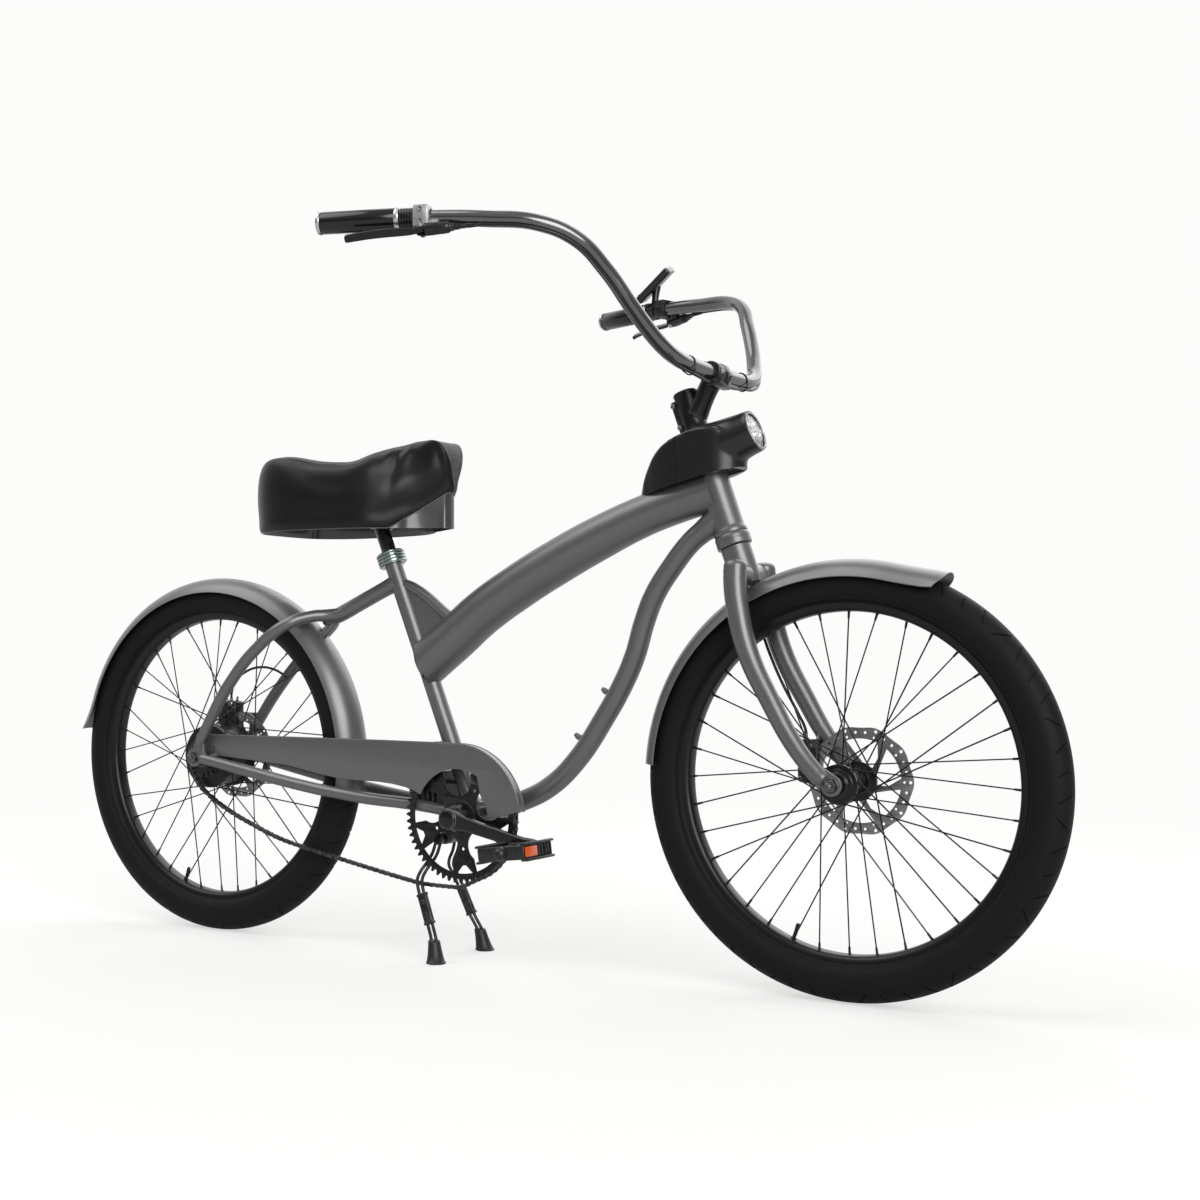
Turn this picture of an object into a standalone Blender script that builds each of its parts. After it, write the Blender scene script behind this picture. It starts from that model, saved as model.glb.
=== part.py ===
"""Step-through beach bicycle with a hub motor, built piece by piece.

Units are metres and +Z is up. Every length below is written in the bicycle's own frame: X forward
from the rear axle, Y to the rider's left, Z up from the ground. One root empty then moves the whole
bicycle so that the world origin lies on the ground under the middle of its length.
"""
import math

import bmesh
import bpy
from mathutils import Matrix, Vector

# Driving dimensions of the wheels
TYRE_RADIUS = 0.3435
TYRE_HALF_WIDTH = 0.0330
TREAD_DEPTH = 0.0095
RIM_INNER_RADIUS = 0.2690
RIM_DEPTH = 0.0172
RIM_HALF_WIDTH = 0.0174
BEAD_SEAT = 0.0122
WHEEL_STEPS = 28
WHEELBASE = 1.300
SPOKE_COUNT = 36
SPOKE_RADIUS = 0.0011
SPOKE_LEAN = math.radians(60.0)
ROTOR_RADIUS = 0.0875
ROTOR_HALF_THICKNESS = 0.0009

# Driving dimensions of the frame, fork and bars. Points of the front half are drawn for one wheelbase
# and move with a changed one, and the frame is drawn at one height of the axles.
DRAWN_WHEELBASE = 1.300
FRONT_MOVE = WHEELBASE - DRAWN_WHEELBASE
AXLE_HEIGHT = 0.3435
GROUND = AXLE_HEIGHT - TYRE_RADIUS
BRACKET = Vector((0.603, 0.0, 0.2565))
SEAT_TUBE_TOP = Vector((0.4185, 0.0, 0.7195))
SEAT_TUBE_RADIUS = 0.0160
SEATPOST_RADIUS = 0.0136
BRACKET_SHELL_RADIUS = 0.0210
BRACKET_SHELL_HALF = 0.0365
HEAD_DRAWN_X = 1.0838
HEAD_POINT = Vector((HEAD_DRAWN_X + FRONT_MOVE, 0.0, 0.7865))
HEAD_TILT = math.radians(19.4)
HEAD_TUBE_RADIUS = 0.0255
STEERER_RADIUS = 0.0143
BAR_RADIUS = 0.0127
GRIP_RADIUS = 0.0172
HOSE_RADIUS = 0.0025
AXLE_RADIUS = 0.0050
REAR_AXLE_RADIUS = 0.0060
FENDER_CROWN = TYRE_RADIUS + 0.0075
FENDER_HALF_WIDTH = TYRE_HALF_WIDTH + 0.0090
FENDER_WALL = 0.0015

# Driving dimensions of the drive
CHAIN_PITCH = 0.0127
RING_TEETH = 56
SPROCKET_TEETH = 18
CHAIN_LINE = -0.0470
RING_HALF_THICKNESS = 0.0015
CHAIN_HALF_WIDTH = 0.0045
CRANK_LENGTH = 0.1760
CRANK_ANGLE = math.radians(-13.0)
CRANK_AXLE_RADIUS = 0.0085

# Clearances: two pieces that are fixed together, and two that turn on each other
SEAT_GAP = 0.0003
RUN_GAP = 0.0004

REAR_AXLE = Vector((0.0, 0.0, AXLE_HEIGHT))
FRONT_AXLE = Vector((WHEELBASE, 0.0, AXLE_HEIGHT))
TAIL_REACH = 0.3628
LENGTH_MIDDLE = (WHEELBASE + TYRE_RADIUS - TAIL_REACH) / 2
HEAD_UP = Vector((-math.sin(HEAD_TILT), 0.0, math.cos(HEAD_TILT)))
HEAD_FORWARD = Vector((math.cos(HEAD_TILT), 0.0, math.sin(HEAD_TILT)))
SEAT_UP = (SEAT_TUBE_TOP - BRACKET).normalized()
SEAT_TUBE_LENGTH = (SEAT_TUBE_TOP - BRACKET).length
RING_RADIUS = CHAIN_PITCH / (2 * math.sin(math.pi / RING_TEETH))
SPROCKET_RADIUS = CHAIN_PITCH / (2 * math.sin(math.pi / SPROCKET_TEETH))
SIDES = {"right": -1, "left": 1}

for thing in list(bpy.data.objects):
    bpy.data.objects.remove(thing, do_unlink=True)

PARTS = bpy.data.collections.new("step_through_bicycle")
CUTTERS = bpy.data.collections.new("cutters")
bpy.context.scene.collection.children.link(PARTS)
bpy.context.scene.collection.children.link(CUTTERS)

FINISHES = {
    "satin_grey": ((0.115, 0.117, 0.120), 0.38, 0.65),
    "satin_black": ((0.012, 0.012, 0.013), 0.42, 0.10),
    "gloss_black": ((0.010, 0.010, 0.011), 0.18, 0.05),
    "tyre_black": ((0.014, 0.014, 0.014), 0.62, 0.0),
    "grip_black": ((0.013, 0.012, 0.012), 0.45, 0.0),
    "saddle_black": ((0.012, 0.012, 0.012), 0.35, 0.0),
    "dark_alloy": ((0.030, 0.030, 0.032), 0.34, 0.85),
    "rotor_steel": ((0.300, 0.300, 0.300), 0.32, 0.95),
    "bolt_steel": ((0.420, 0.420, 0.420), 0.28, 1.0),
    "collar_alloy": ((0.330, 0.400, 0.375), 0.30, 0.95),
    "lens_clear": ((0.780, 0.790, 0.800), 0.08, 0.0),
    "battery_blue": ((0.020, 0.030, 0.060), 0.50, 0.0),
    "hose_black": ((0.010, 0.010, 0.010), 0.40, 0.0),
}


def frame_on(origin, axis=(0, 0, 1), forward=(1, 0, 0)):
    """A place whose local Z lies on the axis and whose local X points as near forward as it can."""
    up = Vector(axis).normalized()
    ahead = Vector(forward)
    ahead = (ahead - up * ahead.dot(up)).normalized()
    side = up.cross(ahead)
    turn = Matrix((ahead, side, up)).transposed().to_4x4()
    return Matrix.Translation(origin) @ turn


CARRIER_FRAMES = {}


def carrier(name, where, parent=None):
    """An empty on a joint's axis that the pieces of one moving body hang from."""
    empty = bpy.data.objects.new(name, None)
    empty.empty_display_size = 0.05
    PARTS.objects.link(empty)
    empty.matrix_basis = where
    if parent is not None:
        empty.parent = parent
        empty.matrix_parent_inverse = CARRIER_FRAMES[parent.name].inverted()
    CARRIER_FRAMES[name] = where.copy()
    return empty


def paint(name, finish):
    colour, roughness, metallic = FINISHES[finish]
    material = bpy.data.materials.new(name + "_finish")
    material.use_nodes = True
    shader = material.node_tree.nodes["Principled BSDF"]
    shader.inputs["Base Color"].default_value = (*colour, 1.0)
    shader.inputs["Roughness"].default_value = roughness
    shader.inputs["Metallic"].default_value = metallic
    material.diffuse_color = (*colour, 1.0)
    return material


def hang(item, body, where):
    item.parent = body
    item.matrix_parent_inverse = CARRIER_FRAMES[body.name].inverted()
    item.matrix_basis = where


def piece(name, mesh, finish, body, where=Matrix()):
    item = bpy.data.objects.new(name, mesh)
    PARTS.objects.link(item)
    hang(item, body, where)
    mesh.materials.clear()
    mesh.materials.append(paint(name, finish))
    mesh.shade_smooth()
    mesh.set_sharp_from_angle(angle=math.radians(35))
    return item


def tool(name, mesh, body, where=Matrix()):
    item = bpy.data.objects.new(name, mesh)
    CUTTERS.objects.link(item)
    hang(item, body, where)
    item.hide_render = True
    item.display_type = "WIRE"
    return item


def combine(item, other, operation):
    step = item.modifiers.new(operation.lower() + "_" + other.name, "BOOLEAN")
    step.operation = operation
    step.solver = "EXACT"
    step.object = other


def cut(item, *others):
    for other in others:
        combine(item, other, "DIFFERENCE")


def join(item, *others):
    for other in others:
        combine(item, other, "UNION")


def mesh_of(item):
    """The evaluated mesh of an object, with its loose caps welded; the object is removed."""
    bpy.context.scene.collection.objects.link(item)
    graph = bpy.context.evaluated_depsgraph_get()
    mesh = bpy.data.meshes.new_from_object(item.evaluated_get(graph))
    mesh.transform(item.matrix_world)
    bpy.data.objects.remove(item, do_unlink=True)
    shape = bmesh.new()
    shape.from_mesh(mesh)
    bmesh.ops.remove_doubles(shape, verts=shape.verts, dist=1e-6)
    bmesh.ops.recalc_face_normals(shape, faces=shape.faces)
    shape.to_mesh(mesh)
    shape.free()
    return mesh


def smooth_line(knots, steps):
    """Points on a smooth line through the knots; a knot may carry a radius as its last number."""
    knots = [Vector(knot) for knot in knots]
    line = []
    for index in range(len(knots) - 1):
        before = knots[max(index - 1, 0)]
        start = knots[index]
        end = knots[index + 1]
        after = knots[min(index + 2, len(knots) - 1)]
        for step in range(steps):
            t = step / steps
            line.append(0.5 * (2 * start + (end - before) * t
                               + (2 * before - 5 * start + 4 * end - after) * t * t
                               + (3 * start - before - 3 * end + after) * t ** 3))
    line.append(knots[-1])
    return line


def pipe(knots, sides=12, grow=0.0):
    """A round bar along the knots, each (x, y, z, radius), with closed ends."""
    curve = bpy.data.curves.new("pipe", "CURVE")
    curve.dimensions = "3D"
    curve.bevel_depth = 1.0
    curve.bevel_resolution = (sides - 4) // 2
    curve.use_fill_caps = True
    line = curve.splines.new("POLY")
    line.points.add(len(knots) - 1)
    for point, knot in zip(line.points, knots):
        point.co = (knot[0], knot[1], knot[2], 1.0)
        point.radius = knot[3] + grow
    return mesh_of(bpy.data.objects.new("pipe", curve))


def rod(start, end, radius, sides=12):
    """A straight cylinder from one point to the other."""
    mesh = bpy.data.meshes.new("rod")
    shape = bmesh.new()
    run = Vector(end) - Vector(start)
    upright = (0, 0, 1) if abs(run.normalized().x) > 0.9 else (1, 0, 0)
    middle = (Vector(start) + Vector(end)) / 2
    bmesh.ops.create_cone(shape, cap_ends=True, segments=sides, radius1=radius, radius2=radius,
                          depth=run.length, matrix=frame_on(middle, run, upright))
    shape.to_mesh(mesh)
    shape.free()
    return mesh


def turned(profile, steps=24, closed=False, phase=0.0):
    """A turned shape: profile points (radius, height) run down the outer side, top to bottom."""
    mesh = bpy.data.meshes.new("turned")
    shape = bmesh.new()
    corners = [shape.verts.new((radius, 0.0, height)) for radius, height in profile]
    for first, second in zip(corners, corners[1:]):
        shape.edges.new((first, second))
    if closed:
        shape.edges.new((corners[-1], corners[0]))
    bmesh.ops.rotate(shape, verts=shape.verts, matrix=Matrix.Rotation(phase, 3, "Z"))
    shape.to_mesh(mesh)
    shape.free()
    item = bpy.data.objects.new("turned", mesh)
    screw = item.modifiers.new("turn", "SCREW")
    screw.axis = "Z"
    screw.steps = steps
    screw.render_steps = steps
    screw.use_merge_vertices = True
    screw.merge_threshold = 1e-5
    return mesh_of(item)


def washer(outer, inner, top, bottom):
    """Profile of a plain ring for turned()."""
    return [(outer, top), (outer, bottom), (inner, bottom), (inner, top)]


def plug(radius, top, bottom):
    """Profile of a plain solid cylinder for turned()."""
    return [(0.0, top), (radius, top), (radius, bottom), (0.0, bottom)]


def plate(outlines, half_thickness):
    """A flat plate in its local XY plane: the first outline is the edge, the others are holes."""
    curve = bpy.data.curves.new("plate", "CURVE")
    curve.dimensions = "2D"
    curve.fill_mode = "BOTH"
    curve.extrude = half_thickness
    for outline in outlines:
        line = curve.splines.new("POLY")
        line.points.add(len(outline) - 1)
        line.use_cyclic_u = True
        for point, spot in zip(line.points, outline):
            point.co = (spot[0], spot[1], 0.0, 1.0)
    return mesh_of(bpy.data.objects.new("plate", curve))


def block(size, centre=(0, 0, 0), bevel=0.0, segments=1):
    """A box with its edges eased by the bevel width."""
    mesh = bpy.data.meshes.new("block")
    shape = bmesh.new()
    bmesh.ops.create_cube(shape, size=1.0)
    bmesh.ops.scale(shape, vec=size, verts=shape.verts)
    bmesh.ops.translate(shape, vec=centre, verts=shape.verts)
    if bevel > 0.0:
        bmesh.ops.bevel(shape, geom=shape.edges[:], offset=bevel, segments=segments, affect="EDGES")
    shape.to_mesh(mesh)
    shape.free()
    return mesh


def ball(radius, centre=(0, 0, 0), around=12, along=8):
    mesh = bpy.data.meshes.new("ball")
    shape = bmesh.new()
    bmesh.ops.create_uvsphere(shape, u_segments=around, v_segments=along, radius=radius)
    bmesh.ops.translate(shape, vec=centre, verts=shape.verts)
    shape.to_mesh(mesh)
    shape.free()
    return mesh


def loft(rings):
    """A closed body through rings that have the same number of points, with flat ends."""
    mesh = bpy.data.meshes.new("loft")
    shape = bmesh.new()
    rows = [[shape.verts.new(spot) for spot in ring] for ring in rings]
    count = len(rows[0])
    for lower, upper in zip(rows, rows[1:]):
        for index in range(count):
            after = (index + 1) % count
            shape.faces.new((lower[index], lower[after], upper[after], upper[index]))
    shape.faces.new(list(reversed(rows[0])))
    shape.faces.new(rows[-1])
    bmesh.ops.recalc_face_normals(shape, faces=shape.faces)
    bmesh.ops.triangulate(shape, faces=[face for face in shape.faces if len(face.verts) > 4])
    shape.to_mesh(mesh)
    shape.free()
    return mesh


def merged(*meshes):
    """Several separate closed bodies in one mesh, used where one Boolean joins them all."""
    mesh = bpy.data.meshes.new("merged")
    shape = bmesh.new()
    for part in meshes:
        shape.from_mesh(part)
    shape.to_mesh(mesh)
    shape.free()
    return mesh


def arc(centre, radius, start, end, count):
    """Points on an arc, angles in degrees, both ends included."""
    points = []
    for index in range(count):
        angle = math.radians(start + (end - start) * index / (count - 1))
        points.append((centre[0] + radius * math.cos(angle), centre[1] + radius * math.sin(angle)))
    return points


def corners_at(radius, sides):
    """Corner radius of a polygon whose flats stand at the radius, for the bore round a turning piece."""
    return radius / math.cos(math.pi / sides)


def circle(centre, radius, count):
    return arc(centre, radius, 0.0, 360.0 * (count - 1) / count, count)


def mirrored(knots):
    return [(knot[0], -knot[1], *knot[2:]) for knot in knots]


def sided(knots, side):
    """The knots are written for the left side; the right side is their mirror image."""
    return knots if side > 0 else mirrored(knots)


def ahead(knots):
    """Drawn points of the steered front end, moved with the wheelbase."""
    return [(knot[0] + FRONT_MOVE, *knot[1:]) for knot in knots]


def stretched(knots):
    """Drawn points of a tube between bracket and head, spread as the head moves with the wheelbase."""
    span = HEAD_DRAWN_X - BRACKET.x
    return [(knot[0] + FRONT_MOVE * min(1.0, max(0.0, (knot[0] - BRACKET.x) / span)), *knot[1:])
            for knot in knots]


def between(table, x):
    """Straight-line value at x in a table of (x, value) pairs."""
    for (x0, v0), (x1, v1) in zip(table, table[1:]):
        if x <= x1:
            t = max(0.0, min(1.0, (x - x0) / (x1 - x0)))
            return v0 + (v1 - v0) * t
    return table[-1][1]


# Carriers, one for each moving body
ROOT = carrier("bicycle", Matrix())
HEAD_FRAME = frame_on(HEAD_POINT, HEAD_UP, HEAD_FORWARD)
STEERING = carrier("steering_carrier", HEAD_FRAME, ROOT)
FRONT_PLACE = frame_on(FRONT_AXLE, (0, 1, 0))
REAR_PLACE = frame_on(REAR_AXLE, (0, 1, 0))
FRONT_WHEEL = carrier("front_wheel_carrier", FRONT_PLACE, STEERING)
REAR_WHEEL = carrier("rear_wheel_carrier", REAR_PLACE, ROOT)
REAR_DRIVE = carrier("rear_sprocket_carrier", REAR_PLACE, ROOT)
BRACKET_PLACE = frame_on(BRACKET, (0, 1, 0))
CRANK = carrier("crank_carrier", BRACKET_PLACE, ROOT)
SEAT_FRAME = frame_on(BRACKET, SEAT_UP)
SADDLE = carrier("saddle_carrier", SEAT_FRAME, ROOT)


def side_view(point, y=0.0):
    """A place for flat plates that are drawn as seen from the right: local X forward, local Y up."""
    return frame_on((point[0], y, point[2]), (0, -1, 0))


# Wheels. The tyre's outer facets are set so that one lies flat on the ground, and its corners
# stand outside the nominal radius by the same share all round.
FACET = 1.0 / math.cos(math.pi / WHEEL_STEPS)
HALF_STEP = math.pi / WHEEL_STEPS
RIM_TOP = RIM_INNER_RADIUS + RIM_DEPTH
RIM_BED = 0.0050
BEAD_RADIUS = RIM_INNER_RADIUS + BEAD_SEAT
TREAD_HALF_WIDTH = 0.0095


def tyre():
    """A balloon tyre, open inside towards the rim, its beads standing in the rim's channel."""
    wall = TYRE_RADIUS - RIM_TOP
    outer = [(BEAD_RADIUS, RIM_HALF_WIDTH - 0.0028), (RIM_TOP + 0.0010, RIM_HALF_WIDTH - 0.0007),
             (RIM_TOP + wall * 0.33, TYRE_HALF_WIDTH), (RIM_TOP + wall * 0.71, TYRE_HALF_WIDTH - 0.0040),
             (TYRE_RADIUS, TREAD_HALF_WIDTH)]
    inner = [(TYRE_RADIUS - TREAD_DEPTH, TYRE_HALF_WIDTH - 0.0150), (BEAD_RADIUS, RIM_HALF_WIDTH - 0.0057)]
    half = [(radius * FACET, height) for radius, height in outer]
    inside = [(radius * FACET, -height) for radius, height in reversed(inner)]
    inside += [(radius * FACET, height) for radius, height in inner]
    profile = half + [(radius, -height) for radius, height in reversed(half)] + inside
    return turned(profile, WHEEL_STEPS, closed=True, phase=HALF_STEP)


def rim():
    """An alloy clincher rim: two hooked flanges, a drop centre and a rounded inner bed."""
    half = [(RIM_TOP, RIM_HALF_WIDTH), (RIM_INNER_RADIUS + RIM_BED, RIM_HALF_WIDTH - 0.0014)]
    inner = [(RIM_INNER_RADIUS, RIM_HALF_WIDTH - 0.0094)]
    channel = [(RIM_INNER_RADIUS + RIM_BED, RIM_HALF_WIDTH - 0.0084),
               (BEAD_RADIUS - SEAT_GAP, RIM_HALF_WIDTH - 0.0021)]
    upper = [(radius * FACET, height) for radius, height in half + inner]
    lower = [(radius, -height) for radius, height in reversed(upper)]
    bed = [(radius * FACET, -height) for radius, height in reversed(channel)]
    bed += [(radius * FACET, height) for radius, height in channel]
    return turned(upper + lower + bed, WHEEL_STEPS, closed=True, phase=HALF_STEP)


SPOKE_SPREAD = 0.0013
SPOKE_ROOT = 0.0015


def spokes(hole_radius, flange_right, flange_left):
    """Thirty-six laced spokes from the holes of two flanges to just under the rim's bed. Every other
    spoke of a flange leans forward and lies outboard, and its neighbour leans back."""
    rods = []
    per_side = SPOKE_COUNT // 2
    tip = RIM_INNER_RADIUS - 2 * SEAT_GAP
    for side, flange in ((-1, flange_right), (1, flange_left)):
        for index in range(per_side):
            leaning = 1 if index % 2 == 0 else -1
            hub_angle = 2 * math.pi * (index + (0.25 if side > 0 else 0.0)) / per_side
            rim_angle = hub_angle + leaning * SPOKE_LEAN
            rim_depth = 0.0044 if leaning > 0 else 0.0010
            hole = Vector((hole_radius * math.cos(hub_angle), hole_radius * math.sin(hub_angle),
                           flange + side * leaning * SPOKE_SPREAD))
            end = Vector((tip * math.cos(rim_angle), tip * math.sin(rim_angle), side * rim_depth))
            root = hole - (end - hole).normalized() * SPOKE_ROOT
            rods.append(rod(root, end, SPOKE_RADIUS, 3))
    return merged(*rods)


def rotor(bore):
    """A waved disc with swept arms and rows of drilled holes in its brake track."""
    waves = 10
    edge = []
    for index in range(waves * 3):
        angle = 2 * math.pi * index / (waves * 3)
        radius = ROTOR_RADIUS - 0.0028 * (1 - math.cos(waves * angle)) / 2
        edge.append((radius * math.cos(angle), radius * math.sin(angle)))
    holes = [circle((0, 0), bore, 12)]
    for arm in range(6):
        turn = 60.0 * arm
        outer = arc((0, 0), 0.0680, turn + 7, turn + 51, 3)
        inner = arc((0, 0), 0.0270, turn + 16, turn - 16, 2)
        holes.append(outer + inner)
    for index in range(waves):
        turn = math.radians(36.0 * index)
        holes.append(circle((0.0800 * math.cos(turn), 0.0800 * math.sin(turn)), 0.0032, 4))
    return plate([edge] + holes, ROTOR_HALF_THICKNESS)


ROTOR_BORE = 0.0190
ROTOR_SEAT = 0.0180
ROTOR_FRONT_Y = 0.0520
ROTOR_REAR_Y = 0.0545

piece("front_tyre", tyre(), "tyre_black", FRONT_WHEEL, FRONT_PLACE)
piece("rear_tyre", tyre(), "tyre_black", REAR_WHEEL, REAR_PLACE)
piece("front_rim", rim(), "satin_black", FRONT_WHEEL, FRONT_PLACE)
piece("rear_rim", rim(), "satin_black", REAR_WHEEL, REAR_PLACE)

HUB_BORE = AXLE_RADIUS + RUN_GAP
HUB_FLANGE = 0.0315
SPOKE_HOLES = 0.0290
FRONT_HUB_PROFILE = [
    (0.0120, 0.0615), (ROTOR_SEAT, 0.0560), (ROTOR_SEAT, 0.0508),
    (0.0235, 0.0508), (HUB_FLANGE, 0.0430), (HUB_FLANGE, 0.0370), (0.0185, 0.0330), (0.0185, -0.0370),
    (HUB_FLANGE, -0.0405), (HUB_FLANGE, -0.0465), (0.0170, -0.0590), (0.0120, -0.0615),
    (HUB_BORE, -0.0615), (HUB_BORE, 0.0615)]
front_hub = piece("front_hub", turned(FRONT_HUB_PROFILE, 12, closed=True), "satin_black",
                  FRONT_WHEEL, FRONT_PLACE)
join(front_hub, tool("front_spokes", spokes(SPOKE_HOLES, -0.0435, 0.0400), FRONT_WHEEL, FRONT_PLACE))

MOTOR_BORE = REAR_AXLE_RADIUS + RUN_GAP
FREEWHEEL_RADIUS = 0.0165
MOTOR_FLANGE = 0.0615
MOTOR_SPOKE_HOLES = 0.0600
MOTOR_FLANGE_MIDDLE = 0.0318
MOTOR_PROFILE = [
    (0.0140, 0.0590), (ROTOR_SEAT, 0.0570), (ROTOR_SEAT, 0.0533),
    (0.0235, 0.0533), (0.0240, 0.0400), (0.0500, 0.0355), (MOTOR_FLANGE, 0.0345), (MOTOR_FLANGE, 0.0290),
    (0.0560, 0.0270), (0.0560, -0.0270), (MOTOR_FLANGE, -0.0290), (MOTOR_FLANGE, -0.0345),
    (0.0500, -0.0355), (FREEWHEEL_RADIUS, -0.0390), (FREEWHEEL_RADIUS, -0.0590),
    (MOTOR_BORE, -0.0590), (MOTOR_BORE, 0.0590)]
motor = piece("rear_hub_motor", turned(MOTOR_PROFILE, 16, closed=True), "dark_alloy",
              REAR_WHEEL, REAR_PLACE)
join(motor, tool("rear_spokes", spokes(MOTOR_SPOKE_HOLES, -MOTOR_FLANGE_MIDDLE, MOTOR_FLANGE_MIDDLE),
                 REAR_WHEEL, REAR_PLACE))

piece("front_rotor", rotor(ROTOR_BORE), "rotor_steel", FRONT_WHEEL,
      frame_on((WHEELBASE, ROTOR_FRONT_Y, AXLE_HEIGHT), (0, 1, 0)))
piece("rear_rotor", rotor(ROTOR_BORE), "rotor_steel", REAR_WHEEL,
      frame_on((0, ROTOR_REAR_Y, AXLE_HEIGHT), (0, 1, 0)))


# Axles with their nuts
DROPOUT_IN = 0.0700
DROPOUT_OUT = 0.0778


def axle(radius, hub_end, tip):
    """An axle with a cone nut between hub and dropout, and a hexagon nut outside each dropout."""
    half = [(0.0, tip), (radius, tip), (radius, DROPOUT_OUT + SEAT_GAP + 0.0090),
            (0.0100, DROPOUT_OUT + SEAT_GAP + 0.0085), (0.0100, DROPOUT_OUT + SEAT_GAP),
            (radius, DROPOUT_OUT + SEAT_GAP), (radius, DROPOUT_IN - SEAT_GAP),
            (0.0095, DROPOUT_IN - SEAT_GAP), (0.0095, hub_end + RUN_GAP), (radius, hub_end + RUN_GAP)]
    return turned(half + [(r, -height) for r, height in reversed(half)], 6)


front_axle = piece("front_axle", axle(AXLE_RADIUS, 0.0615, 0.0945), "bolt_steel", STEERING, FRONT_PLACE)
rear_axle = piece("rear_axle", axle(REAR_AXLE_RADIUS, 0.0590, 0.0935), "bolt_steel", ROOT, REAR_PLACE)


# Fenders: a curved gutter bent round the wheel, its front or rear lip flaring outwards
def gutter(angle_start, angle_end, rows, flare):
    """The flare maps an angle in degrees to the extra radius of the gutter's crown there."""
    mesh = bpy.data.meshes.new("gutter")
    shape = bmesh.new()
    columns = 5
    bmesh.ops.create_grid(shape, x_segments=rows, y_segments=columns, size=0.5)
    arc_radius = FENDER_HALF_WIDTH + 0.0035
    half_angle = math.asin(FENDER_HALF_WIDTH / arc_radius)
    for vert in shape.verts:
        along = vert.co.x + 0.5
        across = (vert.co.y * 2) * half_angle
        degrees = angle_start + (angle_end - angle_start) * along
        crown = FENDER_CROWN + flare(degrees)
        radius = crown - arc_radius * (1 - math.cos(across))
        turn = math.radians(degrees)
        vert.co = (radius * math.cos(turn), arc_radius * math.sin(across), radius * math.sin(turn))
    bmesh.ops.reverse_faces(shape, faces=shape.faces)
    shape.to_mesh(mesh)
    shape.free()
    item = bpy.data.objects.new("gutter", mesh)
    wall = item.modifiers.new("wall", "SOLIDIFY")
    wall.thickness = FENDER_WALL
    wall.offset = -1.0
    return mesh_of(item)


def lip(degrees, tip_angle, reach, height):
    """A smooth outward flare over the last degrees before the tip."""
    t = max(0.0, 1.0 - abs(degrees - tip_angle) / reach)
    return height * t * t


def front_flare(degrees):
    return lip(degrees, 63.5, 14.0, 0.013)


def rear_flare(degrees):
    return lip(degrees, 172.7, 12.0, 0.016)


def fender_boss(angle, inner, outer, radius):
    turn = math.radians(angle)
    ray = Vector((math.cos(turn), 0.0, math.sin(turn)))
    return rod(ray * inner, ray * outer, radius, 10)


FRONT_BOSS_ANGLE = 119.0
FRONT_BOSS_TOP = 0.3580
FRONT_BOSS_RADIUS = 0.0080
REAR_BOSS_ANGLE = 42.5
REAR_BOSS_TOP = 0.3880
REAR_BOSS_RADIUS = 0.0075
BOSS_FOOT = FENDER_CROWN - 0.0020
front_fender = piece("front_fender", gutter(176.8, 63.5, 16, front_flare), "satin_grey", STEERING,
                     Matrix.Translation(FRONT_AXLE))
front_boss = fender_boss(FRONT_BOSS_ANGLE, BOSS_FOOT, FRONT_BOSS_TOP, FRONT_BOSS_RADIUS)
join(front_fender, tool("front_fender_boss", front_boss, STEERING, Matrix.Translation(FRONT_AXLE)))
rear_fender = piece("rear_fender", gutter(-11.0, 172.7, 25, rear_flare), "satin_grey", ROOT,
                    Matrix.Translation(REAR_AXLE))
rear_boss = fender_boss(REAR_BOSS_ANGLE, BOSS_FOOT, REAR_BOSS_TOP, REAR_BOSS_RADIUS)
join(rear_fender, tool("rear_fender_boss", rear_boss, ROOT, Matrix.Translation(REAR_AXLE)))


# Frame tubes
def head_rod(radius, top, bottom, grow=0.0, sides=16):
    """A bar on the steering axis, made in the head frame."""
    return turned(plug(radius + grow, top + grow, bottom - grow), sides)


HEAD_TUBE_TOP = 0.1013
HEAD_TUBE_BOTTOM = -0.0500
UPPER_CUP_TOP = 0.1150
LOWER_CUP_BOTTOM = -0.0705
BEARING_BORE = STEERER_RADIUS + RUN_GAP
HEAD_PROFILE = [
    (0.0270, UPPER_CUP_TOP), (0.0270, HEAD_TUBE_TOP), (HEAD_TUBE_RADIUS, HEAD_TUBE_TOP - 0.0010),
    (HEAD_TUBE_RADIUS, HEAD_TUBE_BOTTOM), (0.0205, HEAD_TUBE_BOTTOM), (0.0205, 0.0950),
    (BEARING_BORE, 0.0950), (BEARING_BORE, UPPER_CUP_TOP)]
LOWER_CUP_PROFILE = [
    (0.0265, HEAD_TUBE_BOTTOM - SEAT_GAP), (0.0290, -0.0560), (0.0290, LOWER_CUP_BOTTOM),
    (BEARING_BORE, LOWER_CUP_BOTTOM), (BEARING_BORE, HEAD_TUBE_BOTTOM - SEAT_GAP)]
head_tube = piece("head_tube", turned(HEAD_PROFILE, 16, closed=True), "satin_grey", ROOT, HEAD_FRAME)
piece("headset_lower_cup", turned(LOWER_CUP_PROFILE, 16, closed=True), "satin_black", ROOT, HEAD_FRAME)
head_space = tool("head_space", head_rod(0.0270, UPPER_CUP_TOP, HEAD_TUBE_BOTTOM, SEAT_GAP), ROOT,
                  HEAD_FRAME)

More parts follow.
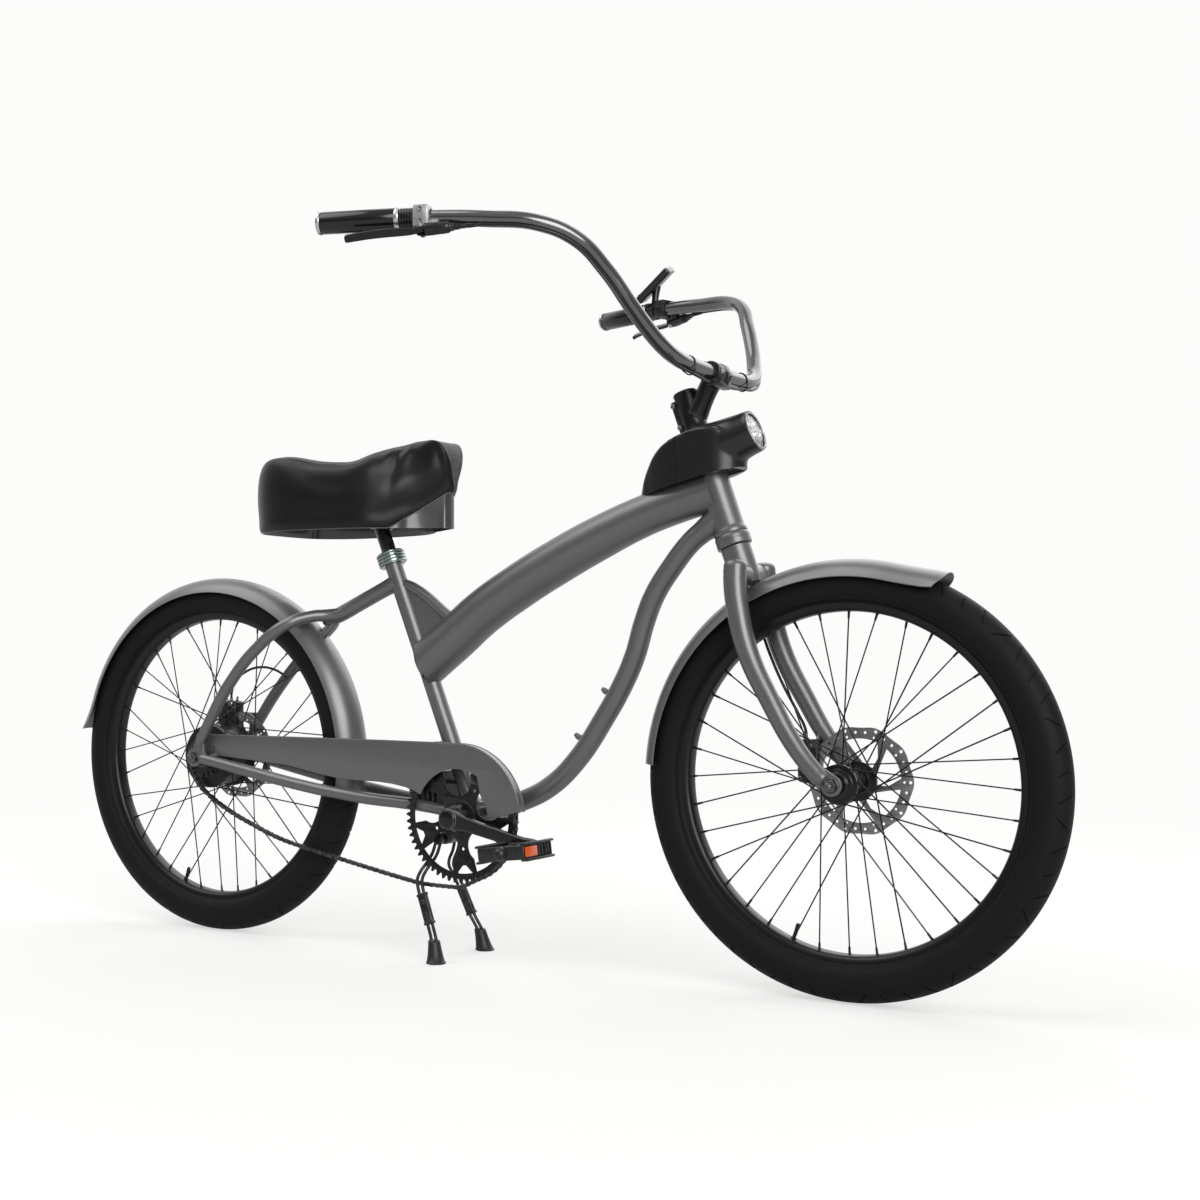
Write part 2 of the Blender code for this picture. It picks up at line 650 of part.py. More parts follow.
TOP_TUBE_WALL = 0.0030
TOP_TUBE_KNOTS = [
    (0.4990, 0, 0.5275, 0.0240), (0.5040, 0, 0.5315, 0.0330), (0.5130, 0, 0.5385, 0.0390),
    (0.5270, 0, 0.5490, 0.0410), (0.5600, 0, 0.5735, 0.0410), (0.6140, 0, 0.6155, 0.0409),
    (0.6960, 0, 0.6650, 0.0402), (0.7770, 0, 0.7070, 0.0393), (0.8560, 0, 0.7435, 0.0376),
    (0.9330, 0, 0.7745, 0.0350), (1.0000, 0, 0.7955, 0.0342), (1.0580, 0, 0.8095, 0.0340)]
top_line = stretched(TOP_TUBE_KNOTS)
top_hollow = [(*knot[:3], knot[3] - TOP_TUBE_WALL) for knot in top_line[4:]]
hollow_end = ahead([(1.0900, 0, 0.8172, top_line[-1][3] - TOP_TUBE_WALL)])
top_tube = piece("top_tube", pipe(top_line, 14), "satin_grey", ROOT)
piece("battery_pack", pipe([(*knot[:3], knot[3] - RUN_GAP) for knot in top_hollow[1:-1]], 14),
      "battery_blue", ROOT)

DOWN_TUBE_RADIUS = 0.0180
DOWN_TUBE_KNOTS = [
    (1.0840, 0, 0.7710), (1.0620, 0, 0.7550), (1.0280, 0, 0.7300), (0.9930, 0, 0.6900),
    (0.9610, 0, 0.6490), (0.9440, 0, 0.6170), (0.9240, 0, 0.5400), (0.9030, 0, 0.4980),
    (0.8640, 0, 0.4360), (0.8130, 0, 0.3620), (0.7590, 0, 0.3130), (0.7170, 0, 0.2940)]
down_line = [Vector((*knot, DOWN_TUBE_RADIUS)) for knot in stretched(DOWN_TUBE_KNOTS)]
down_line.append(Vector((*BRACKET, DOWN_TUBE_RADIUS)))
down_tube = piece("down_tube", pipe(down_line, 10), "satin_grey", ROOT)
STUD_SPOTS = [(0.8640, 0, 0.4840), (0.8110, 0, 0.4050)]
STUD_OUT = Vector((-0.82, 0.0, 0.57))
STUD_RADIUS = 0.0040
for index, spot in enumerate(stretched(STUD_SPOTS)):
    base = Vector(spot) - STUD_OUT * 0.0260
    join(down_tube, tool(f"bottle_stud_{index}", rod(base, base + STUD_OUT * 0.0290, STUD_RADIUS, 8), ROOT))

seat_tube = piece("seat_tube", turned(plug(SEAT_TUBE_RADIUS, SEAT_TUBE_LENGTH, 0.0), 20),
                  "satin_grey", ROOT, SEAT_FRAME)
POST_BOTTOM = 0.3000
POST_BORE_BOTTOM = 0.2600
post_bore = tool("post_bore", turned(plug(SEATPOST_RADIUS + RUN_GAP, 0.6000, POST_BORE_BOTTOM), 20),
                 ROOT, SEAT_FRAME)
seat_space = tool("seat_space", turned(plug(SEAT_TUBE_RADIUS + SEAT_GAP, 0.5200, 0.0), 20), ROOT,
                  SEAT_FRAME)

COLLAR_BOTTOM = 0.4870
COLLAR_TOP = 0.5110
COLLAR_RIBS = 3
collar_profile = []
for rib in range(COLLAR_RIBS):
    top = COLLAR_TOP - rib * (COLLAR_TOP - COLLAR_BOTTOM) / COLLAR_RIBS
    rib_height = (COLLAR_TOP - COLLAR_BOTTOM) / COLLAR_RIBS
    collar_profile += [(0.0240, top), (0.0265, top - rib_height * 0.50)]
COLLAR_SIDES = 12
tube_bore = corners_at(SEAT_TUBE_RADIUS + SEAT_GAP, COLLAR_SIDES)
post_way = corners_at(SEATPOST_RADIUS + RUN_GAP, COLLAR_SIDES)
collar_profile += [(tube_bore, COLLAR_BOTTOM), (tube_bore, SEAT_TUBE_LENGTH + SEAT_GAP),
                   (post_way, SEAT_TUBE_LENGTH + SEAT_GAP), (post_way, COLLAR_TOP)]
piece("seat_collar", turned(collar_profile, COLLAR_SIDES, closed=True), "collar_alloy", ROOT, SEAT_FRAME)

bracket = piece("bottom_bracket",
                turned(washer(BRACKET_SHELL_RADIUS, CRANK_AXLE_RADIUS + 2 * RUN_GAP,
                              BRACKET_SHELL_HALF, -BRACKET_SHELL_HALF), 16, closed=True),
                "satin_grey", ROOT, BRACKET_PLACE)
bracket_space = tool("bracket_space", turned(plug(BRACKET_SHELL_RADIUS + SEAT_GAP, 0.06, -0.06), 16),
                     ROOT, BRACKET_PLACE)
STAND_PIVOT = Vector((0.5450, 0.0, 0.2135))
STAND_PIN_RADIUS = 0.0060
LUG_HALF = 0.0155
LUG_OUTLINE = (arc((STAND_PIVOT.x, STAND_PIVOT.z), 0.0115, 120, 290, 7)
               + [(0.5750, 0.2150), (0.6000, 0.2370), (0.5900, 0.2620), (0.5795, 0.2590), (0.5620, 0.2400)])
lug = tool("stand_lug", plate([LUG_OUTLINE], LUG_HALF), ROOT, side_view((0, 0, 0)))
past_lug = Vector((0, LUG_HALF + 0.0100, 0))
lug_bore = tool("stand_lug_bore", rod(STAND_PIVOT - past_lug, STAND_PIVOT + past_lug,
                                      STAND_PIN_RADIUS + RUN_GAP, 12), ROOT)
axle_bore = tool("crank_axle_bore", turned(plug(CRANK_AXLE_RADIUS + 2 * RUN_GAP, 0.06, -0.06), 16),
                 ROOT, BRACKET_PLACE)
join(bracket, lug)
cut(bracket, lug_bore, axle_bore)

GUSSET_TOP = [(0.4330, 0.6700), (0.4550, 0.6710), (0.5020, 0.6460), (0.5390, 0.6170), (0.5650, 0.6000)]
GUSSET_OUTLINE = GUSSET_TOP + [(0.5450, 0.5700), (0.5020, 0.5450), (0.4800, 0.5600)]
gusset = piece("gusset", plate([GUSSET_OUTLINE], 0.0055), "satin_grey", ROOT, side_view((0, 0, 0)))
ridge = smooth_line([(x, 0, z, 0.0100) for x, z in GUSSET_TOP], 2)
join(gusset, tool("gusset_ridge", pipe(ridge, 10), ROOT))

STAY_RADIUS = 0.0112
MONO_STAY = [(0.4300, 0, 0.6765, 0.0145), (0.4130, 0, 0.6695, 0.0145), (0.3500, 0, 0.6418, 0.0145),
             (0.2740, 0, 0.6089, 0.0145)]
SEATSTAY_KNOTS = [
    (0.3020, 0.006, 0.6205), (0.2600, 0.034, 0.6175), (0.2250, 0.074, 0.6000), (0.1600, 0.080, 0.5540),
    (0.1000, 0.080, 0.4950), (0.0500, 0.076, 0.4310), (0.0160, 0.0735, 0.3760)]
seatstay_left = [Vector((*knot, STAY_RADIUS)) for knot in SEATSTAY_KNOTS]
wishbone = piece("rear_wishbone", pipe(MONO_STAY, 10), "satin_grey", ROOT)
for label, side in SIDES.items():
    join(wishbone, tool(f"seatstay_{label}", pipe(sided(seatstay_left, side), 8), ROOT))
stay_space = tool("seatstay_left_space", pipe(seatstay_left, 8, SEAT_GAP), ROOT)

CHAINSTAY_KNOTS = [
    (0.0150, 0.0735, 0.3420), (0.1200, 0.0680, 0.3230), (0.2500, 0.0620, 0.3000), (0.3300, 0.0585, 0.2885),
    (0.4000, 0.0480, 0.2800), (0.4700, 0.0335, 0.2745), (0.5200, 0.0300, 0.2700), (0.5900, 0.0270, 0.2610)]
DROPOUT_OUTLINE = (arc((0, AXLE_HEIGHT), 0.0180, 100, 320, 7)
                   + [(0.0300, 0.3300), (0.0380, 0.3370), (0.0250, 0.3560), (0.0220, 0.3900),
                      (0.0080, 0.3900)])
DROPOUT_MIDDLE = (DROPOUT_IN + DROPOUT_OUT) / 2
DROPOUT_HALF = (DROPOUT_OUT - DROPOUT_IN) / 2
chainstay_line = [Vector((*knot, 0.0110)) for knot in CHAINSTAY_KNOTS]
chainstays = {}
for label, side in SIDES.items():
    y = side * DROPOUT_MIDDLE
    stay = piece(f"chainstay_{label}", pipe(sided(chainstay_line, side), 8), "satin_grey", ROOT)
    chainstays[label] = stay
    join(stay, tool(f"dropout_{label}", plate([DROPOUT_OUTLINE], DROPOUT_HALF), ROOT,
                    side_view((0, 0, 0), y)))
    bore = rod((0, y - 0.03, AXLE_HEIGHT), (0, y + 0.03, AXLE_HEIGHT), REAR_AXLE_RADIUS + SEAT_GAP, 12)
    cut(stay, tool(f"dropout_bore_{label}", bore, ROOT), bracket_space)
    cut(wishbone, tool(f"dropout_space_{label}", plate([DROPOUT_OUTLINE], DROPOUT_HALF + SEAT_GAP), ROOT,
                       side_view((0, 0, 0), y)))

down_space = tool("down_space", pipe(down_line, 10, SEAT_GAP), ROOT)
top_space = tool("top_space", pipe(top_line, 14, SEAT_GAP), ROOT)
cut(top_tube, tool("top_hollow", pipe(top_hollow + hollow_end, 14), ROOT), head_space, seat_space, down_space)
cut(down_tube, head_space, bracket_space, seat_space)
cut(seat_tube, post_bore, bracket_space)
cut(gusset, seat_space, top_space)
cut(wishbone, seat_space)
cut(rear_fender, tool("mono_space", pipe(MONO_STAY, 10, SEAT_GAP), ROOT), stay_space,
    tool("seatstay_right_space", pipe(mirrored(seatstay_left), 8, SEAT_GAP), ROOT))

# The motor controller, a finned alloy box behind the bottom bracket, on a bracket to the seat tube
CONTROLLER_X = (0.4910, 0.5480)
CONTROLLER_Z = (0.2700, 0.3340)
FIN_COUNT = 5
FIN_DEPTH = 0.0060
controller_size = (CONTROLLER_X[1] - CONTROLLER_X[0], 0.0600, CONTROLLER_Z[1] - CONTROLLER_Z[0])
controller_centre = Vector((sum(CONTROLLER_X) / 2, 0.0, sum(CONTROLLER_Z) / 2))
fin_step = controller_size[0] / FIN_COUNT
grooves = []
for index in range(FIN_COUNT - 1):
    x = CONTROLLER_X[0] + fin_step * (index + 1)
    for side in SIDES.values():
        edge = (x, side * controller_size[1] / 2, controller_centre.z)
        grooves.append(block((fin_step * 0.55, FIN_DEPTH * 2, 0.1), edge))
controller = piece("controller_box", block(controller_size, controller_centre), "satin_black", ROOT)
cut(controller, tool("controller_grooves", merged(*grooves), ROOT))
join(controller, tool("controller_bracket", block((0.050, 0.024, 0.006), (0.560, 0, 0.3150)), ROOT))
for label, side in SIDES.items():
    cut(controller, tool(f"stay_notch_{label}", pipe(sided(chainstay_line, side), 8, SEAT_GAP), ROOT))
cut(controller, seat_space)

# The headlight cowl, a moulded cover over the head of the top tube that carries the lamp's barrel
LENS_CENTRE = Vector((1.1430 + FRONT_MOVE, 0.0, 0.9070))
LENS_RADIUS = 0.0290
BARREL_RADIUS = 0.0330
COWL_STATIONS = [
    (0.9360, 0.014, 0.8060, 0.8140), (0.9460, 0.027, 0.8065, 0.8360), (0.9670, 0.038, 0.8100, 0.8690),
    (1.0040, 0.045, 0.8210, 0.8970), (1.0500, 0.048, 0.8350, 0.9200), (1.0880, 0.048, 0.8450, 0.9320)]


def cowl_ring(x, half_width, bottom, top):
    """One section: a flat underside, full cheeks and a rounded back."""
    middle = (bottom + top) / 2
    half_height = (top - bottom) / 2
    ring = []
    for index in range(16):
        angle = 2 * math.pi * index / 16
        c = math.cos(angle)
        s = math.sin(angle)
        power = 0.55 if s < 0 else 0.85
        ring.append((x, half_width * math.copysign(abs(c) ** power, c),
                     middle + half_height * math.copysign(abs(s) ** power, s)))
    return ring


def barrel_ring(reach, radius):
    centre = LENS_CENTRE + HEAD_FORWARD * reach
    ring = []
    for index in range(16):
        angle = 2 * math.pi * index / 16
        out = Vector((0, 1, 0)) * math.cos(angle) + HEAD_UP * math.sin(angle)
        ring.append(centre + out * radius)
    return ring


cowl_rings = [cowl_ring(*station) for station in ahead(COWL_STATIONS)]
cowl_rings += [barrel_ring(-0.0140, 0.0385), barrel_ring(-0.0050, BARREL_RADIUS + 0.0010),
               barrel_ring(0.0010, BARREL_RADIUS)]
cowl = piece("headlight_cowl", loft(cowl_rings), "satin_black", ROOT)
LENS_PLACE = frame_on(LENS_CENTRE, HEAD_FORWARD)
lens_seat = tool("lens_seat", turned(plug(LENS_RADIUS + SEAT_GAP, 0.0200, -0.0100), 20), ROOT, LENS_PLACE)
stem_way = tool("stem_way", turned(plug(0.0300, 0.1800, 0.1140), 20), ROOT, HEAD_FRAME)
cut(cowl, lens_seat, top_space, head_space, stem_way)
piece("headlight_lens", turned([(0.0, 0.0015), (0.0200, 0.0005), (LENS_RADIUS, -0.0020),
                                (LENS_RADIUS, -0.0097), (0.0, -0.0097)], 20), "lens_clear", ROOT, LENS_PLACE)


# Fork: the crown with its steerer, and two legs
CROWN_TOP = LOWER_CUP_BOTTOM - RUN_GAP
CROWN_BOTTOM = -0.1370
STEERER_TOP = 0.2000
CROWN_PROFILE = [
    (0.0, STEERER_TOP), (STEERER_RADIUS, STEERER_TOP), (STEERER_RADIUS, CROWN_TOP), (0.0245, CROWN_TOP),
    (0.0245, CROWN_BOTTOM), (0.0, CROWN_BOTTOM)]
CROWN_BAR = Vector((1.1280 + FRONT_MOVE, 0.0, 0.6730))
CROWN_BAR_HALF = 0.0520
CROWN_BAR_RADIUS = 0.0165
FORK_KNOTS = [
    (1.1330, 0.0570, 0.6960, 0.0090), (1.1330, 0.0572, 0.6935, 0.0145), (1.1330, 0.0575, 0.6880, 0.0178),
    (1.1332, 0.0585, 0.6800, 0.0185), (1.1340, 0.0615, 0.6585, 0.0185), (1.1400, 0.0655, 0.6185, 0.0180),
    (1.1600, 0.0700, 0.5465, 0.0170), (1.2000, 0.0735, 0.4705, 0.0158), (1.2450, 0.0755, 0.3965, 0.0147),
    (1.2870, 0.0765, 0.3525, 0.0140)]
fork_line = ahead(FORK_KNOTS)
crown = piece("fork_crown", turned(CROWN_PROFILE, 20), "satin_grey", STEERING, HEAD_FRAME)
crown_bar_end = Vector((0, CROWN_BAR_HALF, 0))
join(crown, tool("crown_bar", rod(CROWN_BAR - crown_bar_end, CROWN_BAR + crown_bar_end,
                                  CROWN_BAR_RADIUS, 12), STEERING))
FORK_END_OUTLINE = (arc((WHEELBASE, AXLE_HEIGHT), 0.0160, -150, 60, 7)
                    + ahead([(1.2850, 0.3720), (1.2720, 0.3630), (1.2800, 0.3440)]))
leg_spaces = {}
for label, side in SIDES.items():
    y = side * DROPOUT_MIDDLE
    leg = piece(f"fork_leg_{label}", pipe(sided(fork_line, side), 10), "satin_grey", STEERING)
    join(leg, tool(f"fork_end_{label}", plate([FORK_END_OUTLINE], DROPOUT_HALF), STEERING,
                   side_view((0, 0, 0), y)))
    past_end = Vector((0, DROPOUT_HALF + 0.0260, 0))
    middle = FRONT_AXLE + Vector((0, y, 0))
    bore = rod(middle - past_end, middle + past_end, AXLE_RADIUS + SEAT_GAP, 12)
    cut(leg, tool(f"fork_end_bore_{label}", bore, STEERING))
    leg_spaces[label] = tool(f"fork_leg_space_{label}", pipe(sided(fork_line, side), 10, SEAT_GAP), STEERING)
    cut(crown, leg_spaces[label])
past_bar = Vector((0, CROWN_BAR_HALF + 0.0080, 0))
crown_bar_way = rod(CROWN_BAR - past_bar, CROWN_BAR + past_bar, CROWN_BAR_RADIUS + SEAT_GAP, 12)
cut(front_fender, tool("crown_space", head_rod(0.0245, 0.0, CROWN_BOTTOM, SEAT_GAP), STEERING, HEAD_FRAME),
    tool("crown_bar_space", crown_bar_way, STEERING))


# Handlebar: one bent tube, written for the left half from the middle out
BAR_HALF = [
    (1.0720, 0.0000, 1.0045), (1.0710, 0.1000, 1.0065), (1.0630, 0.1750, 1.0245),
    (1.0380, 0.2280, 1.0780), (1.0120, 0.2650, 1.1325), (0.9850, 0.3050, 1.1735), (0.9400, 0.3450, 1.1965),
    (0.8690, 0.3770, 1.2055), (0.8000, 0.4000, 1.2110)]
GRIP_INNER = Vector((0.7390 + FRONT_MOVE, 0.4210, 1.2135))
BAR_END = Vector((0.6120 + FRONT_MOVE, 0.4640, 1.2145))
GRIP_RADIUS_BAR = 0.0111
bar_left = smooth_line([(*knot, BAR_RADIUS) for knot in ahead(BAR_HALF)], 2)
bar_left[-2][3] = 0.0124
bar_left[-1][3] = 0.0116
bar_left.append(Vector((*GRIP_INNER, GRIP_RADIUS_BAR)))
bar_left.append(Vector((*(BAR_END + (GRIP_INNER - BAR_END).normalized() * 0.004), GRIP_RADIUS_BAR)))
bar_line = [Vector((knot[0], -knot[1], knot[2], knot[3])) for knot in reversed(bar_left[1:])] + bar_left
handlebar = piece("handlebar", pipe(bar_line, 8), "satin_grey", STEERING)
past_end = (BAR_END - GRIP_INNER).normalized() * SEAT_GAP
right_past = Vector((past_end.x, -past_end.y, past_end.z, 0.0))
bar_way = [bar_line[0] + right_past] + bar_line[1:-1] + [bar_line[-1] + Vector((*past_end, 0.0))]
bar_space = tool("bar_space", pipe(bar_way, 8, SEAT_GAP), STEERING)

# Stem: clamp tube on the steerer, forward neck, and the bar's clamp with its bolts
STEM_BASE = UPPER_CUP_TOP + RUN_GAP
STEM_TOP = 0.2040
STEM_PROFILE = [
    (0.0, STEM_TOP), (0.0185, STEM_TOP), (0.0205, STEM_TOP - 0.0030), (0.0200, 0.1450), (0.0225, 0.1350),
    (0.0285, 0.1260), (0.0285, STEM_BASE), (0.0, STEM_BASE)]
BAR_CENTRE = Vector(ahead(BAR_HALF)[0])
stem = piece("stem", turned(STEM_PROFILE, 16), "satin_black", STEERING, HEAD_FRAME)
neck_foot = HEAD_POINT + HEAD_UP * 0.1600 + HEAD_FORWARD * 0.0060
NECK = [(*neck_foot, 0.0200), (*(BAR_CENTRE + (neck_foot - BAR_CENTRE) * 0.12), 0.0190)]
join(stem, tool("stem_neck", pipe(NECK, 12), STEERING))
join(stem, tool("bar_clamp", rod(BAR_CENTRE - Vector((0, 0.0225, 0)), BAR_CENTRE + Vector((0, 0.0225, 0)),
                                 0.0185, 16), STEERING))
PINCH_HEIGHTS = (0.1480, 0.1860)
for index, height in enumerate(PINCH_HEIGHTS):
    centre = HEAD_POINT + HEAD_UP * height - HEAD_FORWARD * 0.0235
    join(stem, tool(f"pinch_bolt_{index}", rod(centre - Vector((0, 0.014, 0)), centre + Vector((0, 0.014, 0)),
                                               0.0052, 6), STEERING))
join(stem, tool("pinch_ear", block((0.012, 0.018, 0.056), (-0.0200, 0, 0.1670)), STEERING, HEAD_FRAME))
clamp_front = (BAR_CENTRE - neck_foot).normalized()
clamp_side = clamp_front.cross(Vector((0, 1, 0)))
for index, (across, along) in enumerate(((-1, -1), (-1, 1), (1, -1), (1, 1))):
    foot = BAR_CENTRE + Vector((0, 0.0150 * across, 0)) + clamp_side * 0.0160 * along
    join(stem, tool(f"clamp_bolt_{index}", rod(foot - clamp_front * 0.0100, foot + clamp_front * 0.0120,
                                               0.0042, 6), STEERING))
GUIDE_CENTRE = Vector((1.0790 + FRONT_MOVE, 0.0, 0.9870))
GUIDE_HALF = 0.0300
join(stem, tool("hose_guide", block((0.018, 2 * GUIDE_HALF, 0.014), GUIDE_CENTRE), STEERING))
steerer_space = tool("steerer_space", head_rod(STEERER_RADIUS, STEERER_TOP, STEM_BASE - 0.01, SEAT_GAP),
                     STEERING, HEAD_FRAME)
cut(stem, steerer_space, bar_space)

# Grips, brake levers and the display, placed along the straight ends of the bar
PIVOT_ALONG = 0.0400
PIVOT_OUT = 0.0200
PIVOT_DOWN = -0.0240
LEVERS = {}
hose_starts = {}
for label, side in SIDES.items():
    end = Vector((BAR_END.x, side * BAR_END.y, BAR_END.z))
    inner = Vector((GRIP_INNER.x, side * GRIP_INNER.y, GRIP_INNER.z))
    along = (inner - end).normalized()
    outward = Vector((0, 0, 1)).cross(along)
    outward = outward * math.copysign(1.0, outward.y * side)
    up = along.cross(outward) * math.copysign(1.0, along.cross(outward).z)
    pull = (outward * 0.7071 - up * 0.7071)
    grip_length = (inner - end).length
    ridge = GRIP_RADIUS + 0.0008
    GRIP_PROFILE = [(0.0, grip_length), (ridge, grip_length), (GRIP_RADIUS, grip_length - 0.0065),
                    (GRIP_RADIUS, 0.0075), (ridge, 0.0065), (0.0162, 0.0), (0.0, 0.0)]
    grip = piece(f"grip_{label}", turned(GRIP_PROFILE, 14), "grip_black", STEERING, frame_on(end, along))
    cut(grip, bar_space)

    def at(a, b, c):
        return inner + along * a + outward * b + up * c

    perch_place = frame_on(inner, along)
    perch = piece(f"lever_perch_{label}", turned(plug(0.0165, 0.0490, 0.0230), 14), "satin_black",
                  STEERING, perch_place)
    body = pipe([(*at(0.0340, 0.0190, -0.0230), 0.0090), (*at(0.0450, 0.0190, -0.0230), 0.0100),
                 (*at(0.0820, 0.0150, -0.0205), 0.0090), (*at(0.0860, 0.0150, -0.0203), 0.0055),
                 (*at(0.1060, 0.0110, -0.0185), 0.0040)], 8)
    arm = rod(at(0.0360, 0.0040, -0.0060), at(0.0440, 0.0180, -0.0220), 0.0085, 8)
    join(perch, tool(f"master_body_{label}", body, STEERING), tool(f"perch_arm_{label}", arm, STEERING))
    if label == "right":
        join(perch, tool("throttle_ring", turned(plug(0.0160, 0.0240, 0.0040), 16), STEERING, perch_place))
    cut(perch, bar_space)

    pivot = at(PIVOT_ALONG, PIVOT_OUT, PIVOT_DOWN)
    wide = along.cross(pull).normalized()
    LEVERS[label] = carrier(f"brake_lever_{label}_carrier", frame_on(pivot, wide, along), STEERING)
    slot_turn = Matrix((along, wide, pull)).transposed().to_4x4()
    slot = block((0.0220, 0.0105, 0.0300), (0, 0, 0))
    slot_at = at(PIVOT_ALONG - 0.0060, PIVOT_OUT + 0.0040, PIVOT_DOWN - 0.0040)
    cut(perch, tool(f"lever_slot_{label}", slot, STEERING,
                    Matrix.Translation(slot_at) @ slot_turn))
    blade_rings = []
    for a, b, c, half_wide, half_thick in (
            (0.0435, 0.0190, -0.0230, 0.0046, 0.0040), (0.0320, 0.0205, -0.0240, 0.0046, 0.0045),
            (0.0220, 0.0235, -0.0262, 0.0060, 0.0034), (0.0050, 0.0245, -0.0260, 0.0072, 0.0028),
            (-0.0200, 0.0250, -0.0262, 0.0074, 0.0027), (-0.0500, 0.0275, -0.0295, 0.0070, 0.0027),
            (-0.0740, 0.0300, -0.0330, 0.0066, 0.0030), (-0.0790, 0.0310, -0.0340, 0.0060, 0.0042)):
        centre = at(a, b, c)
        blade_rings.append([centre + wide * half_wide * w + pull * half_thick * t
                            for w, t in ((1, 0.5), (0.6, 1), (-0.6, 1), (-1, 0.5),
                                         (-1, -0.5), (-0.6, -1), (0.6, -1), (1, -0.5))])
    piece(f"brake_lever_{label}", loft(blade_rings), "satin_black", LEVERS[label])
    hose_starts[label] = at(0.1072, 0.0109, -0.0184)

DISPLAY_AT = 0.0125
left_along = (GRIP_INNER - BAR_END).normalized()
display_ring = turned(plug(0.0170, 0.0205, 0.0045), 12)
display = piece("display", display_ring, "satin_black", STEERING, frame_on(GRIP_INNER, left_along))
screen_normal = Vector((-0.62, -0.10, 0.78)).normalized()
screen_place = frame_on(Vector((0.7500 + FRONT_MOVE, 0.4180, 1.2650)), screen_normal, (0.78, 0.0, 0.62))
ring_middle = GRIP_INNER + left_along * DISPLAY_AT
display_neck = rod(ring_middle + Vector((0, 0, 0.0070)), screen_place.translation, 0.0072, 8)
join(display, tool("display_neck", display_neck, STEERING))
join(display, tool("display_case", block((0.0860, 0.0520, 0.0150), (0, 0, 0), 0.003), STEERING, screen_place))
cut(display, bar_space)


# Hydraulic hoses, 5 mm, held along the bar and against the fork and the left seatstay
def beside_bar(side):
    """Hose knots along the bar from the lever to the guide under the stem."""
    gap = BAR_RADIUS + HOSE_RADIUS + SEAT_GAP + 0.0005
    wish = Vector((0.45, side * 0.9, -1.0)).normalized()
    middle = [Vector((knot[0], side * knot[1], knot[2])) for knot in bar_left]
    knots = []
    for index in range(2, len(middle) - 4):
        tangent = (middle[index + 1] - middle[index - 1]).normalized()
        away = (wish - tangent * wish.dot(tangent)).normalized()
        knots.append(middle[index] + away * gap)
    return list(reversed(knots))


for label, side in SIDES.items():
    start = hose_starts[label]
    route = beside_bar(side)
    last = GUIDE_CENTRE + Vector((0, side * (GUIDE_HALF + SEAT_GAP), 0))
    knots = [start] + route + [last + Vector((0, side * 0.020, 0.0)), last]
    hose = pipe([(*point, HOSE_RADIUS) for point in knots], 4)
    piece(f"brake_hose_{label}", hose, "hose_black", STEERING)

front_hose_knots = [
    (1.1320, 0.0640, 0.6300), (1.1180, 0.0660, 0.6150), (1.1210, 0.0680, 0.5950), (1.1390, 0.0705, 0.5400),
    (1.1600, 0.0725, 0.4950), (1.1860, 0.0735, 0.4480), (1.2000, 0.0700, 0.4210), (1.2035, 0.0660, 0.4086)]
front_hose = piece("front_brake_hose", pipe([(*point, HOSE_RADIUS) for point in ahead(front_hose_knots)], 4),
                   "hose_black", STEERING)
rear_hose_knots = [
    (-0.0260, 0.0620, 0.4600), (-0.0180, 0.0620, 0.4850), (0.0100, 0.0630, 0.5080), (0.0450, 0.0650, 0.5180),
    (0.0800, 0.0680, 0.5140), (0.1050, 0.0730, 0.5020), (0.1120, 0.0800, 0.4970)]
rear_hose_line = [(*point, HOSE_RADIUS) for point in smooth_line(rear_hose_knots, 2)]
rear_hose = piece("rear_brake_hose", pipe(rear_hose_line, 4), "hose_black", ROOT)
cut(front_hose, leg_spaces["left"])
cut(rear_hose, stay_space)


# Brake calipers: a body straddling the rotor, a round piston cover and an arm to the fork or stay
def caliper(name, body, centre, disc_y, size, arm_to, piston):
    middle = Vector((centre[0], disc_y + 0.0060, centre[1]))
    item = piece(name, block(size, middle, 0.0040), "satin_black", body)
    join(item, tool(name + "_piston", rod(middle + Vector((piston[0], 0, piston[1])),
                                          middle + Vector((piston[0], 0.0240, piston[1])), 0.0150, 10), body))
    arm = rod(middle + Vector((0, 0.0110, 0)), arm_to, 0.0060, 8)
    join(item, tool(name + "_arm", arm, body))
    return item


front_caliper = caliper("front_caliper", STEERING, (1.2140 + FRONT_MOVE, 0.3720), ROTOR_FRONT_Y,
                        (0.0360, 0.0300, 0.0700), (1.2480 + FRONT_MOVE, 0.0755, 0.3930), (0.0, -0.016))
rear_caliper = caliper("rear_caliper", ROOT, (-0.0260, 0.4220), ROTOR_REAR_Y,
                       (0.0480, 0.0300, 0.0560), (0.0420, 0.0750, 0.4200), (-0.004, 0.004))
cut(front_caliper, leg_spaces["left"])
cut(rear_caliper, stay_space)


def rotor_way():
    """The room a rotor sweeps, cut out of the caliper from its open side."""
    half_way = ROTOR_HALF_THICKNESS + 0.0007
    return turned(plug(ROTOR_RADIUS + 0.0020, half_way, -half_way), 32)


cut(front_caliper, tool("front_rotor_way", rotor_way(), STEERING,
                        frame_on((WHEELBASE, ROTOR_FRONT_Y, AXLE_HEIGHT), (0, 1, 0))))
cut(rear_caliper, tool("rear_rotor_way", rotor_way(), ROOT,
                       frame_on((0, ROTOR_REAR_Y, AXLE_HEIGHT), (0, 1, 0))))


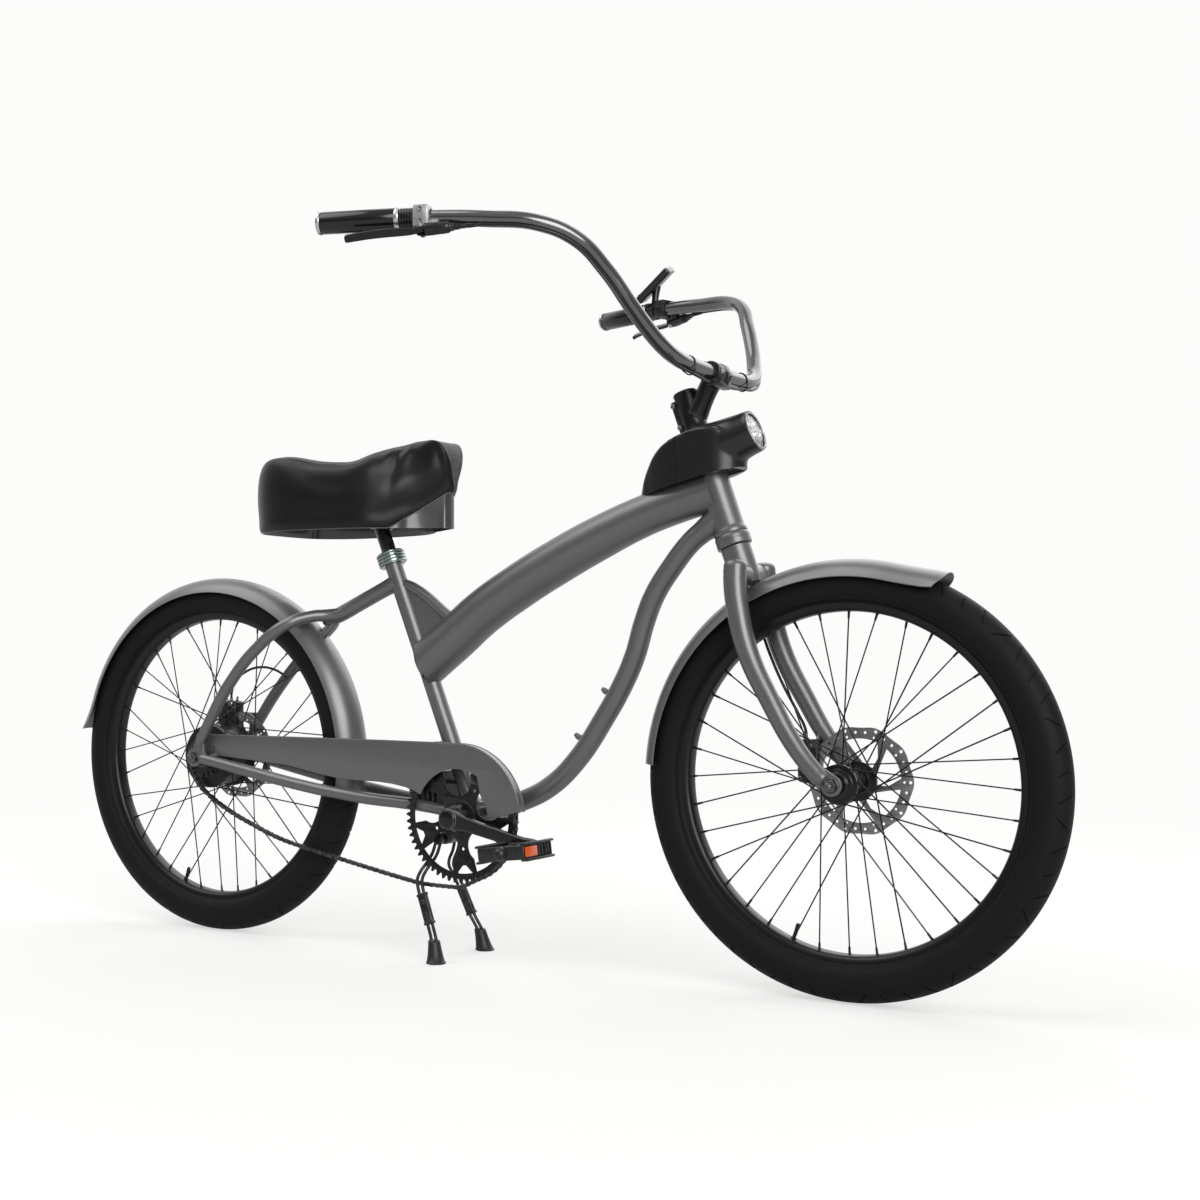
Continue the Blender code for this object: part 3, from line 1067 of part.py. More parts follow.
# Chainring, sprocket and chain
def toothed(teeth, pitch_radius, tip, depth):
    """Outline of a chain wheel: rounded gaps for the rollers between pointed teeth."""
    outline = []
    for index in range(teeth):
        middle = 2 * math.pi * index / teeth
        step = 2 * math.pi / teeth
        for share, radius in ((-0.5, pitch_radius - depth), (-0.13, pitch_radius + tip),
                              (0.13, pitch_radius + tip)):
            angle = middle + step * share
            outline.append((radius * math.cos(angle), radius * math.sin(angle)))
    return outline


RING_TIP = 0.0044
ROLLER_DEPTH = 0.0040
RING_HOLES = []
for arm in range(5):
    middle = math.degrees(CRANK_ANGLE) + 36.0 + 72.0 * arm
    turn = math.radians(middle)
    pocket = (0.0640 * math.cos(turn), 0.0640 * math.sin(turn))
    RING_HOLES.append(arc((0, 0), 0.0990, middle - 21, middle + 21, 3)
                      + arc(pocket, 0.0270, middle + 75, middle + 285, 6))
    root = middle + 36.0
    RING_HOLES.append(arc((0, 0), 0.0990, root - 9, root + 9, 2) + arc((0, 0), 0.0860, root + 3, root - 3, 2))
ring_place = side_view(BRACKET, CHAIN_LINE)
chainring = piece("chainring", plate([toothed(RING_TEETH, RING_RADIUS, RING_TIP, ROLLER_DEPTH)] + RING_HOLES,
                                     RING_HALF_THICKNESS), "satin_black", CRANK, ring_place)
SPIDER_OUT = -0.0735
ring_boss = turned([(0.0, -0.0440), (0.0230, -0.0440), (0.0250, -0.0500), (0.0210, SPIDER_OUT),
                    (0.0, SPIDER_OUT)], 12)
join(chainring, tool("ring_boss", ring_boss, CRANK, BRACKET_PLACE))
crank_axle_space = tool("crank_axle_space", turned(plug(CRANK_AXLE_RADIUS + SEAT_GAP, 0.10, -0.10), 12),
                        CRANK, BRACKET_PLACE)
cut(chainring, crank_axle_space)

sprocket_place = side_view(REAR_AXLE, CHAIN_LINE)
SPROCKET_BORE = corners_at(FREEWHEEL_RADIUS + RUN_GAP, 12)
sprocket = piece("rear_sprocket",
                 plate([toothed(SPROCKET_TEETH, SPROCKET_RADIUS, RING_TIP, ROLLER_DEPTH),
                        circle((0, 0), 0.0200, 12)], RING_HALF_THICKNESS),
                 "dark_alloy", REAR_DRIVE, sprocket_place)
join(sprocket, tool("sprocket_boss", turned(washer(0.0245, SPROCKET_BORE, -0.0420, -0.0540), 12, closed=True),
                    REAR_DRIVE, REAR_PLACE))

TOP_TANGENT = math.asin((RING_RADIUS - SPROCKET_RADIUS) / (BRACKET - REAR_AXLE).length)
centre_slope = math.atan2(BRACKET.z - REAR_AXLE.z, BRACKET.x - REAR_AXLE.x)
LEAVE_RING = math.radians(-72.0)
MEET_SPROCKET = math.radians(205.0)
top_normal = math.pi / 2 + centre_slope + TOP_TANGENT
LOWER_RUN = [(0.607, 0.1338), (0.562, 0.1322), (0.517, 0.1340), (0.470, 0.1410), (0.380, 0.1570),
             (0.290, 0.1740), (0.196, 0.1930), (0.119, 0.2190), (0.062, 0.2420), (0.012, 0.2690),
             (-0.020, 0.2960)]


def chain_path():
    """The chain's centreline seen from the right, forward over the ring, back along the slack run."""
    path = []
    count = 40
    for index in range(count + 1):
        angle = top_normal + (LEAVE_RING - top_normal) * index / count
        path.append((BRACKET.x + RING_RADIUS * math.cos(angle), BRACKET.z + RING_RADIUS * math.sin(angle)))
    wrap_start = (REAR_AXLE.x + SPROCKET_RADIUS * math.cos(MEET_SPROCKET),
                  REAR_AXLE.z + SPROCKET_RADIUS * math.sin(MEET_SPROCKET))
    sag = [Vector((x, 0, z)) for x, z in [path[-1]] + LOWER_RUN + [wrap_start]]
    path += [(point.x, point.z) for point in smooth_line(sag, 8)[1:-1]]
    for index in range(13):
        angle = MEET_SPROCKET + (top_normal - MEET_SPROCKET) * index / 12
        path.append((REAR_AXLE.x + SPROCKET_RADIUS * math.cos(angle),
                     REAR_AXLE.z + SPROCKET_RADIUS * math.sin(angle)))
    return [Vector((x, z)) for x, z in path]


def evenly(path, count):
    """The closed path walked in a whole number of equal steps."""
    loop = path + [path[0]]
    lengths = [(b - a).length for a, b in zip(loop, loop[1:])]
    stride = sum(lengths) / count
    points = []
    index = 0
    walked = 0.0
    for step in range(count):
        target = step * stride
        while walked + lengths[index] < target:
            walked += lengths[index]
            index += 1
        share = (target - walked) / lengths[index]
        points.append(loop[index].lerp(loop[index + 1], share))
    return points


path = chain_path()
path_length = sum((b - a).length for a, b in zip(path, path[1:] + path[:1]))
LINK_COUNT = 2 * round(path_length / CHAIN_PITCH / 2)
stations = evenly(path, LINK_COUNT)
outer_edge = []
inner_edge = []
for index, point in enumerate(stations):
    ahead = stations[(index + 1) % len(stations)] - stations[index - 1]
    normal = Vector((-ahead.y, ahead.x)).normalized()
    half_height = 0.0042 if index % 2 == 0 else 0.0029
    outer_edge.append(point + normal * half_height)
    inner_edge.append(point - normal * half_height)
chain = piece("chain", plate([outer_edge, inner_edge], CHAIN_HALF_WIDTH), "dark_alloy", ROOT,
              side_view((0, 0, 0), CHAIN_LINE))
ring_way = turned(plug(corners_at(RING_RADIUS + RING_TIP + RUN_GAP, 28), RING_HALF_THICKNESS + RUN_GAP,
                       -RING_HALF_THICKNESS - RUN_GAP), 28)
sprocket_way = turned(plug(corners_at(SPROCKET_RADIUS + RING_TIP + RUN_GAP, 16),
                           RING_HALF_THICKNESS + RUN_GAP, -RING_HALF_THICKNESS - RUN_GAP), 16)
cut(chain, tool("ring_way", ring_way, ROOT, ring_place),
    tool("sprocket_way", sprocket_way, ROOT, sprocket_place))

# Cranks: the axle, two arms with their pedal spindles, and the pedals
crank_along = Vector((math.cos(CRANK_ANGLE), 0.0, math.sin(CRANK_ANGLE)))
ARM_IN = 0.0740
ARM_OUT = 0.0900
CRANK_AXLE_HALF = 0.0870
piece("crank_axle", turned(plug(CRANK_AXLE_RADIUS, CRANK_AXLE_HALF, -CRANK_AXLE_HALF), 12), "bolt_steel",
      CRANK, BRACKET_PLACE)
ARM_STATIONS = [  # share of the crank's length, half height, share of the arm's half width
    (-0.075, 0.0080, 0.90), (-0.05, 0.0150, 1.0), (0.0, 0.0185, 1.0), (0.10, 0.0165, 1.0),
    (0.25, 0.0125, 0.80), (0.85, 0.0105, 0.75), (0.94, 0.0135, 0.75), (1.02, 0.0125, 0.75),
    (1.07, 0.0060, 0.60)]
PEDAL_IN = 0.0980
PEDAL_OUT = 0.1900
SPINDLE_RADIUS = 0.0065
SPINDLE_TIP = 0.1800
CAP_RADIUS = 0.0165
CAP_REACH = 0.0130
PEDAL_LENGTH = PEDAL_OUT - PEDAL_IN
PEDAL_WIDTH = 0.1000
PEDAL_HEIGHT = 0.0300
PEDAL_TURN = math.radians(-7.0)
PEDAL_END_WALL = 0.0080
PEDAL_WINDOW = 0.0290
PEDAL_WINDOW_AT = 0.0270
PEDAL_GROOVE = (0.0060, 0.0200)
PEDAL_BALL = 0.0120
PEDALS = {}
for label, side in SIDES.items():
    reach = crank_along * CRANK_LENGTH * (1 if label == "right" else -1)
    tip = BRACKET + reach
    mid = Vector((0, side * (ARM_IN + ARM_OUT) / 2, 0))
    half = (ARM_OUT - ARM_IN) / 2
    rings = []
    across = Vector((-reach.z, 0, reach.x)).normalized()
    for share, half_height, width_share in ARM_STATIONS:
        half_width = half * width_share
        centre = BRACKET + reach * share + mid
        ring = []
        for u, v in ((1, 0.6), (0.8, 1), (-0.8, 1), (-1, 0.6), (-1, -0.6), (-0.8, -1), (0.8, -1), (1, -0.6)):
            ring.append(centre + across * half_height * u + Vector((0, half_width * v, 0)))
        rings.append(ring)
    arm = piece(f"crank_arm_{label}", loft(rings), "satin_black", CRANK)
    cap_top = BRACKET + mid + Vector((0, side * CAP_REACH, 0))
    spindle_tip = tip + Vector((0, side * SPINDLE_TIP, 0))
    join(arm, tool(f"crank_cap_{label}", rod(BRACKET + mid, cap_top, CAP_RADIUS, 12), CRANK),
         tool(f"pedal_spindle_{label}", rod(tip + mid, spindle_tip, SPINDLE_RADIUS, 8), CRANK))
    bore_end = BRACKET + Vector((0, side * (CRANK_AXLE_HALF + SEAT_GAP), 0))
    bore = rod(BRACKET, bore_end, CRANK_AXLE_RADIUS + SEAT_GAP, 12)
    cut(arm, tool(f"arm_bore_{label}", bore, CRANK))
    PEDALS[label] = carrier(f"pedal_{label}_carrier", frame_on(tip, (0, 1, 0)), CRANK)
    pedal_middle = tip + Vector((0, side * (PEDAL_IN + PEDAL_OUT) / 2, 0))
    place = Matrix.Translation(pedal_middle) @ Matrix.Rotation(PEDAL_TURN, 4, "Y")
    pedal = piece(f"pedal_{label}", block((PEDAL_WIDTH, PEDAL_LENGTH, PEDAL_HEIGHT), (0, 0, 0), 0.0020),
                  "satin_black", PEDALS[label], place)
    window = (PEDAL_WINDOW, PEDAL_LENGTH - 2 * PEDAL_END_WALL, 2 * PEDAL_HEIGHT)
    groove = (PEDAL_GROOVE[0], PEDAL_LENGTH - 0.0060, PEDAL_GROOVE[1])
    windows = merged(block(window, (PEDAL_WINDOW_AT, 0, 0)), block(window, (-PEDAL_WINDOW_AT, 0, 0)))
    grooves = merged(block(groove, (PEDAL_WIDTH / 2, 0, 0)), block(groove, (-PEDAL_WIDTH / 2, 0, 0)))
    cut(pedal, tool(f"pedal_windows_{label}", windows, PEDALS[label], place),
        tool(f"pedal_grooves_{label}", grooves, PEDALS[label], place))
    pedal_ball = ball(PEDAL_BALL, (0, side * PEDAL_LENGTH / 2, 0), 8, 6)
    join(pedal, tool(f"pedal_cap_{label}", pedal_ball, PEDALS[label], place))
    way_in = tip + Vector((0, side * (PEDAL_IN - 0.0200), 0))
    way_end = tip + Vector((0, side * (SPINDLE_TIP + 2 * RUN_GAP), 0))
    way = rod(way_in, way_end, corners_at(SPINDLE_RADIUS + RUN_GAP, 8), 8)
    cut(pedal, tool(f"pedal_bore_{label}", way, PEDALS[label]))

# Chainguard: a flat plate outside the chain with a rim turned in over the top run and the ring
GUARD_Y = -0.0615
GUARD_HALF = 0.0010
GUARD_FLANGE = 0.0180
BX = BRACKET.x
BZ = BRACKET.z
guard_top = ([(0.0110, 0.3560), (0.0120, 0.3800), (0.0200, 0.3880)] + [(0.3000, 0.3885), (0.5450, 0.3878)]
             + arc((BX, BZ), 0.1300, 97, 8.0, 10) + [(0.7300, 0.2735)])
guard_low = ([(0.7200, 0.2700), (0.6660, 0.2580)] + arc((BX, BZ), 0.0650, 2, 40, 4)
             + arc((BX, BZ), 0.0860, 62, 154, 6)
             + [(0.4920, 0.3060), (0.4340, 0.3130), (0.3420, 0.3155), (0.2240, 0.3355), (0.0290, 0.3485)])
guard = piece("chainguard", plate([guard_top + guard_low], GUARD_HALF), "satin_grey", ROOT,
              side_view((0, 0, 0), GUARD_Y))
GUARD_WALL = 0.0018


def inset(points, distance):
    """The open line moved sideways by the distance, to its right as it runs."""
    moved = []
    for index, point in enumerate(points):
        before = Vector(points[max(index - 1, 0)])
        after = Vector(points[min(index + 1, len(points) - 1)])
        run = (after - before).normalized()
        moved.append(Vector(point) + Vector((run.y, -run.x)) * distance)
    return [(point.x, point.y) for point in moved]


GUARD_BOSS = ((0.0420, GUARD_Y, 0.3500), (0.0420, -0.0760, 0.3440))
GUARD_BOSS_RADIUS = 0.0055
GUARD_TAB = (0.0160, 0.0440, 0.0030)
GUARD_TAB_AT = (0.5480, -0.0230, 0.3865)
rim_line = guard_top[2:]
rim_outline = rim_line + list(reversed(inset(rim_line, GUARD_WALL)))
flange_y = GUARD_Y + GUARD_FLANGE / 2
flange = plate([rim_outline], GUARD_FLANGE / 2)
join(guard, tool("guard_flange", flange, ROOT, side_view((0, 0, 0), flange_y)),
     tool("guard_boss", rod(*GUARD_BOSS, GUARD_BOSS_RADIUS, 10), ROOT),
     tool("guard_tab", block(GUARD_TAB, GUARD_TAB_AT), ROOT))
cut(guard, tool("chainstay_right_space", pipe(mirrored(chainstay_line), 8, SEAT_GAP), ROOT), seat_space)

# Double-leg stand on the lug behind the bottom bracket
STAND = carrier("stand_carrier", frame_on(STAND_PIVOT, (0, 1, 0)), ROOT)
STAND_PIN_HALF = 0.0350
STAND_PATH = [
    (0.5450, 0.0310, 0.2135), (0.5390, 0.0330, 0.1900), (0.5270, 0.0365, 0.1690), (0.5200, 0.0470, 0.1530),
    (0.5220, 0.0590, 0.1360), (0.5510, 0.0680, 0.0660), (0.5640, 0.0745, GROUND + 0.0380),
    (0.5690, 0.0775, GROUND + 0.0200)]
pin_end = Vector((0, STAND_PIN_HALF, 0))
kickstand = piece("kickstand", rod(STAND_PIVOT - pin_end, STAND_PIVOT + pin_end, STAND_PIN_RADIUS, 12),
                  "satin_black", STAND)
STAND_ROD_RADIUS = 0.0030
ROD_SHIFTS = (-0.0052, 0.0052)
CHEEK_SPAN = (0.0270, 0.0360)
CHEEK_RADIUS = 0.0105
SLEEVE_TOP = (0.5295, 0.0622, 0.1180)
SLEEVE_FOOT = (0.5510, 0.0680, 0.0660)
SLEEVE_SIZE = (0.0190, 0.0096)
FOOT_TOP = (0.5640, 0.0745, GROUND + 0.0400)
FOOT_BASE = (0.5720, 0.0800, GROUND)
FOOT_STEPS = ((0.0, 0.0175), (0.06, 0.0165), (0.6, 0.0120), (1.0, 0.0105))


def stand_rods(path, side, grow=0.0):
    """The two parallel rods of one leg."""
    rods = []
    for shift in ROD_SHIFTS:
        knots = [(x + shift, y, z, STAND_ROD_RADIUS) for x, y, z in path]
        rods.append(pipe(sided(knots, side), 4, grow))
    return merged(*rods)


foot_reach = (Vector(STAND_PATH[-1]) - Vector(STAND_PATH[-2])).normalized() * SEAT_GAP
HOLE_PATH = STAND_PATH[:-1] + [tuple(Vector(STAND_PATH[-1]) + foot_reach)]
for label, side in SIDES.items():
    cheek_in, cheek_out = (STAND_PIVOT + Vector((0, side * y, 0)) for y in CHEEK_SPAN)
    sleeve_top, sleeve_foot = (Vector(spot) for spot in sided([SLEEVE_TOP, SLEEVE_FOOT], side))
    lie = frame_on((sleeve_top + sleeve_foot) / 2, sleeve_top - sleeve_foot)
    sleeve = block((*SLEEVE_SIZE, (sleeve_top - sleeve_foot).length))
    join(kickstand, tool(f"stand_cheek_{label}", rod(cheek_in, cheek_out, CHEEK_RADIUS, 12), STAND),
         tool(f"stand_rods_{label}", stand_rods(STAND_PATH, side), STAND),
         tool(f"stand_sleeve_{label}", sleeve, STAND, lie))
    foot_top, foot_base = (Vector(spot) for spot in sided([FOOT_TOP, FOOT_BASE], side))
    foot_rings = []
    for share, radius in FOOT_STEPS:
        centre = foot_base.lerp(foot_top, share)
        foot_rings.append([(x, y, centre.z) for x, y in circle(centre, radius, 12)])
    foot = piece(f"stand_foot_{label}", loft(foot_rings), "tyre_black", STAND)
    cut(foot, tool(f"foot_holes_{label}", stand_rods(HOLE_PATH, side, 2 * SEAT_GAP), STAND))

# Saddle: post with its clamp, moulded base with two rails, and the cushion around it
CLAMP_CENTRE = Vector((0.3925, 0.0, 0.7920))
CLAMP_S = (CLAMP_CENTRE - BRACKET).dot(SEAT_UP)
RAIL_Y = 0.0220
RAIL_RADIUS = 0.0035
post = piece("seatpost", turned(plug(SEATPOST_RADIUS, CLAMP_S, POST_BOTTOM), 20), "satin_black", SADDLE,
             SEAT_FRAME)
clamp_end = Vector((0, 0.0300, 0))
join(post, tool("rail_clamp", rod(CLAMP_CENTRE - clamp_end, CLAMP_CENTRE + clamp_end, 0.0165, 16), SADDLE))
RAIL_SIDE_VIEW = [
    (0.2500, 0.8530), (0.2560, 0.8200), (0.2750, 0.8010), (0.3200, 0.7960), (0.4300, 0.7960),
    (0.4620, 0.8030), (0.4760, 0.8250), (0.4800, 0.8640)]

SADDLE_PLAN = [  # along the saddle, half-width, height of the shoulder
    (0.1570, 0.0480, 0.8780), (0.1700, 0.0870, 0.8980), (0.2050, 0.1170, 0.9110), (0.2600, 0.1330, 0.9090),
    (0.3300, 0.1330, 0.8960), (0.3900, 0.1240, 0.8930), (0.4350, 0.1080, 0.9050), (0.4700, 0.0810, 0.9190),
    (0.5000, 0.0590, 0.9260), (0.5450, 0.0440, 0.9330), (0.5600, 0.0310, 0.9260)]
SADDLE_RIM = [(0.1570, 0.7720), (0.4650, 0.7720), (0.5630, 0.8440)]
PLAN_CENTRE = Vector((0.3500, 0.0))
shoulder = [(x, z) for x, _, z in SADDLE_PLAN]


def saddle_ring(inward, height):
    """One ring round the saddle: the plan moved inward, each point at its own height."""
    left = [(x, w) for x, w, _ in SADDLE_PLAN]
    plan = left + [(x, -w) for x, w in reversed(left)]
    ring = []
    for x, y in plan:
        spot = Vector((x, y))
        toward = PLAN_CENTRE - spot
        moved = spot + toward.normalized() * inward if inward < 0.05 else PLAN_CENTRE - toward * (1 - inward)
        ring.append((moved.x, moved.y, height(moved.x)))
    return ring


def rim_height(x):
    return between(SADDLE_RIM, x)


def blend(share, drop=0.0):
    """A height that is the given share of the way from the rim up to the shoulder."""
    return lambda x: rim_height(x) + (between(shoulder, x) - rim_height(x)) * share - drop


CUSHION_WALL = 0.0140
CEILING = 0.62
cushion_rings = [
    saddle_ring(CUSHION_WALL + 0.012, blend(CEILING)), saddle_ring(CUSHION_WALL, blend(CEILING, 0.012)),
    saddle_ring(CUSHION_WALL - 0.004, blend(0.0)), saddle_ring(0.005, blend(0.02)),
    saddle_ring(-0.002, blend(0.45)), saddle_ring(0.0, blend(0.80)), saddle_ring(0.006, blend(0.94)),
    saddle_ring(0.018, blend(1.0)), saddle_ring(0.60, blend(1.0, 0.001))]
piece("saddle_cushion", loft(cushion_rings), "saddle_black", SADDLE)
BASE_GAP = 0.0030
BASE_WALL = 0.0030
SIDE_GAP = 0.0005
base_outer = CUSHION_WALL + 0.012 + SIDE_GAP + 0.001
base_inner = base_outer + BASE_WALL
base_rings = [
    saddle_ring(base_outer, blend(CEILING, BASE_GAP)),
    saddle_ring(CUSHION_WALL + SIDE_GAP, blend(CEILING, 0.0150)),
    saddle_ring(CUSHION_WALL - 0.004 + SIDE_GAP, blend(0.0, -0.0010)),
    saddle_ring(CUSHION_WALL + SIDE_GAP + BASE_WALL - 0.004, blend(0.0, -0.0010)),
    saddle_ring(CUSHION_WALL + SIDE_GAP + BASE_WALL, blend(CEILING, 0.0175)),
    saddle_ring(base_inner, blend(CEILING, BASE_GAP + BASE_WALL))]
base = piece("saddle_base", loft(base_rings), "gloss_black", SADDLE)
for label, side in SIDES.items():
    knots = [(x, side * RAIL_Y, z, RAIL_RADIUS) for x, z in RAIL_SIDE_VIEW]
    join(base, tool(f"saddle_rail_{label}", pipe(knots, 4), SADDLE))
    grown = [(x, y, z, RAIL_RADIUS + SEAT_GAP) for x, y, z, _ in knots]
    cut(post, tool(f"rail_space_{label}", pipe(grown, 4), SADDLE))

ROOT.location = (-LENGTH_MIDDLE, 0.0, -GROUND)
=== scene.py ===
import math

import bmesh
import bpy
from mathutils import Matrix, Vector, kdtree


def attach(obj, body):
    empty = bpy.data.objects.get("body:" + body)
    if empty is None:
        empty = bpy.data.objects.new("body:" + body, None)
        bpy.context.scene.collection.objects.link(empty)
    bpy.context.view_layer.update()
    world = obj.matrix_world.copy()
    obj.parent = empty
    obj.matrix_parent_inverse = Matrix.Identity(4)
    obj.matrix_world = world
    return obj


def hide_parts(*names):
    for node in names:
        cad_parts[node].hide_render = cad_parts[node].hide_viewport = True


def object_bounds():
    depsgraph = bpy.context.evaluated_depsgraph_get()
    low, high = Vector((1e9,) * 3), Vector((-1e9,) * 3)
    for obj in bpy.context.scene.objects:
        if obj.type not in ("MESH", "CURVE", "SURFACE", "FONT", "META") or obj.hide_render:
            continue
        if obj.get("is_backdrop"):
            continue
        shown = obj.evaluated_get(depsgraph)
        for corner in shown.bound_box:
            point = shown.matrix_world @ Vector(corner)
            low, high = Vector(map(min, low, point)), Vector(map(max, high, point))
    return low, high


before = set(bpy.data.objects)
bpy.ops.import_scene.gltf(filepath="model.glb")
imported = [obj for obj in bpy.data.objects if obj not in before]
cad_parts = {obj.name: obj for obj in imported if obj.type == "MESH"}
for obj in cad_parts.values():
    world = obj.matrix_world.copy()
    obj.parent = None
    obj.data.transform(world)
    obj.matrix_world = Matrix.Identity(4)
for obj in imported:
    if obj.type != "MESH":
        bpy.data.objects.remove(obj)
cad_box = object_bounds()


def mm(rows):
    """A table of points given in millimetres, in metres."""
    return [tuple(round(value / 1000, 6) for value in row) for row in rows]


def unit(value):
    """A value held between 0 and 1."""
    return max(0.0, min(1.0, value))


def wire(tree, made, sockets):
    """Gives each socket of a node a value, or a link from another node's output."""
    for socket, value in sockets.items():
        if isinstance(value, bpy.types.NodeSocket):
            tree.links.new(value, made.inputs[socket])
        else:
            made.inputs[socket].default_value = value
    return made


def node(tree, kind, sockets={}, **settings):
    """A new shader node with its settings and its sockets."""
    made = tree.nodes.new("ShaderNode" + kind)
    for setting, value in settings.items():
        setattr(made, setting, value)
    return wire(tree, made, sockets)


def figure(tree, kind, first, second, clamp=False):
    """The output of one sum on two figures."""
    return node(tree, "Math", {0: first, 1: second}, operation=kind, use_clamp=clamp).outputs[0]


def fade(tree, value, low, high, start=0.0, end=1.0, **settings):
    """A figure carried from one range to another, with no overshoot."""
    sockets = {"Value": value, "From Min": low, "From Max": high, "To Min": start, "To Max": end}
    return node(tree, "MapRange", sockets, **settings).outputs[0]


# The studio: a plain pale floor that runs out to a background of the same white, a soft even
# sky, and three wide soft lamps, one low on the right, one high on the left and one behind.
scene = bpy.context.scene
scene.view_settings.view_transform = "Standard"
BACKGROUND = (0.983, 0.975, 0.965, 1)
SKY_STRENGTH = 0.5
SOFT_LAMPS = [("lamp_side", 2.0, 42, (0.72, -0.6, 0.35)), ("lamp_key", 1.0, 45, (-0.45, -0.35, 0.82)),
    ("lamp_back", 1.0, 60, (0.05, 0.72, 0.69))]
SMOOTH = {"interpolation_type": "SMOOTHSTEP"}

sky = bpy.data.worlds.new("studio_sky")
scene.world = sky
sky.use_nodes = True
tree = sky.node_tree
tree.nodes.clear()
way = node(tree, "TexCoord").outputs["Generated"]
overhead = fade(tree, node(tree, "SeparateXYZ", {0: way}).outputs["Z"], -0.05, 0.65, 0.16, 1.25, **SMOOTH)
aside = node(tree, "VectorMath", {0: way, 1: (-0.54, 0.84, 0)}, operation="DOT_PRODUCT").outputs["Value"]
backdrop = fade(tree, aside, 0.15, 0.8, **SMOOTH)
sky_light = figure(tree, "ADD", overhead, figure(tree, "MULTIPLY", backdrop, 0.45))
light_sky = node(tree, "Background", {"Strength": figure(tree, "MULTIPLY", sky_light, SKY_STRENGTH)})
seen_sky = node(tree, "Background", {"Color": BACKGROUND})


def seen_ray(tree, gloss):
    """Which rays see plain white: the camera's, those through glass, and a share of the glossy."""
    ray = node(tree, "LightPath").outputs
    seen = figure(tree, "MAXIMUM", ray["Is Camera Ray"], ray["Is Transmission Ray"])
    return figure(tree, "MAXIMUM", seen, figure(tree, "MULTIPLY", ray["Is Glossy Ray"], gloss))


sky_mix = node(tree, "MixShader", {0: seen_ray(tree, backdrop), 1: light_sky.outputs[0],
    2: seen_sky.outputs[0]})
node(tree, "OutputWorld", {"Surface": sky_mix.outputs[0]})

for lamp_name, strength, width, towards in SOFT_LAMPS:
    light = bpy.data.lights.new(lamp_name, "SUN")
    light.energy = strength
    light.angle = math.radians(width)
    lamp = bpy.data.objects.new(lamp_name, light)
    lamp.rotation_euler = Vector(towards).to_track_quat("Z", "Y").to_euler()
    scene.collection.objects.link(lamp)

bpy.ops.object.select_all(action="DESELECT")
bpy.ops.mesh.primitive_plane_add(size=160, location=(0, 0, -0.0004))
floor = bpy.context.object
floor.name = "studio_floor"
floor_finish = bpy.data.materials.new("studio_floor")
floor_finish.use_nodes = True
tree = floor_finish.node_tree
tree.nodes.clear()
FLOOR_SHADOW = 0.42
FLOOR_LIFT = 0.93
FLOOR_GLOSS = 0.4
floor_lit = node(tree, "BsdfDiffuse", {"Color": [value * FLOOR_LIFT for value in BACKGROUND[:3]] + [1]})
floor_glow = node(tree, "Emission", {"Color": BACKGROUND})
floor_bounce = node(tree, "BsdfDiffuse", {"Color": (0.36, 0.36, 0.36, 1)})
floor_place = node(tree, "TexCoord").outputs["Object"]
floor_reach = node(tree, "VectorMath", {0: floor_place}, operation="LENGTH").outputs["Value"]
floor_fade = fade(tree, floor_reach, 1.1, 3.6, 1 - FLOOR_SHADOW, **SMOOTH)
floor_pale = node(tree, "MixShader", {0: floor_fade, 1: floor_lit.outputs[0], 2: floor_glow.outputs[0]})
floor_mix = node(tree, "MixShader", {0: seen_ray(tree, FLOOR_GLOSS), 1: floor_bounce.outputs[0],
    2: floor_pale.outputs[0]})
node(tree, "OutputMaterial", {"Surface": floor_mix.outputs[0]})
floor.data.materials.append(floor_finish)
floor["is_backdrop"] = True

# The camera stands where the photograph was taken from: low, ahead of the crank on the
# chain side, with a slightly long lens held level and shifted to frame the bicycle.
camera_data = bpy.data.cameras.new("studio_camera")
camera_data.lens = 50.458
camera_data.sensor_width = 36
camera_data.shift_x = 0.0949
camera_data.shift_y = 0.0435
camera = bpy.data.objects.new("studio_camera", camera_data)
camera.location = (1.60115, -2.5269, 0.5481)
camera.rotation_euler = (math.radians(90), 0, math.radians(32.6))
scene.collection.objects.link(camera)
scene.camera = camera

# The tyres are 26 x 2.6 balloon tyres, moulded in black rubber. Each has a plain sidewall, a
# raised bead line beside the rim and a row of curved slits moulded into each shoulder. They
# sit on the rims by their beads. Both are turned from one section and cut from one pattern.
HALF_LENGTH = 0.64035
WHEEL_RADIUS = 0.3435
REAR_HUB = Vector((0.0, 0.0, WHEEL_RADIUS))
WHEELBASE = 1.3
FRONT_HUB = Vector((WHEELBASE, 0.0, WHEEL_RADIUS))


def take(*pieces):
    """Selects these pieces alone, the first of them active."""
    if bpy.context.object and bpy.context.object.mode == "EDIT":
        bpy.ops.object.mode_set(mode="OBJECT")
    bpy.ops.object.select_all(action="DESELECT")
    for piece in pieces:
        piece.select_set(True)
    bpy.context.view_layer.objects.active = pieces[0]
    return pieces[0]


def edit_all(piece):
    """Opens a piece for editing, with all of it selected."""
    take(piece)
    bpy.ops.object.mode_set(mode="EDIT")
    bpy.ops.mesh.select_all(action="SELECT")


def applied(piece):
    """Applies a piece's modifiers in their order."""
    take(piece)
    for name in [step.name for step in piece.modifiers]:
        bpy.ops.object.modifier_apply(modifier=name)
    return piece


def walled(piece, thickness, outward):
    """Gives a sheet its thickness, on the inner side of its faces, which look outward or inward."""
    wall = piece.modifiers.new("wall", "SOLIDIFY")
    wall.thickness = thickness
    wall.offset = -1.0 if outward > 0 else 1.0
    return applied(piece)


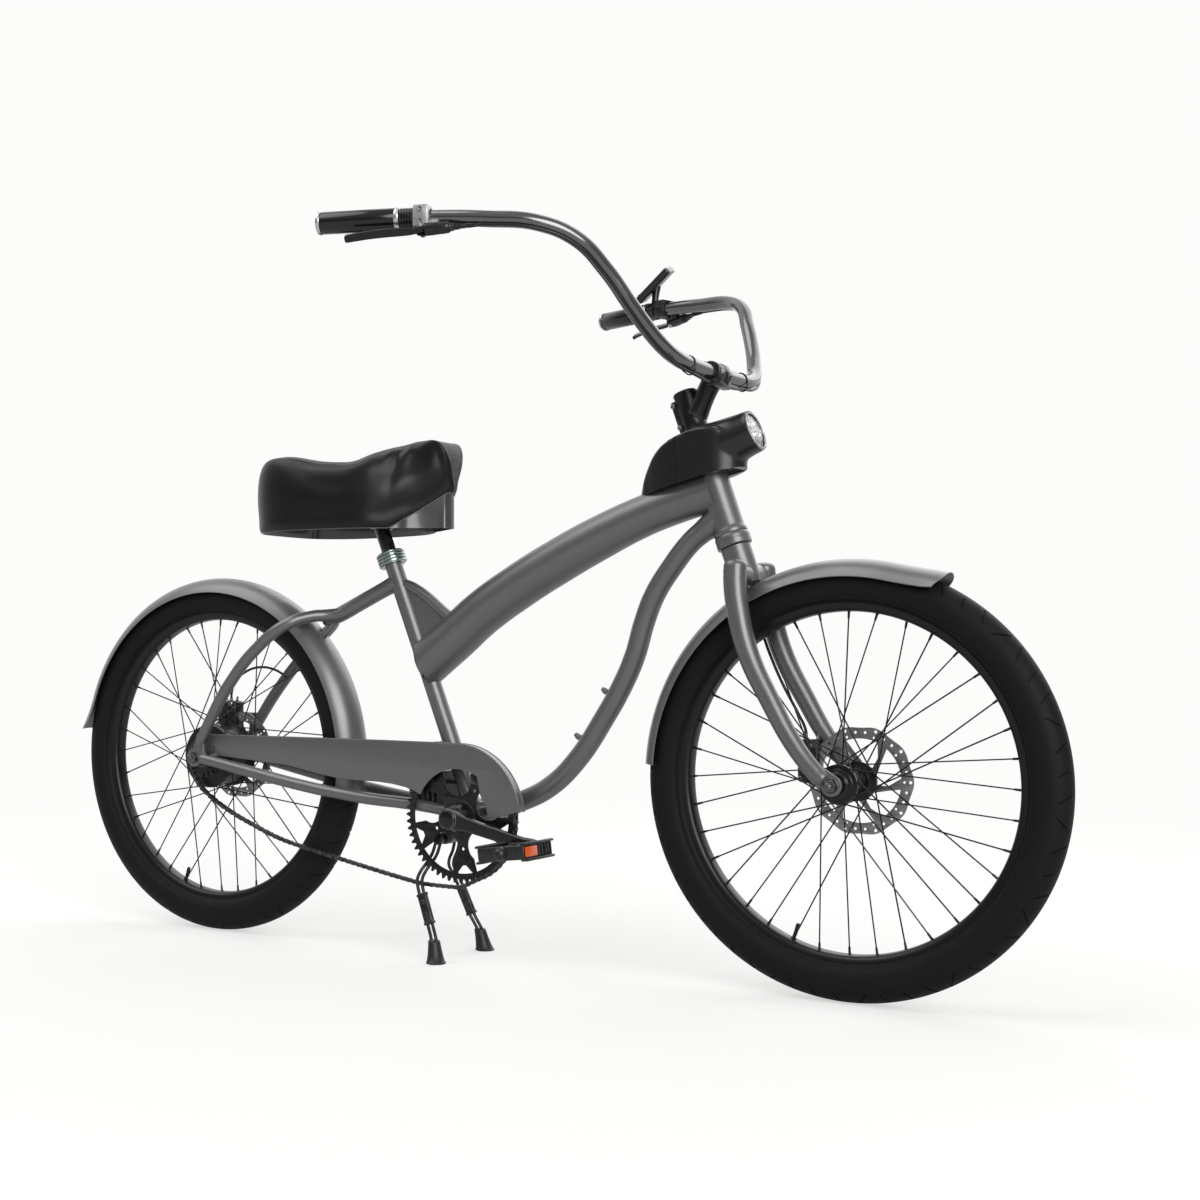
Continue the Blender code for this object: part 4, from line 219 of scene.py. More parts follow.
def clean(piece, gap=0.00002):
    """Merges the points that meet and turns every face outwards."""
    edit_all(piece)
    bpy.ops.mesh.remove_doubles(threshold=gap)
    bpy.ops.mesh.normals_make_consistent(inside=False)
    bpy.ops.object.mode_set(mode="OBJECT")
    return piece


def draw(name, lines, closed=True):
    """A mesh of bare edges along some lines of points, drawn as a curve and converted."""
    drawing = bpy.data.curves.new(name, "CURVE")
    drawing.dimensions = "3D"
    for line in lines:
        spline = drawing.splines.new("POLY")
        spline.points.add(len(line) - 1)
        for point, place in zip(spline.points, line):
            point.co = (*place, 1)
        spline.use_cyclic_u = closed
    piece = bpy.data.objects.new(name, drawing)
    scene.collection.objects.link(piece)
    take(piece)
    bpy.ops.object.convert(target="MESH")
    return bpy.context.object


def turned(name, profile, turns, centre=(0, 0, 0), axis=(0, 1, 0), side=(1, 0, 0), ring=False):
    """A turned piece: its profile of (radius, distance along the axis) spun all the way round."""
    along = Vector(axis).normalized()
    out = Vector(side) - along * along.dot(Vector(side))
    out.normalize()
    line = [Vector(centre) + out * radius + along * distance for radius, distance in profile]
    piece = draw(name, [line], closed=ring)
    edit_all(piece)
    bpy.ops.mesh.spin(steps=turns, angle=math.tau, center=centre, axis=along)
    bpy.ops.object.mode_set(mode="OBJECT")
    return clean(piece)


def copy_of(piece, name, move=(0, 0, 0), turn=None):
    """A copy with its own mesh, turned about the origin and then moved."""
    mesh = piece.data.copy()
    mesh.name = name
    if turn is not None:
        mesh.transform(turn)
    mesh.transform(Matrix.Translation(move))
    twin = bpy.data.objects.new(name, mesh)
    scene.collection.objects.link(twin)
    return twin


def join(name, *pieces):
    """One mesh of several pieces."""
    take(*pieces)
    if len(pieces) > 1:
        bpy.ops.object.join()
    whole = bpy.context.object
    whole.name = whole.data.name = name
    return whole


def fit(piece, body, slot, finish, nodes=(), crease=32, move=(0, 0, 0)):
    """Fits a finished piece: smooth shading, its finish, its body and the nodes it stands for."""
    piece.data.transform(Matrix.Translation(Vector(move) - Vector((HALF_LENGTH, 0, 0))))
    take(piece)
    if crease:
        bpy.ops.object.shade_smooth_by_angle(angle=math.radians(crease))
    piece.data.materials.clear()
    piece.data.materials.append(finish)
    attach(piece, body)
    if nodes:
        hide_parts(*nodes)
    return piece


def worn_surface():
    """The group that every finish uses: mottling, fine grain, uneven gloss and rubbed edges."""
    group = bpy.data.node_groups.new("worn_surface", "ShaderNodeTree")
    for socket, kind, value in (("Colour", "NodeSocketColor", (0.5, 0.5, 0.5, 1)),
            ("Rubbed Colour", "NodeSocketColor", (0.7, 0.7, 0.7, 1)), ("Mottle", "NodeSocketFloat", 0.1),
            ("Grain Scale", "NodeSocketFloat", 900.0), ("Roughness", "NodeSocketFloat", 0.4),
            ("Gloss Spread", "NodeSocketFloat", 0.08), ("Edge Wear", "NodeSocketFloat", 0.3)):
        made = group.interface.new_socket(socket, in_out="INPUT", socket_type=kind)
        made.default_value = value
    for socket, kind in (("Colour", "NodeSocketColor"), ("Roughness", "NodeSocketFloat"),
            ("Height", "NodeSocketFloat"), ("Wear", "NodeSocketFloat")):
        group.interface.new_socket(socket, in_out="OUTPUT", socket_type=kind)
    given = group.nodes.new("NodeGroupInput").outputs
    result = group.nodes.new("NodeGroupOutput")
    place = node(group, "TexCoord").outputs["Object"]

    def noise(scale, detail):
        return node(group, "TexNoise", {"Vector": place, "Scale": scale, "Detail": detail}).outputs["Fac"]

    def sum_of(*terms):
        return figure(group, *terms)

    smear = noise(95.0, 5.0)
    grain = noise(given["Grain Scale"], 3.0)
    uneven = sum_of("SUBTRACT", sum_of("ADD", noise(14.0, 4.0), smear), 1.0)
    tone = sum_of("ADD", sum_of("MULTIPLY", uneven, given["Mottle"]), 1.0)
    shaded = node(group, "VectorMath", {0: given["Colour"], "Scale": tone}, operation="SCALE").outputs[0]
    ridge = fade(group, node(group, "NewGeometry").outputs["Pointiness"], 0.515, 0.6)
    patch = sum_of("MULTIPLY", sum_of("SUBTRACT", smear, 0.3), 3.0, True)
    worn = sum_of("MULTIPLY", sum_of("MULTIPLY", ridge, patch), given["Edge Wear"], True)
    blend = node(group, "Mix", {"Factor": worn, 6: shaded, 7: given["Rubbed Colour"]},
        data_type="RGBA").outputs[2]
    rough = sum_of("ADD", sum_of("MULTIPLY", uneven, given["Gloss Spread"]), given["Roughness"])
    rough = sum_of("ADD", rough, sum_of("MULTIPLY", sum_of("SUBTRACT", grain, 0.5), 0.06), True)
    wire(group, result, {"Colour": blend, "Roughness": rough, "Height": grain, "Wear": worn})
    return group


WORN_SURFACE = worn_surface()


def surface(name, colour, roughness, metallic=0.0, rubbed=None, mottle=0.12, grain=900.0, gloss_spread=0.08,
        wear=0.3, bump=0.15, depth=0.0004, specular=0.5, coat=0.0, coat_roughness=0.2):
    """A finish made from the shared group, with its own colour, gloss, grain and wear."""
    finish = bpy.data.materials.new(name)
    finish.use_nodes = True
    tree = finish.node_tree
    group = node(tree, "Group",
        {"Colour": (*colour, 1), "Rubbed Colour": (*(rubbed or [min(1, c * 2.2 + 0.03) for c in colour]), 1),
        "Mottle": mottle, "Grain Scale": grain, "Roughness": roughness, "Gloss Spread": gloss_spread,
        "Edge Wear": wear}, name="worn", node_tree=WORN_SURFACE).outputs
    relief = node(tree, "Bump", {"Strength": bump, "Distance": depth, "Height": group["Height"]}, name="relief")
    wire(tree, tree.nodes["Principled BSDF"], {"Base Color": group["Colour"], "Roughness": group["Roughness"],
        "Normal": relief.outputs["Normal"], "Metallic": metallic, "Specular IOR Level": specular,
        "Coat Weight": coat, "Coat Roughness": coat_roughness})
    return finish


tyre_rubber = surface("tyre_rubber", (0.0085, 0.0085, 0.0088), 0.54, mottle=0.25, grain=1400.0, wear=0.12,
    bump=0.22, depth=0.0003, specular=0.13, rubbed=(0.045, 0.045, 0.046))

TYRE_MIDDLE = 0.3085
TYRE_RISE = 0.035
TYRE_WIDTH = 0.033
half_section = []
for step in range(61):
    angle = math.radians(90 * step / 60)
    half_section.append((TYRE_MIDDLE + TYRE_RISE * math.cos(angle) ** 0.94,
        TYRE_WIDTH * math.sin(angle) ** 0.97))
for step in range(1, 31):
    angle = math.radians(90 * step / 30)
    half_section.append((TYRE_MIDDLE - 0.024 * math.sin(angle), 0.018 + 0.015 * math.cos(angle) ** 0.85))
runs = [0.0]
for before, after in zip(half_section, half_section[1:]):
    runs.append(runs[-1] + math.dist(before, after))


def tyre_section(run):
    """The tyre's radius and half width at a distance along its skin from the crown."""
    for number in range(1, len(runs)):
        if runs[number] >= run:
            share = (run - runs[number - 1]) / (runs[number] - runs[number - 1])
            low, high = half_section[number - 1], half_section[number]
            return low[0] + (high[0] - low[0]) * share, low[1] + (high[1] - low[1]) * share
    return half_section[-1]


SKIN_ROWS = [0.0, 0.0035, 0.0065] + [0.0085 + 0.00195 * step for step in range(15)]
SKIN_ROWS += [0.0385, 0.042, 0.046, 0.05, 0.0545, 0.059, 0.0635, 0.068, 0.0715]
SKIN_ROWS += [0.0735, 0.0742, 0.0755, 0.0762, runs[-1] - 0.001]
BEAD_LINE = (0.0742, 0.0755)
SLITS = 56
SLIT_PITCH = math.tau * WHEEL_RADIUS / SLITS
SLIT_COLUMNS = [-0.002, -0.0014, 0.0, 0.0014, 0.002, 0.006, 0.0108, 0.0156, 0.0204, 0.0252, 0.03, 0.0343]
SLIT_DEPTH = 0.0019
SLIT_KINDS = [(-0.6, 0.0068, 0.0325), (-0.45, 0.0145, 0.0345), (-0.62, 0.0068, 0.033), (0.85, 0.009, 0.035)]

right_side = [tyre_section(run) for run in SKIN_ROWS]
profile = [(radius, -width) for radius, width in reversed(right_side)] + right_side[1:]
profile += mm([(281.6, 17.2), (281.2, 11.7), (334, 18), (334, -18), (281.2, -11.7), (281.6, -17.2)])
COLUMNS = SLITS * len(SLIT_COLUMNS)
tyre = turned("tyre", profile, COLUMNS, ring=True)


def slit_lean(number, run):
    """How far round the wheel a slit's middle line is from its own column at this row."""
    lean, start, end = SLIT_KINDS[number % len(SLIT_KINDS)]
    share = unit((run - 0.0085) / 0.0273)
    return lean * 0.0235 * (share ** 1.5) - lean * 0.01


for point in tyre.data.vertices:
    radius, width = math.hypot(point.co.x, point.co.z), point.co.y
    if radius < 0.283 or (abs(radius - 0.334) < 0.0002 and abs(abs(width) - 0.018) < 0.0002):
        continue
    row = min(range(len(right_side)), key=lambda n: abs(right_side[n][0] - radius)
        + abs(right_side[n][1] - abs(width)))
    run = SKIN_ROWS[row]
    column = round(math.atan2(point.co.z, point.co.x) / math.tau * COLUMNS) % COLUMNS
    slit, place = divmod(column, len(SLIT_COLUMNS))
    offset = SLIT_COLUMNS[place]
    calm = unit(1 - (run - 0.036) / 0.018) * unit(run / 0.0085)
    share = unit((offset - 0.002) / 0.0325)
    shift = slit_lean(slit, run) * (1 - share) + slit_lean(slit + 1, run) * share
    half_pitch = 0.25 * SLIT_PITCH * max(-1.0, min(1.0, width / 0.0085))
    angle = (slit * SLIT_PITCH + offset + shift * calm + half_pitch) / WHEEL_RADIUS
    lean, start, end = SLIT_KINDS[slit % len(SLIT_KINDS)]
    depth = 0.0
    if abs(offset) < 0.0015 and start <= run <= end:
        depth = SLIT_DEPTH * min(1.0, (run - start) / 0.002 + 0.35, (end - run) / 0.003 + 0.25)
    if BEAD_LINE[0] <= run <= BEAD_LINE[1]:
        depth = -0.0007
    deep_radius = radius + (TYRE_MIDDLE - radius) * depth / 0.034
    deep_width = width * (1 - depth / 0.034)
    point.co = (deep_radius * math.cos(angle), deep_width, deep_radius * math.sin(angle))

for end_name, hub in (("rear", REAR_HUB), ("front", FRONT_HUB)):
    fit(copy_of(tyre, end_name + "_tyre_moulded", hub), end_name + "_wheel", "tyre_rubber", tyre_rubber,
        [end_name + "_tyre"], crease=38)
bpy.data.objects.remove(tyre)

# The rims are double-walled black aluminium hoops, rolled from an extruded section with
# hooked edges that hold the tyre beads. Thirty-six brass nipples in black and one valve stand
# in each. The spokes pull the nipples tight against the rim's inner wall.
rim_black = surface("rim_black", (0.0075, 0.0075, 0.0078), 0.3, metallic=0.25, mottle=0.15, grain=1200.0,
    wear=0.25, bump=0.06, specular=0.4)
RIM_SECTION = mm([(286.8, 16), (287.2, 16.8), (287, 17.8), (286.2, 18.4), (285, 18.4), (283.2, 17.7),
    (279, 17.1), (274.8, 16), (271.6, 14), (269.7, 11.2), (268.8, 7.6), (268.5, 3.8), (268.4, 0)])
RIM_CHANNEL = mm([(273.2, 0), (273.4, 7), (274.5, 9.5), (280.9, 15), (285, 15.3)])
profile = RIM_SECTION + [(r, -w) for r, w in reversed(RIM_SECTION[:-1])]
profile += [(r, -w) for r, w in reversed(RIM_CHANNEL)] + RIM_CHANNEL[1:]
rim = turned("rim", profile, 240, ring=True)

SPOKE_LEAN = math.radians(60)
SPOKE_SIDE = 18
NIPPLE_IN = 0.0118


def spoke_ends(hole_radius, flange_right, flange_left):
    """Each spoke's hole, its end at the rim and its side, as they are laced in the wheel."""
    for side, flange in ((-1, flange_right), (1, flange_left)):
        for number in range(SPOKE_SIDE):
            lean = 1 if number % 2 == 0 else -1
            hub_angle = math.tau * (number + (0.5 if side > 0 else 0)) / SPOKE_SIDE
            rim_angle = hub_angle + lean * SPOKE_LEAN
            out = Vector((math.cos(rim_angle), 0, math.sin(rim_angle)))
            hole = Vector((math.cos(hub_angle), 0, math.sin(hub_angle))) * hole_radius
            hole.y = flange
            yield hole, out * 0.2684 + Vector((0, side * (0.0044 if lean > 0 else 0.001), 0)), side, lean


NIPPLE = [(0.0, 0.0012), (0.003, 0.0012), (0.0033, 0.0), (0.0024, -0.0006), (0.0021, -0.0012),
    (0.0019, -0.0092), (0.0016, -0.0112), (0.001, -NIPPLE_IN), (0.0, -NIPPLE_IN)]
nipple = turned("nipple", NIPPLE, 10, axis=(0, 0, 1))
VALVE = mm([(0, 0), (4.5, 0), (4.5, -2.2), (3.1, -2.8), (3.1, -16), (3.6, -16.2), (3.6, -24), (3, -26.2),
    (0, -26.8)])
VALVE_ANGLE = math.radians(250)
for end_name, hub, hole_radius, flanges in (("rear", REAR_HUB, 0.06, (-0.0318, 0.0318)),
        ("front", FRONT_HUB, 0.029, (-0.0435, 0.04))):
    made = [copy_of(rim, "rim_hoop")]
    for hole, tip, side, lean in spoke_ends(hole_radius, *flanges):
        turn = (tip - hole).to_track_quat("Z", "X").to_matrix().to_4x4()
        made.append(copy_of(nipple, "nipple_copy", tip, turn))
    valve_out = Vector((math.cos(VALVE_ANGLE), 0, math.sin(VALVE_ANGLE)))
    made.append(turned("valve", VALVE, 16, valve_out * 0.2688, valve_out, side=(0, 1, 0)))
    fit(join(end_name + "_rim_rolled", *made), end_name + "_wheel", "black_alloy", rim_black,
        [end_name + "_rim"], move=hub)
bpy.data.objects.remove(rim)
bpy.data.objects.remove(nipple)

# The front hub is a small turned aluminium shell, and the rear one is a geared hub motor in
# a cast shell. Both are black, run on sealed bearings and have a seat for a brake rotor on
# the left. Butted black spokes hook into their flanges by a bent end with a flat head.
hub_black = surface("hub_black", (0.0075, 0.0075, 0.0078), 0.26, metallic=0.35, mottle=0.12, grain=1100.0,
    wear=0.45, bump=0.06, specular=0.5, rubbed=(0.1, 0.1, 0.105))
motor_black = surface("motor_black", (0.0095, 0.0095, 0.01), 0.36, metallic=0.3, mottle=0.14, grain=700.0,
    wear=0.4, bump=0.15, specular=0.45, rubbed=(0.11, 0.11, 0.115))
spoke_black = surface("spoke_black", (0.0065, 0.0065, 0.0068), 0.28, metallic=0.3, mottle=0.1, grain=1500.0,
    wear=0.1, bump=0.04, specular=0.4)


def tube(name, points, radii, sides=4, smooth=6, closed=False, caps=True):
    """A round bar or tube along some points, drawn as a bevelled curve and converted."""
    if isinstance(radii, (int, float)):
        radii = [radii] * len(points)
    drawing = bpy.data.curves.new(name, "CURVE")
    drawing.dimensions = "3D"
    drawing.bevel_depth = 1.0
    drawing.bevel_resolution = sides
    drawing.use_fill_caps = caps
    drawing.resolution_u = max(1, smooth)
    spline = drawing.splines.new("BEZIER" if smooth else "POLY")
    spline.use_cyclic_u = closed
    spline.radius_interpolation = "CARDINAL" if smooth else "LINEAR"
    bends = spline.bezier_points if smooth else spline.points
    bends.add(len(points) - 1)
    for bend, place, radius in zip(bends, points, radii):
        bend.radius = radius
        if smooth:
            bend.co = place
            bend.handle_left_type = bend.handle_right_type = "AUTO"
        else:
            bend.co = (*place, 1)
    piece = bpy.data.objects.new(name, drawing)
    scene.collection.objects.link(piece)
    take(piece)
    bpy.ops.object.convert(target="MESH")
    return clean(bpy.context.object)


def mirrored(profile):
    """A profile and its other half, for a piece that is the same on both sides."""
    return profile + [(radius, -distance) for radius, distance in reversed(profile)]


FRONT_SHELL = mm([(5.4, 61.5), (11, 61.5), (12, 61), (12.2, 57.5), (16.5, 57), (18, 56), (18, 53.2), (23, 52.8),
    (23.5, 52), (23.5, 50.8), (23, 50), (22.2, 47), (22.5, 44.8), (30, 43), (31.5, 42.2), (31.5, 38),
    (30.6, 37), (24, 36), (19.8, 34), (18.6, 31), (18.2, 20), (17.6, 19), (17.2, 10), (17, 0), (17.2, -15),
    (18, -29), (18.6, -35), (20, -38.5), (30, -40.2), (31.5, -41.2), (31.5, -45.8), (30.6, -46.6),
    (24.5, -47.6), (22.8, -49), (22.2, -50), (23, -50.8), (23, -52.8), (20.5, -53.5), (20, -55), (20.5, -56),
    (17.5, -59), (16.8, -59.8), (14, -60), (13.6, -61.2), (11, -61.5), (5.4, -61.5)])
MOTOR_SHELL = mm([(6.4, 59), (13.5, 59), (14, 57.2), (17.5, 57), (18, 56), (18, 54.8), (23, 54.3), (23.5, 53.3),
    (23.6, 44), (24.5, 40.5), (30, 39.2), (32.5, 39.6), (34, 38.6), (44, 37.2), (50, 35.8), (56, 35.2),
    (60, 35), (61.5, 34.2), (61.5, 29.4), (60.6, 28.6), (57.5, 28), (56.2, 26.8), (56, 25), (56.6, 24.5),
    (56.6, 20.5), (56, 20), (56, -20), (56.6, -20.5), (56.6, -24.5), (56, -25), (56.2, -26.8), (57.5, -28),
    (60.6, -28.6), (61.5, -29.4), (61.5, -34.2), (60, -35), (56, -35.2), (50, -35.8), (40, -36.6), (38, -37.6),
    (34, -38), (25, -39), (21.5, -39.2), (16.5, -39.4), (16.5, -56), (13.5, -56.5), (13, -59), (6.4, -59)])
SPOKE_RADIUS = 0.00125
SPOKE_STEP = 0.0026
for end_name, hub, shell, hole_radius, flanges, finish, slot_name, cad_node in (
        ("rear", REAR_HUB, MOTOR_SHELL, 0.059, (-0.0318, 0.0318), motor_black, "motor_alloy", "rear_hub_motor"),
        ("front", FRONT_HUB, FRONT_SHELL, 0.0286, (-0.0435, 0.04), hub_black, "black_alloy", "front_hub")):
    fit(turned(end_name + "_hub_shell", shell, 96, ring=True), end_name + "_wheel", slot_name, finish,
        [cad_node], crease=28, move=hub)
    spokes = []
    for hole, tip, side, lean in spoke_ends(hole_radius, *flanges):
        outboard = Vector((0, side * lean * SPOKE_STEP, 0))
        straight = (tip - hole - outboard).normalized()
        tip_in = tip - straight * (NIPPLE_IN - 0.002)
        spokes.append(tube("spoke", [hole - outboard * 0.95, hole + outboard * 0.7,
            hole + outboard + straight * 0.0022, hole + outboard + straight * 0.02, tip_in],
            [SPOKE_RADIUS * 1.1, SPOKE_RADIUS * 1.1, SPOKE_RADIUS * 1.1, SPOKE_RADIUS, SPOKE_RADIUS], sides=1,
            smooth=3))
        head = mm([(0, -0.7), (1.6, -0.6), (2.1, 0), (2.1, 0.6), (0, 0.6)])
        spokes.append(turned("spoke_head", head, 10, hole - outboard * 0.95, (0, -side * lean, 0)))
    fit(join(end_name + "_spokes_laced", *spokes), end_name + "_wheel", slot_name, spoke_black, [cad_node],
        move=hub)

# The brake rotors are stamped from stainless sheet: a waved track drilled with holes in pairs,
# carried on six swept arms, with a ground finish that runs round the disc. Each is bolted to
# the left of its hub with six small bolts.
rotor_steel = surface("rotor_steel", (0.3, 0.3, 0.3), 0.36, metallic=0.85, mottle=0.1, grain=2400.0, wear=0.2,
    bump=0.05, gloss_spread=0.12)


def ring_grind(finish, hubs):
    """Fine ground lines round each hub's centre, added to a finish's relief."""
    tree = finish.node_tree
    place = node(tree, "TexCoord").outputs["Object"]
    rings = []
    for hub in hubs:
        centred = node(tree, "Mapping", {"Location": (HALF_LENGTH - hub.x, 0, -hub.z),
            "Vector": place}).outputs[0]
        waves = {"Scale": 260.0, "Distortion": 1.5, "Detail": 3.0, "Vector": centred}
        rings.append(node(tree, "TexWave", waves, wave_type="RINGS", rings_direction="Y").outputs["Fac"])
    ahead = figure(tree, "GREATER_THAN", node(tree, "SeparateXYZ", {0: place}).outputs["X"], 0.0)
    both = node(tree, "Mix", {"Factor": ahead, 2: rings[0], 3: rings[1]}).outputs[0]
    wire(tree, tree.nodes["relief"], {"Height": figure(tree, "ADD", tree.nodes["worn"].outputs["Height"],
        both)})


ring_grind(rotor_steel, (REAR_HUB, FRONT_HUB))
UPRIGHT = Matrix(((1, 0, 0, 0), (0, 0, -1, 0), (0, 1, 0, 0), (0, 0, 0, 1)))


def arc(centre, radius, start, end, count):
    """Points along an arc, by its centre, radius and two angles in degrees."""
    points = []
    for step in range(count + 1):
        angle = math.radians(start + (end - start) * step / count)
        points.append((centre[0] + radius * math.cos(angle), centre[1] + radius * math.sin(angle)))
    return points


def circle(centre, radius, count=24):
    return arc(centre, radius, 0, 360, count)[:-1]


def plate(name, outlines, half, depth=0.0, round_over=0.0, stand=UPRIGHT):
    """A flat plate cut to an outline with holes, its edges rounded over, stood upright at a depth."""
    drawing = bpy.data.curves.new(name, "CURVE")
    drawing.dimensions = "2D"
    drawing.fill_mode = "BOTH"
    drawing.extrude = half - round_over
    drawing.bevel_depth = round_over
    drawing.bevel_resolution = 2
    drawing.offset = -round_over
    for outline in outlines:
        spline = drawing.splines.new("POLY")
        spline.points.add(len(outline) - 1)
        for point, place in zip(spline.points, outline):
            point.co = (*place, 0, 1)
        spline.use_cyclic_u = True
    piece = bpy.data.objects.new(name, drawing)
    scene.collection.objects.link(piece)
    take(piece)
    bpy.ops.object.convert(target="MESH")
    piece = bpy.context.object
    piece.data.transform(Matrix.Translation((0, depth, 0)) @ stand)
    return clean(piece, 0.00001)


WAVES = 10
edge = []
for step in range(240):
    angle = math.tau * step / 240
    radius = 0.0875 - 0.003 * (1 - math.cos(WAVES * angle)) / 2
    edge.append((radius * math.cos(angle), radius * math.sin(angle)))
holes = [circle((0, 0), 0.019, 48)]
for arm in range(6):
    turn = 60.0 * arm
    outer = arc((0, 0), 0.0672, turn + 5, turn + 50, 14)
    inner = arc((0, 0), 0.0285, turn + 19, turn - 14, 8)
    side_out = [(0.047 * math.cos(math.radians(turn + 42)), 0.047 * math.sin(math.radians(turn + 42)))]
    side_in = [(0.047 * math.cos(math.radians(turn - 8)), 0.047 * math.sin(math.radians(turn - 8)))]
    holes.append(outer + side_out + inner + side_in)
for wave in range(WAVES):
    for turn, reach, size in ((0, 0.0822, 0.0026), (12, 0.0772, 0.0023), (-12, 0.0772, 0.0023),
            (0, 0.0722, 0.002)):
        angle = math.radians(36.0 * wave + turn)
        holes.append(circle((reach * math.cos(angle), reach * math.sin(angle)), size, 14))
disc = plate("rotor", [edge] + holes, 0.0009, round_over=0.0002)
BOLT = mm([(0, 2.2), (1.4, 2.2), (1.8, 1.4), (3.6, 1.9), (4.2, 1.2), (4.4, 0), (4.4, -0.4), (0, -0.4)])
bolts = []
for number in range(6):
    angle = math.radians(60 * number + 30)
    bolts.append(turned("rotor_bolt", BOLT, 12, (0.0225 * math.cos(angle), 0.0007, 0.0225 * math.sin(angle))))
rotor = join("rotor", disc, *bolts)
for end_name, hub, seat in (("rear", REAR_HUB, 0.0545), ("front", FRONT_HUB, 0.052)):
    fit(copy_of(rotor, end_name + "_rotor_stamped"), end_name + "_wheel", "rotor_steel", rotor_steel,
        [end_name + "_rotor"], crease=30, move=hub + Vector((0, seat, 0)))
bpy.data.objects.remove(rotor)

# The axles are threaded steel bars, zinc plated and blackened, that stay with the frame and
# the fork. Each carries a cone nut inside the dropout, a serrated washer and a domed nut
# outside it. The nuts clamp the dropouts.
axle_steel = surface("axle_steel", (0.06, 0.06, 0.062), 0.34, metallic=0.8, mottle=0.15, grain=1500.0, wear=0.7,
    bump=0.1, rubbed=(0.35, 0.35, 0.35))
NUT = mm([(0, 12.8), (4.8, 12.6), (6.6, 11.2), (7.8, 8.8), (9, 8.4), (10.2, 6.8), (10.4, 1.6), (9.8, 0.9),
    (0, 0.9)])
WASHER = mm([(0, 1.4), (11.6, 1.4), (12.2, 1), (12.2, 0.2), (11.8, 0), (0, 0)])
for end_name, hub, radius, hub_end, tip, body in (("rear", REAR_HUB, 0.006, 0.059, 0.0935, "frame"),
        ("front", FRONT_HUB, 0.005, 0.0615, 0.0945, "steering")):
    bar = [(0.0, -0.07), (radius, -0.07), (radius, 0.07), (0.0, 0.07)]
    made = [turned("axle_bar", bar, 24, hub)]
    for side in (-1, 1):
        cone = [(0.0, hub_end + 0.0006), (0.0085, hub_end + 0.0006), (0.0095, hub_end + 0.0016),
            (0.0095, 0.0692), (0.0088, 0.0698), (0.0, 0.0698)]
        threads = [(0.0, tip), (radius * 0.72, tip), (radius, tip - 0.0012)]
        for turn_number in range(7):
            threads += [(radius, tip - 0.0014 - 0.001 * turn_number),
                (radius * 0.86, tip - 0.0019 - 0.001 * turn_number)]
        threads += [(radius, 0.078), (0.0, 0.078)]
        made.append(turned("cone_nut", cone, 6, hub, (0, side, 0)))
        made.append(turned("axle_thread", threads, 20, hub, (0, side, 0)))
        made.append(turned("washer", WASHER, 32, hub + Vector((0, side * 0.078, 0)), (0, side, 0)))
        made.append(turned("axle_nut", NUT, 6, hub + Vector((0, side * 0.0785, 0)), (0, side, 0),
            side=(0.3, 0, 1)))
    fit(join(end_name + "_axle_set", *made), body, "bolt_steel", axle_steel, [end_name + "_axle"], crease=30)

# The frame is welded from aluminium tube and sprayed in a satin metallic grey. The big curved
# top tube holds the battery, and the down tube, seat tube and stays are drawn and bent to
# flowing curves. The welds are filed smooth, so that each joint runs out in a small fillet.
frame_grey = surface("frame_grey", (0.152, 0.154, 0.157), 0.36, metallic=0.55, mottle=0.1, grain=2600.0,
    gloss_spread=0.06, wear=0.22, bump=0.06, depth=0.0002, specular=0.5, coat=0.35, coat_roughness=0.28,
    rubbed=(0.26, 0.26, 0.265))
SIDES = {"right": -1, "left": 1}
HEAD_TILT = math.radians(19.4)
HEAD_POINT = Vector((1.0838, 0, 0.7865))
HEAD_UP = Vector((-math.sin(HEAD_TILT), 0, math.cos(HEAD_TILT)))
HEAD_FORWARD = Vector((math.cos(HEAD_TILT), 0, math.sin(HEAD_TILT)))
BRACKET = Vector((0.603, 0, 0.2565))
SEAT_TOP = Vector((0.4185, 0, 0.7195))
SEAT_UP = (SEAT_TOP - BRACKET).normalized()
SEAT_FORWARD = Vector((SEAT_UP.z, 0, -SEAT_UP.x))


def cut_through(piece, spot, normal, round_over=0.0):
    """Cuts a piece through along a plane, throws away what is behind it and closes the cut."""
    edit_all(piece)
    bpy.ops.mesh.bisect(plane_co=spot, plane_no=normal, use_fill=True, clear_inner=True)
    if round_over:
        bpy.ops.mesh.region_to_loop()
        bpy.ops.mesh.bevel(offset=round_over, segments=4, profile=0.5)
    bpy.ops.object.mode_set(mode="OBJECT")
    return clean(piece)


def shaped(cutter_kind, piece, *cutters):
    """Cuts other shapes out of a piece, or joins them to it, and applies the result."""
    for cutter in cutters:
        step = piece.modifiers.new("shape", "BOOLEAN")
        step.operation = cutter_kind
        step.solver = "EXACT"
        step.object = cutter
        applied(piece)
        bpy.data.objects.remove(cutter)
    return piece


HEAD_TUBE = mm([(15, 115), (26.2, 115), (27, 114.2), (27, 106.2), (26.4, 105.6), (26.4, 103.6), (27.6, 103),
    (27.8, 102.2), (27.8, 95.5), (27.2, 93.5), (25.8, 90.5), (25.5, 87), (25.5, -36), (25.8, -39.5),
    (27.2, -42.5), (27.8, -44.5), (27.8, -49), (27.4, -50), (15, -50)])
fit(turned("head_tube_turned", HEAD_TUBE, 72, HEAD_POINT, HEAD_UP, side=(0, 1, 0), ring=True), "frame",
    "frame_grey", frame_grey, ["head_tube"], crease=30)

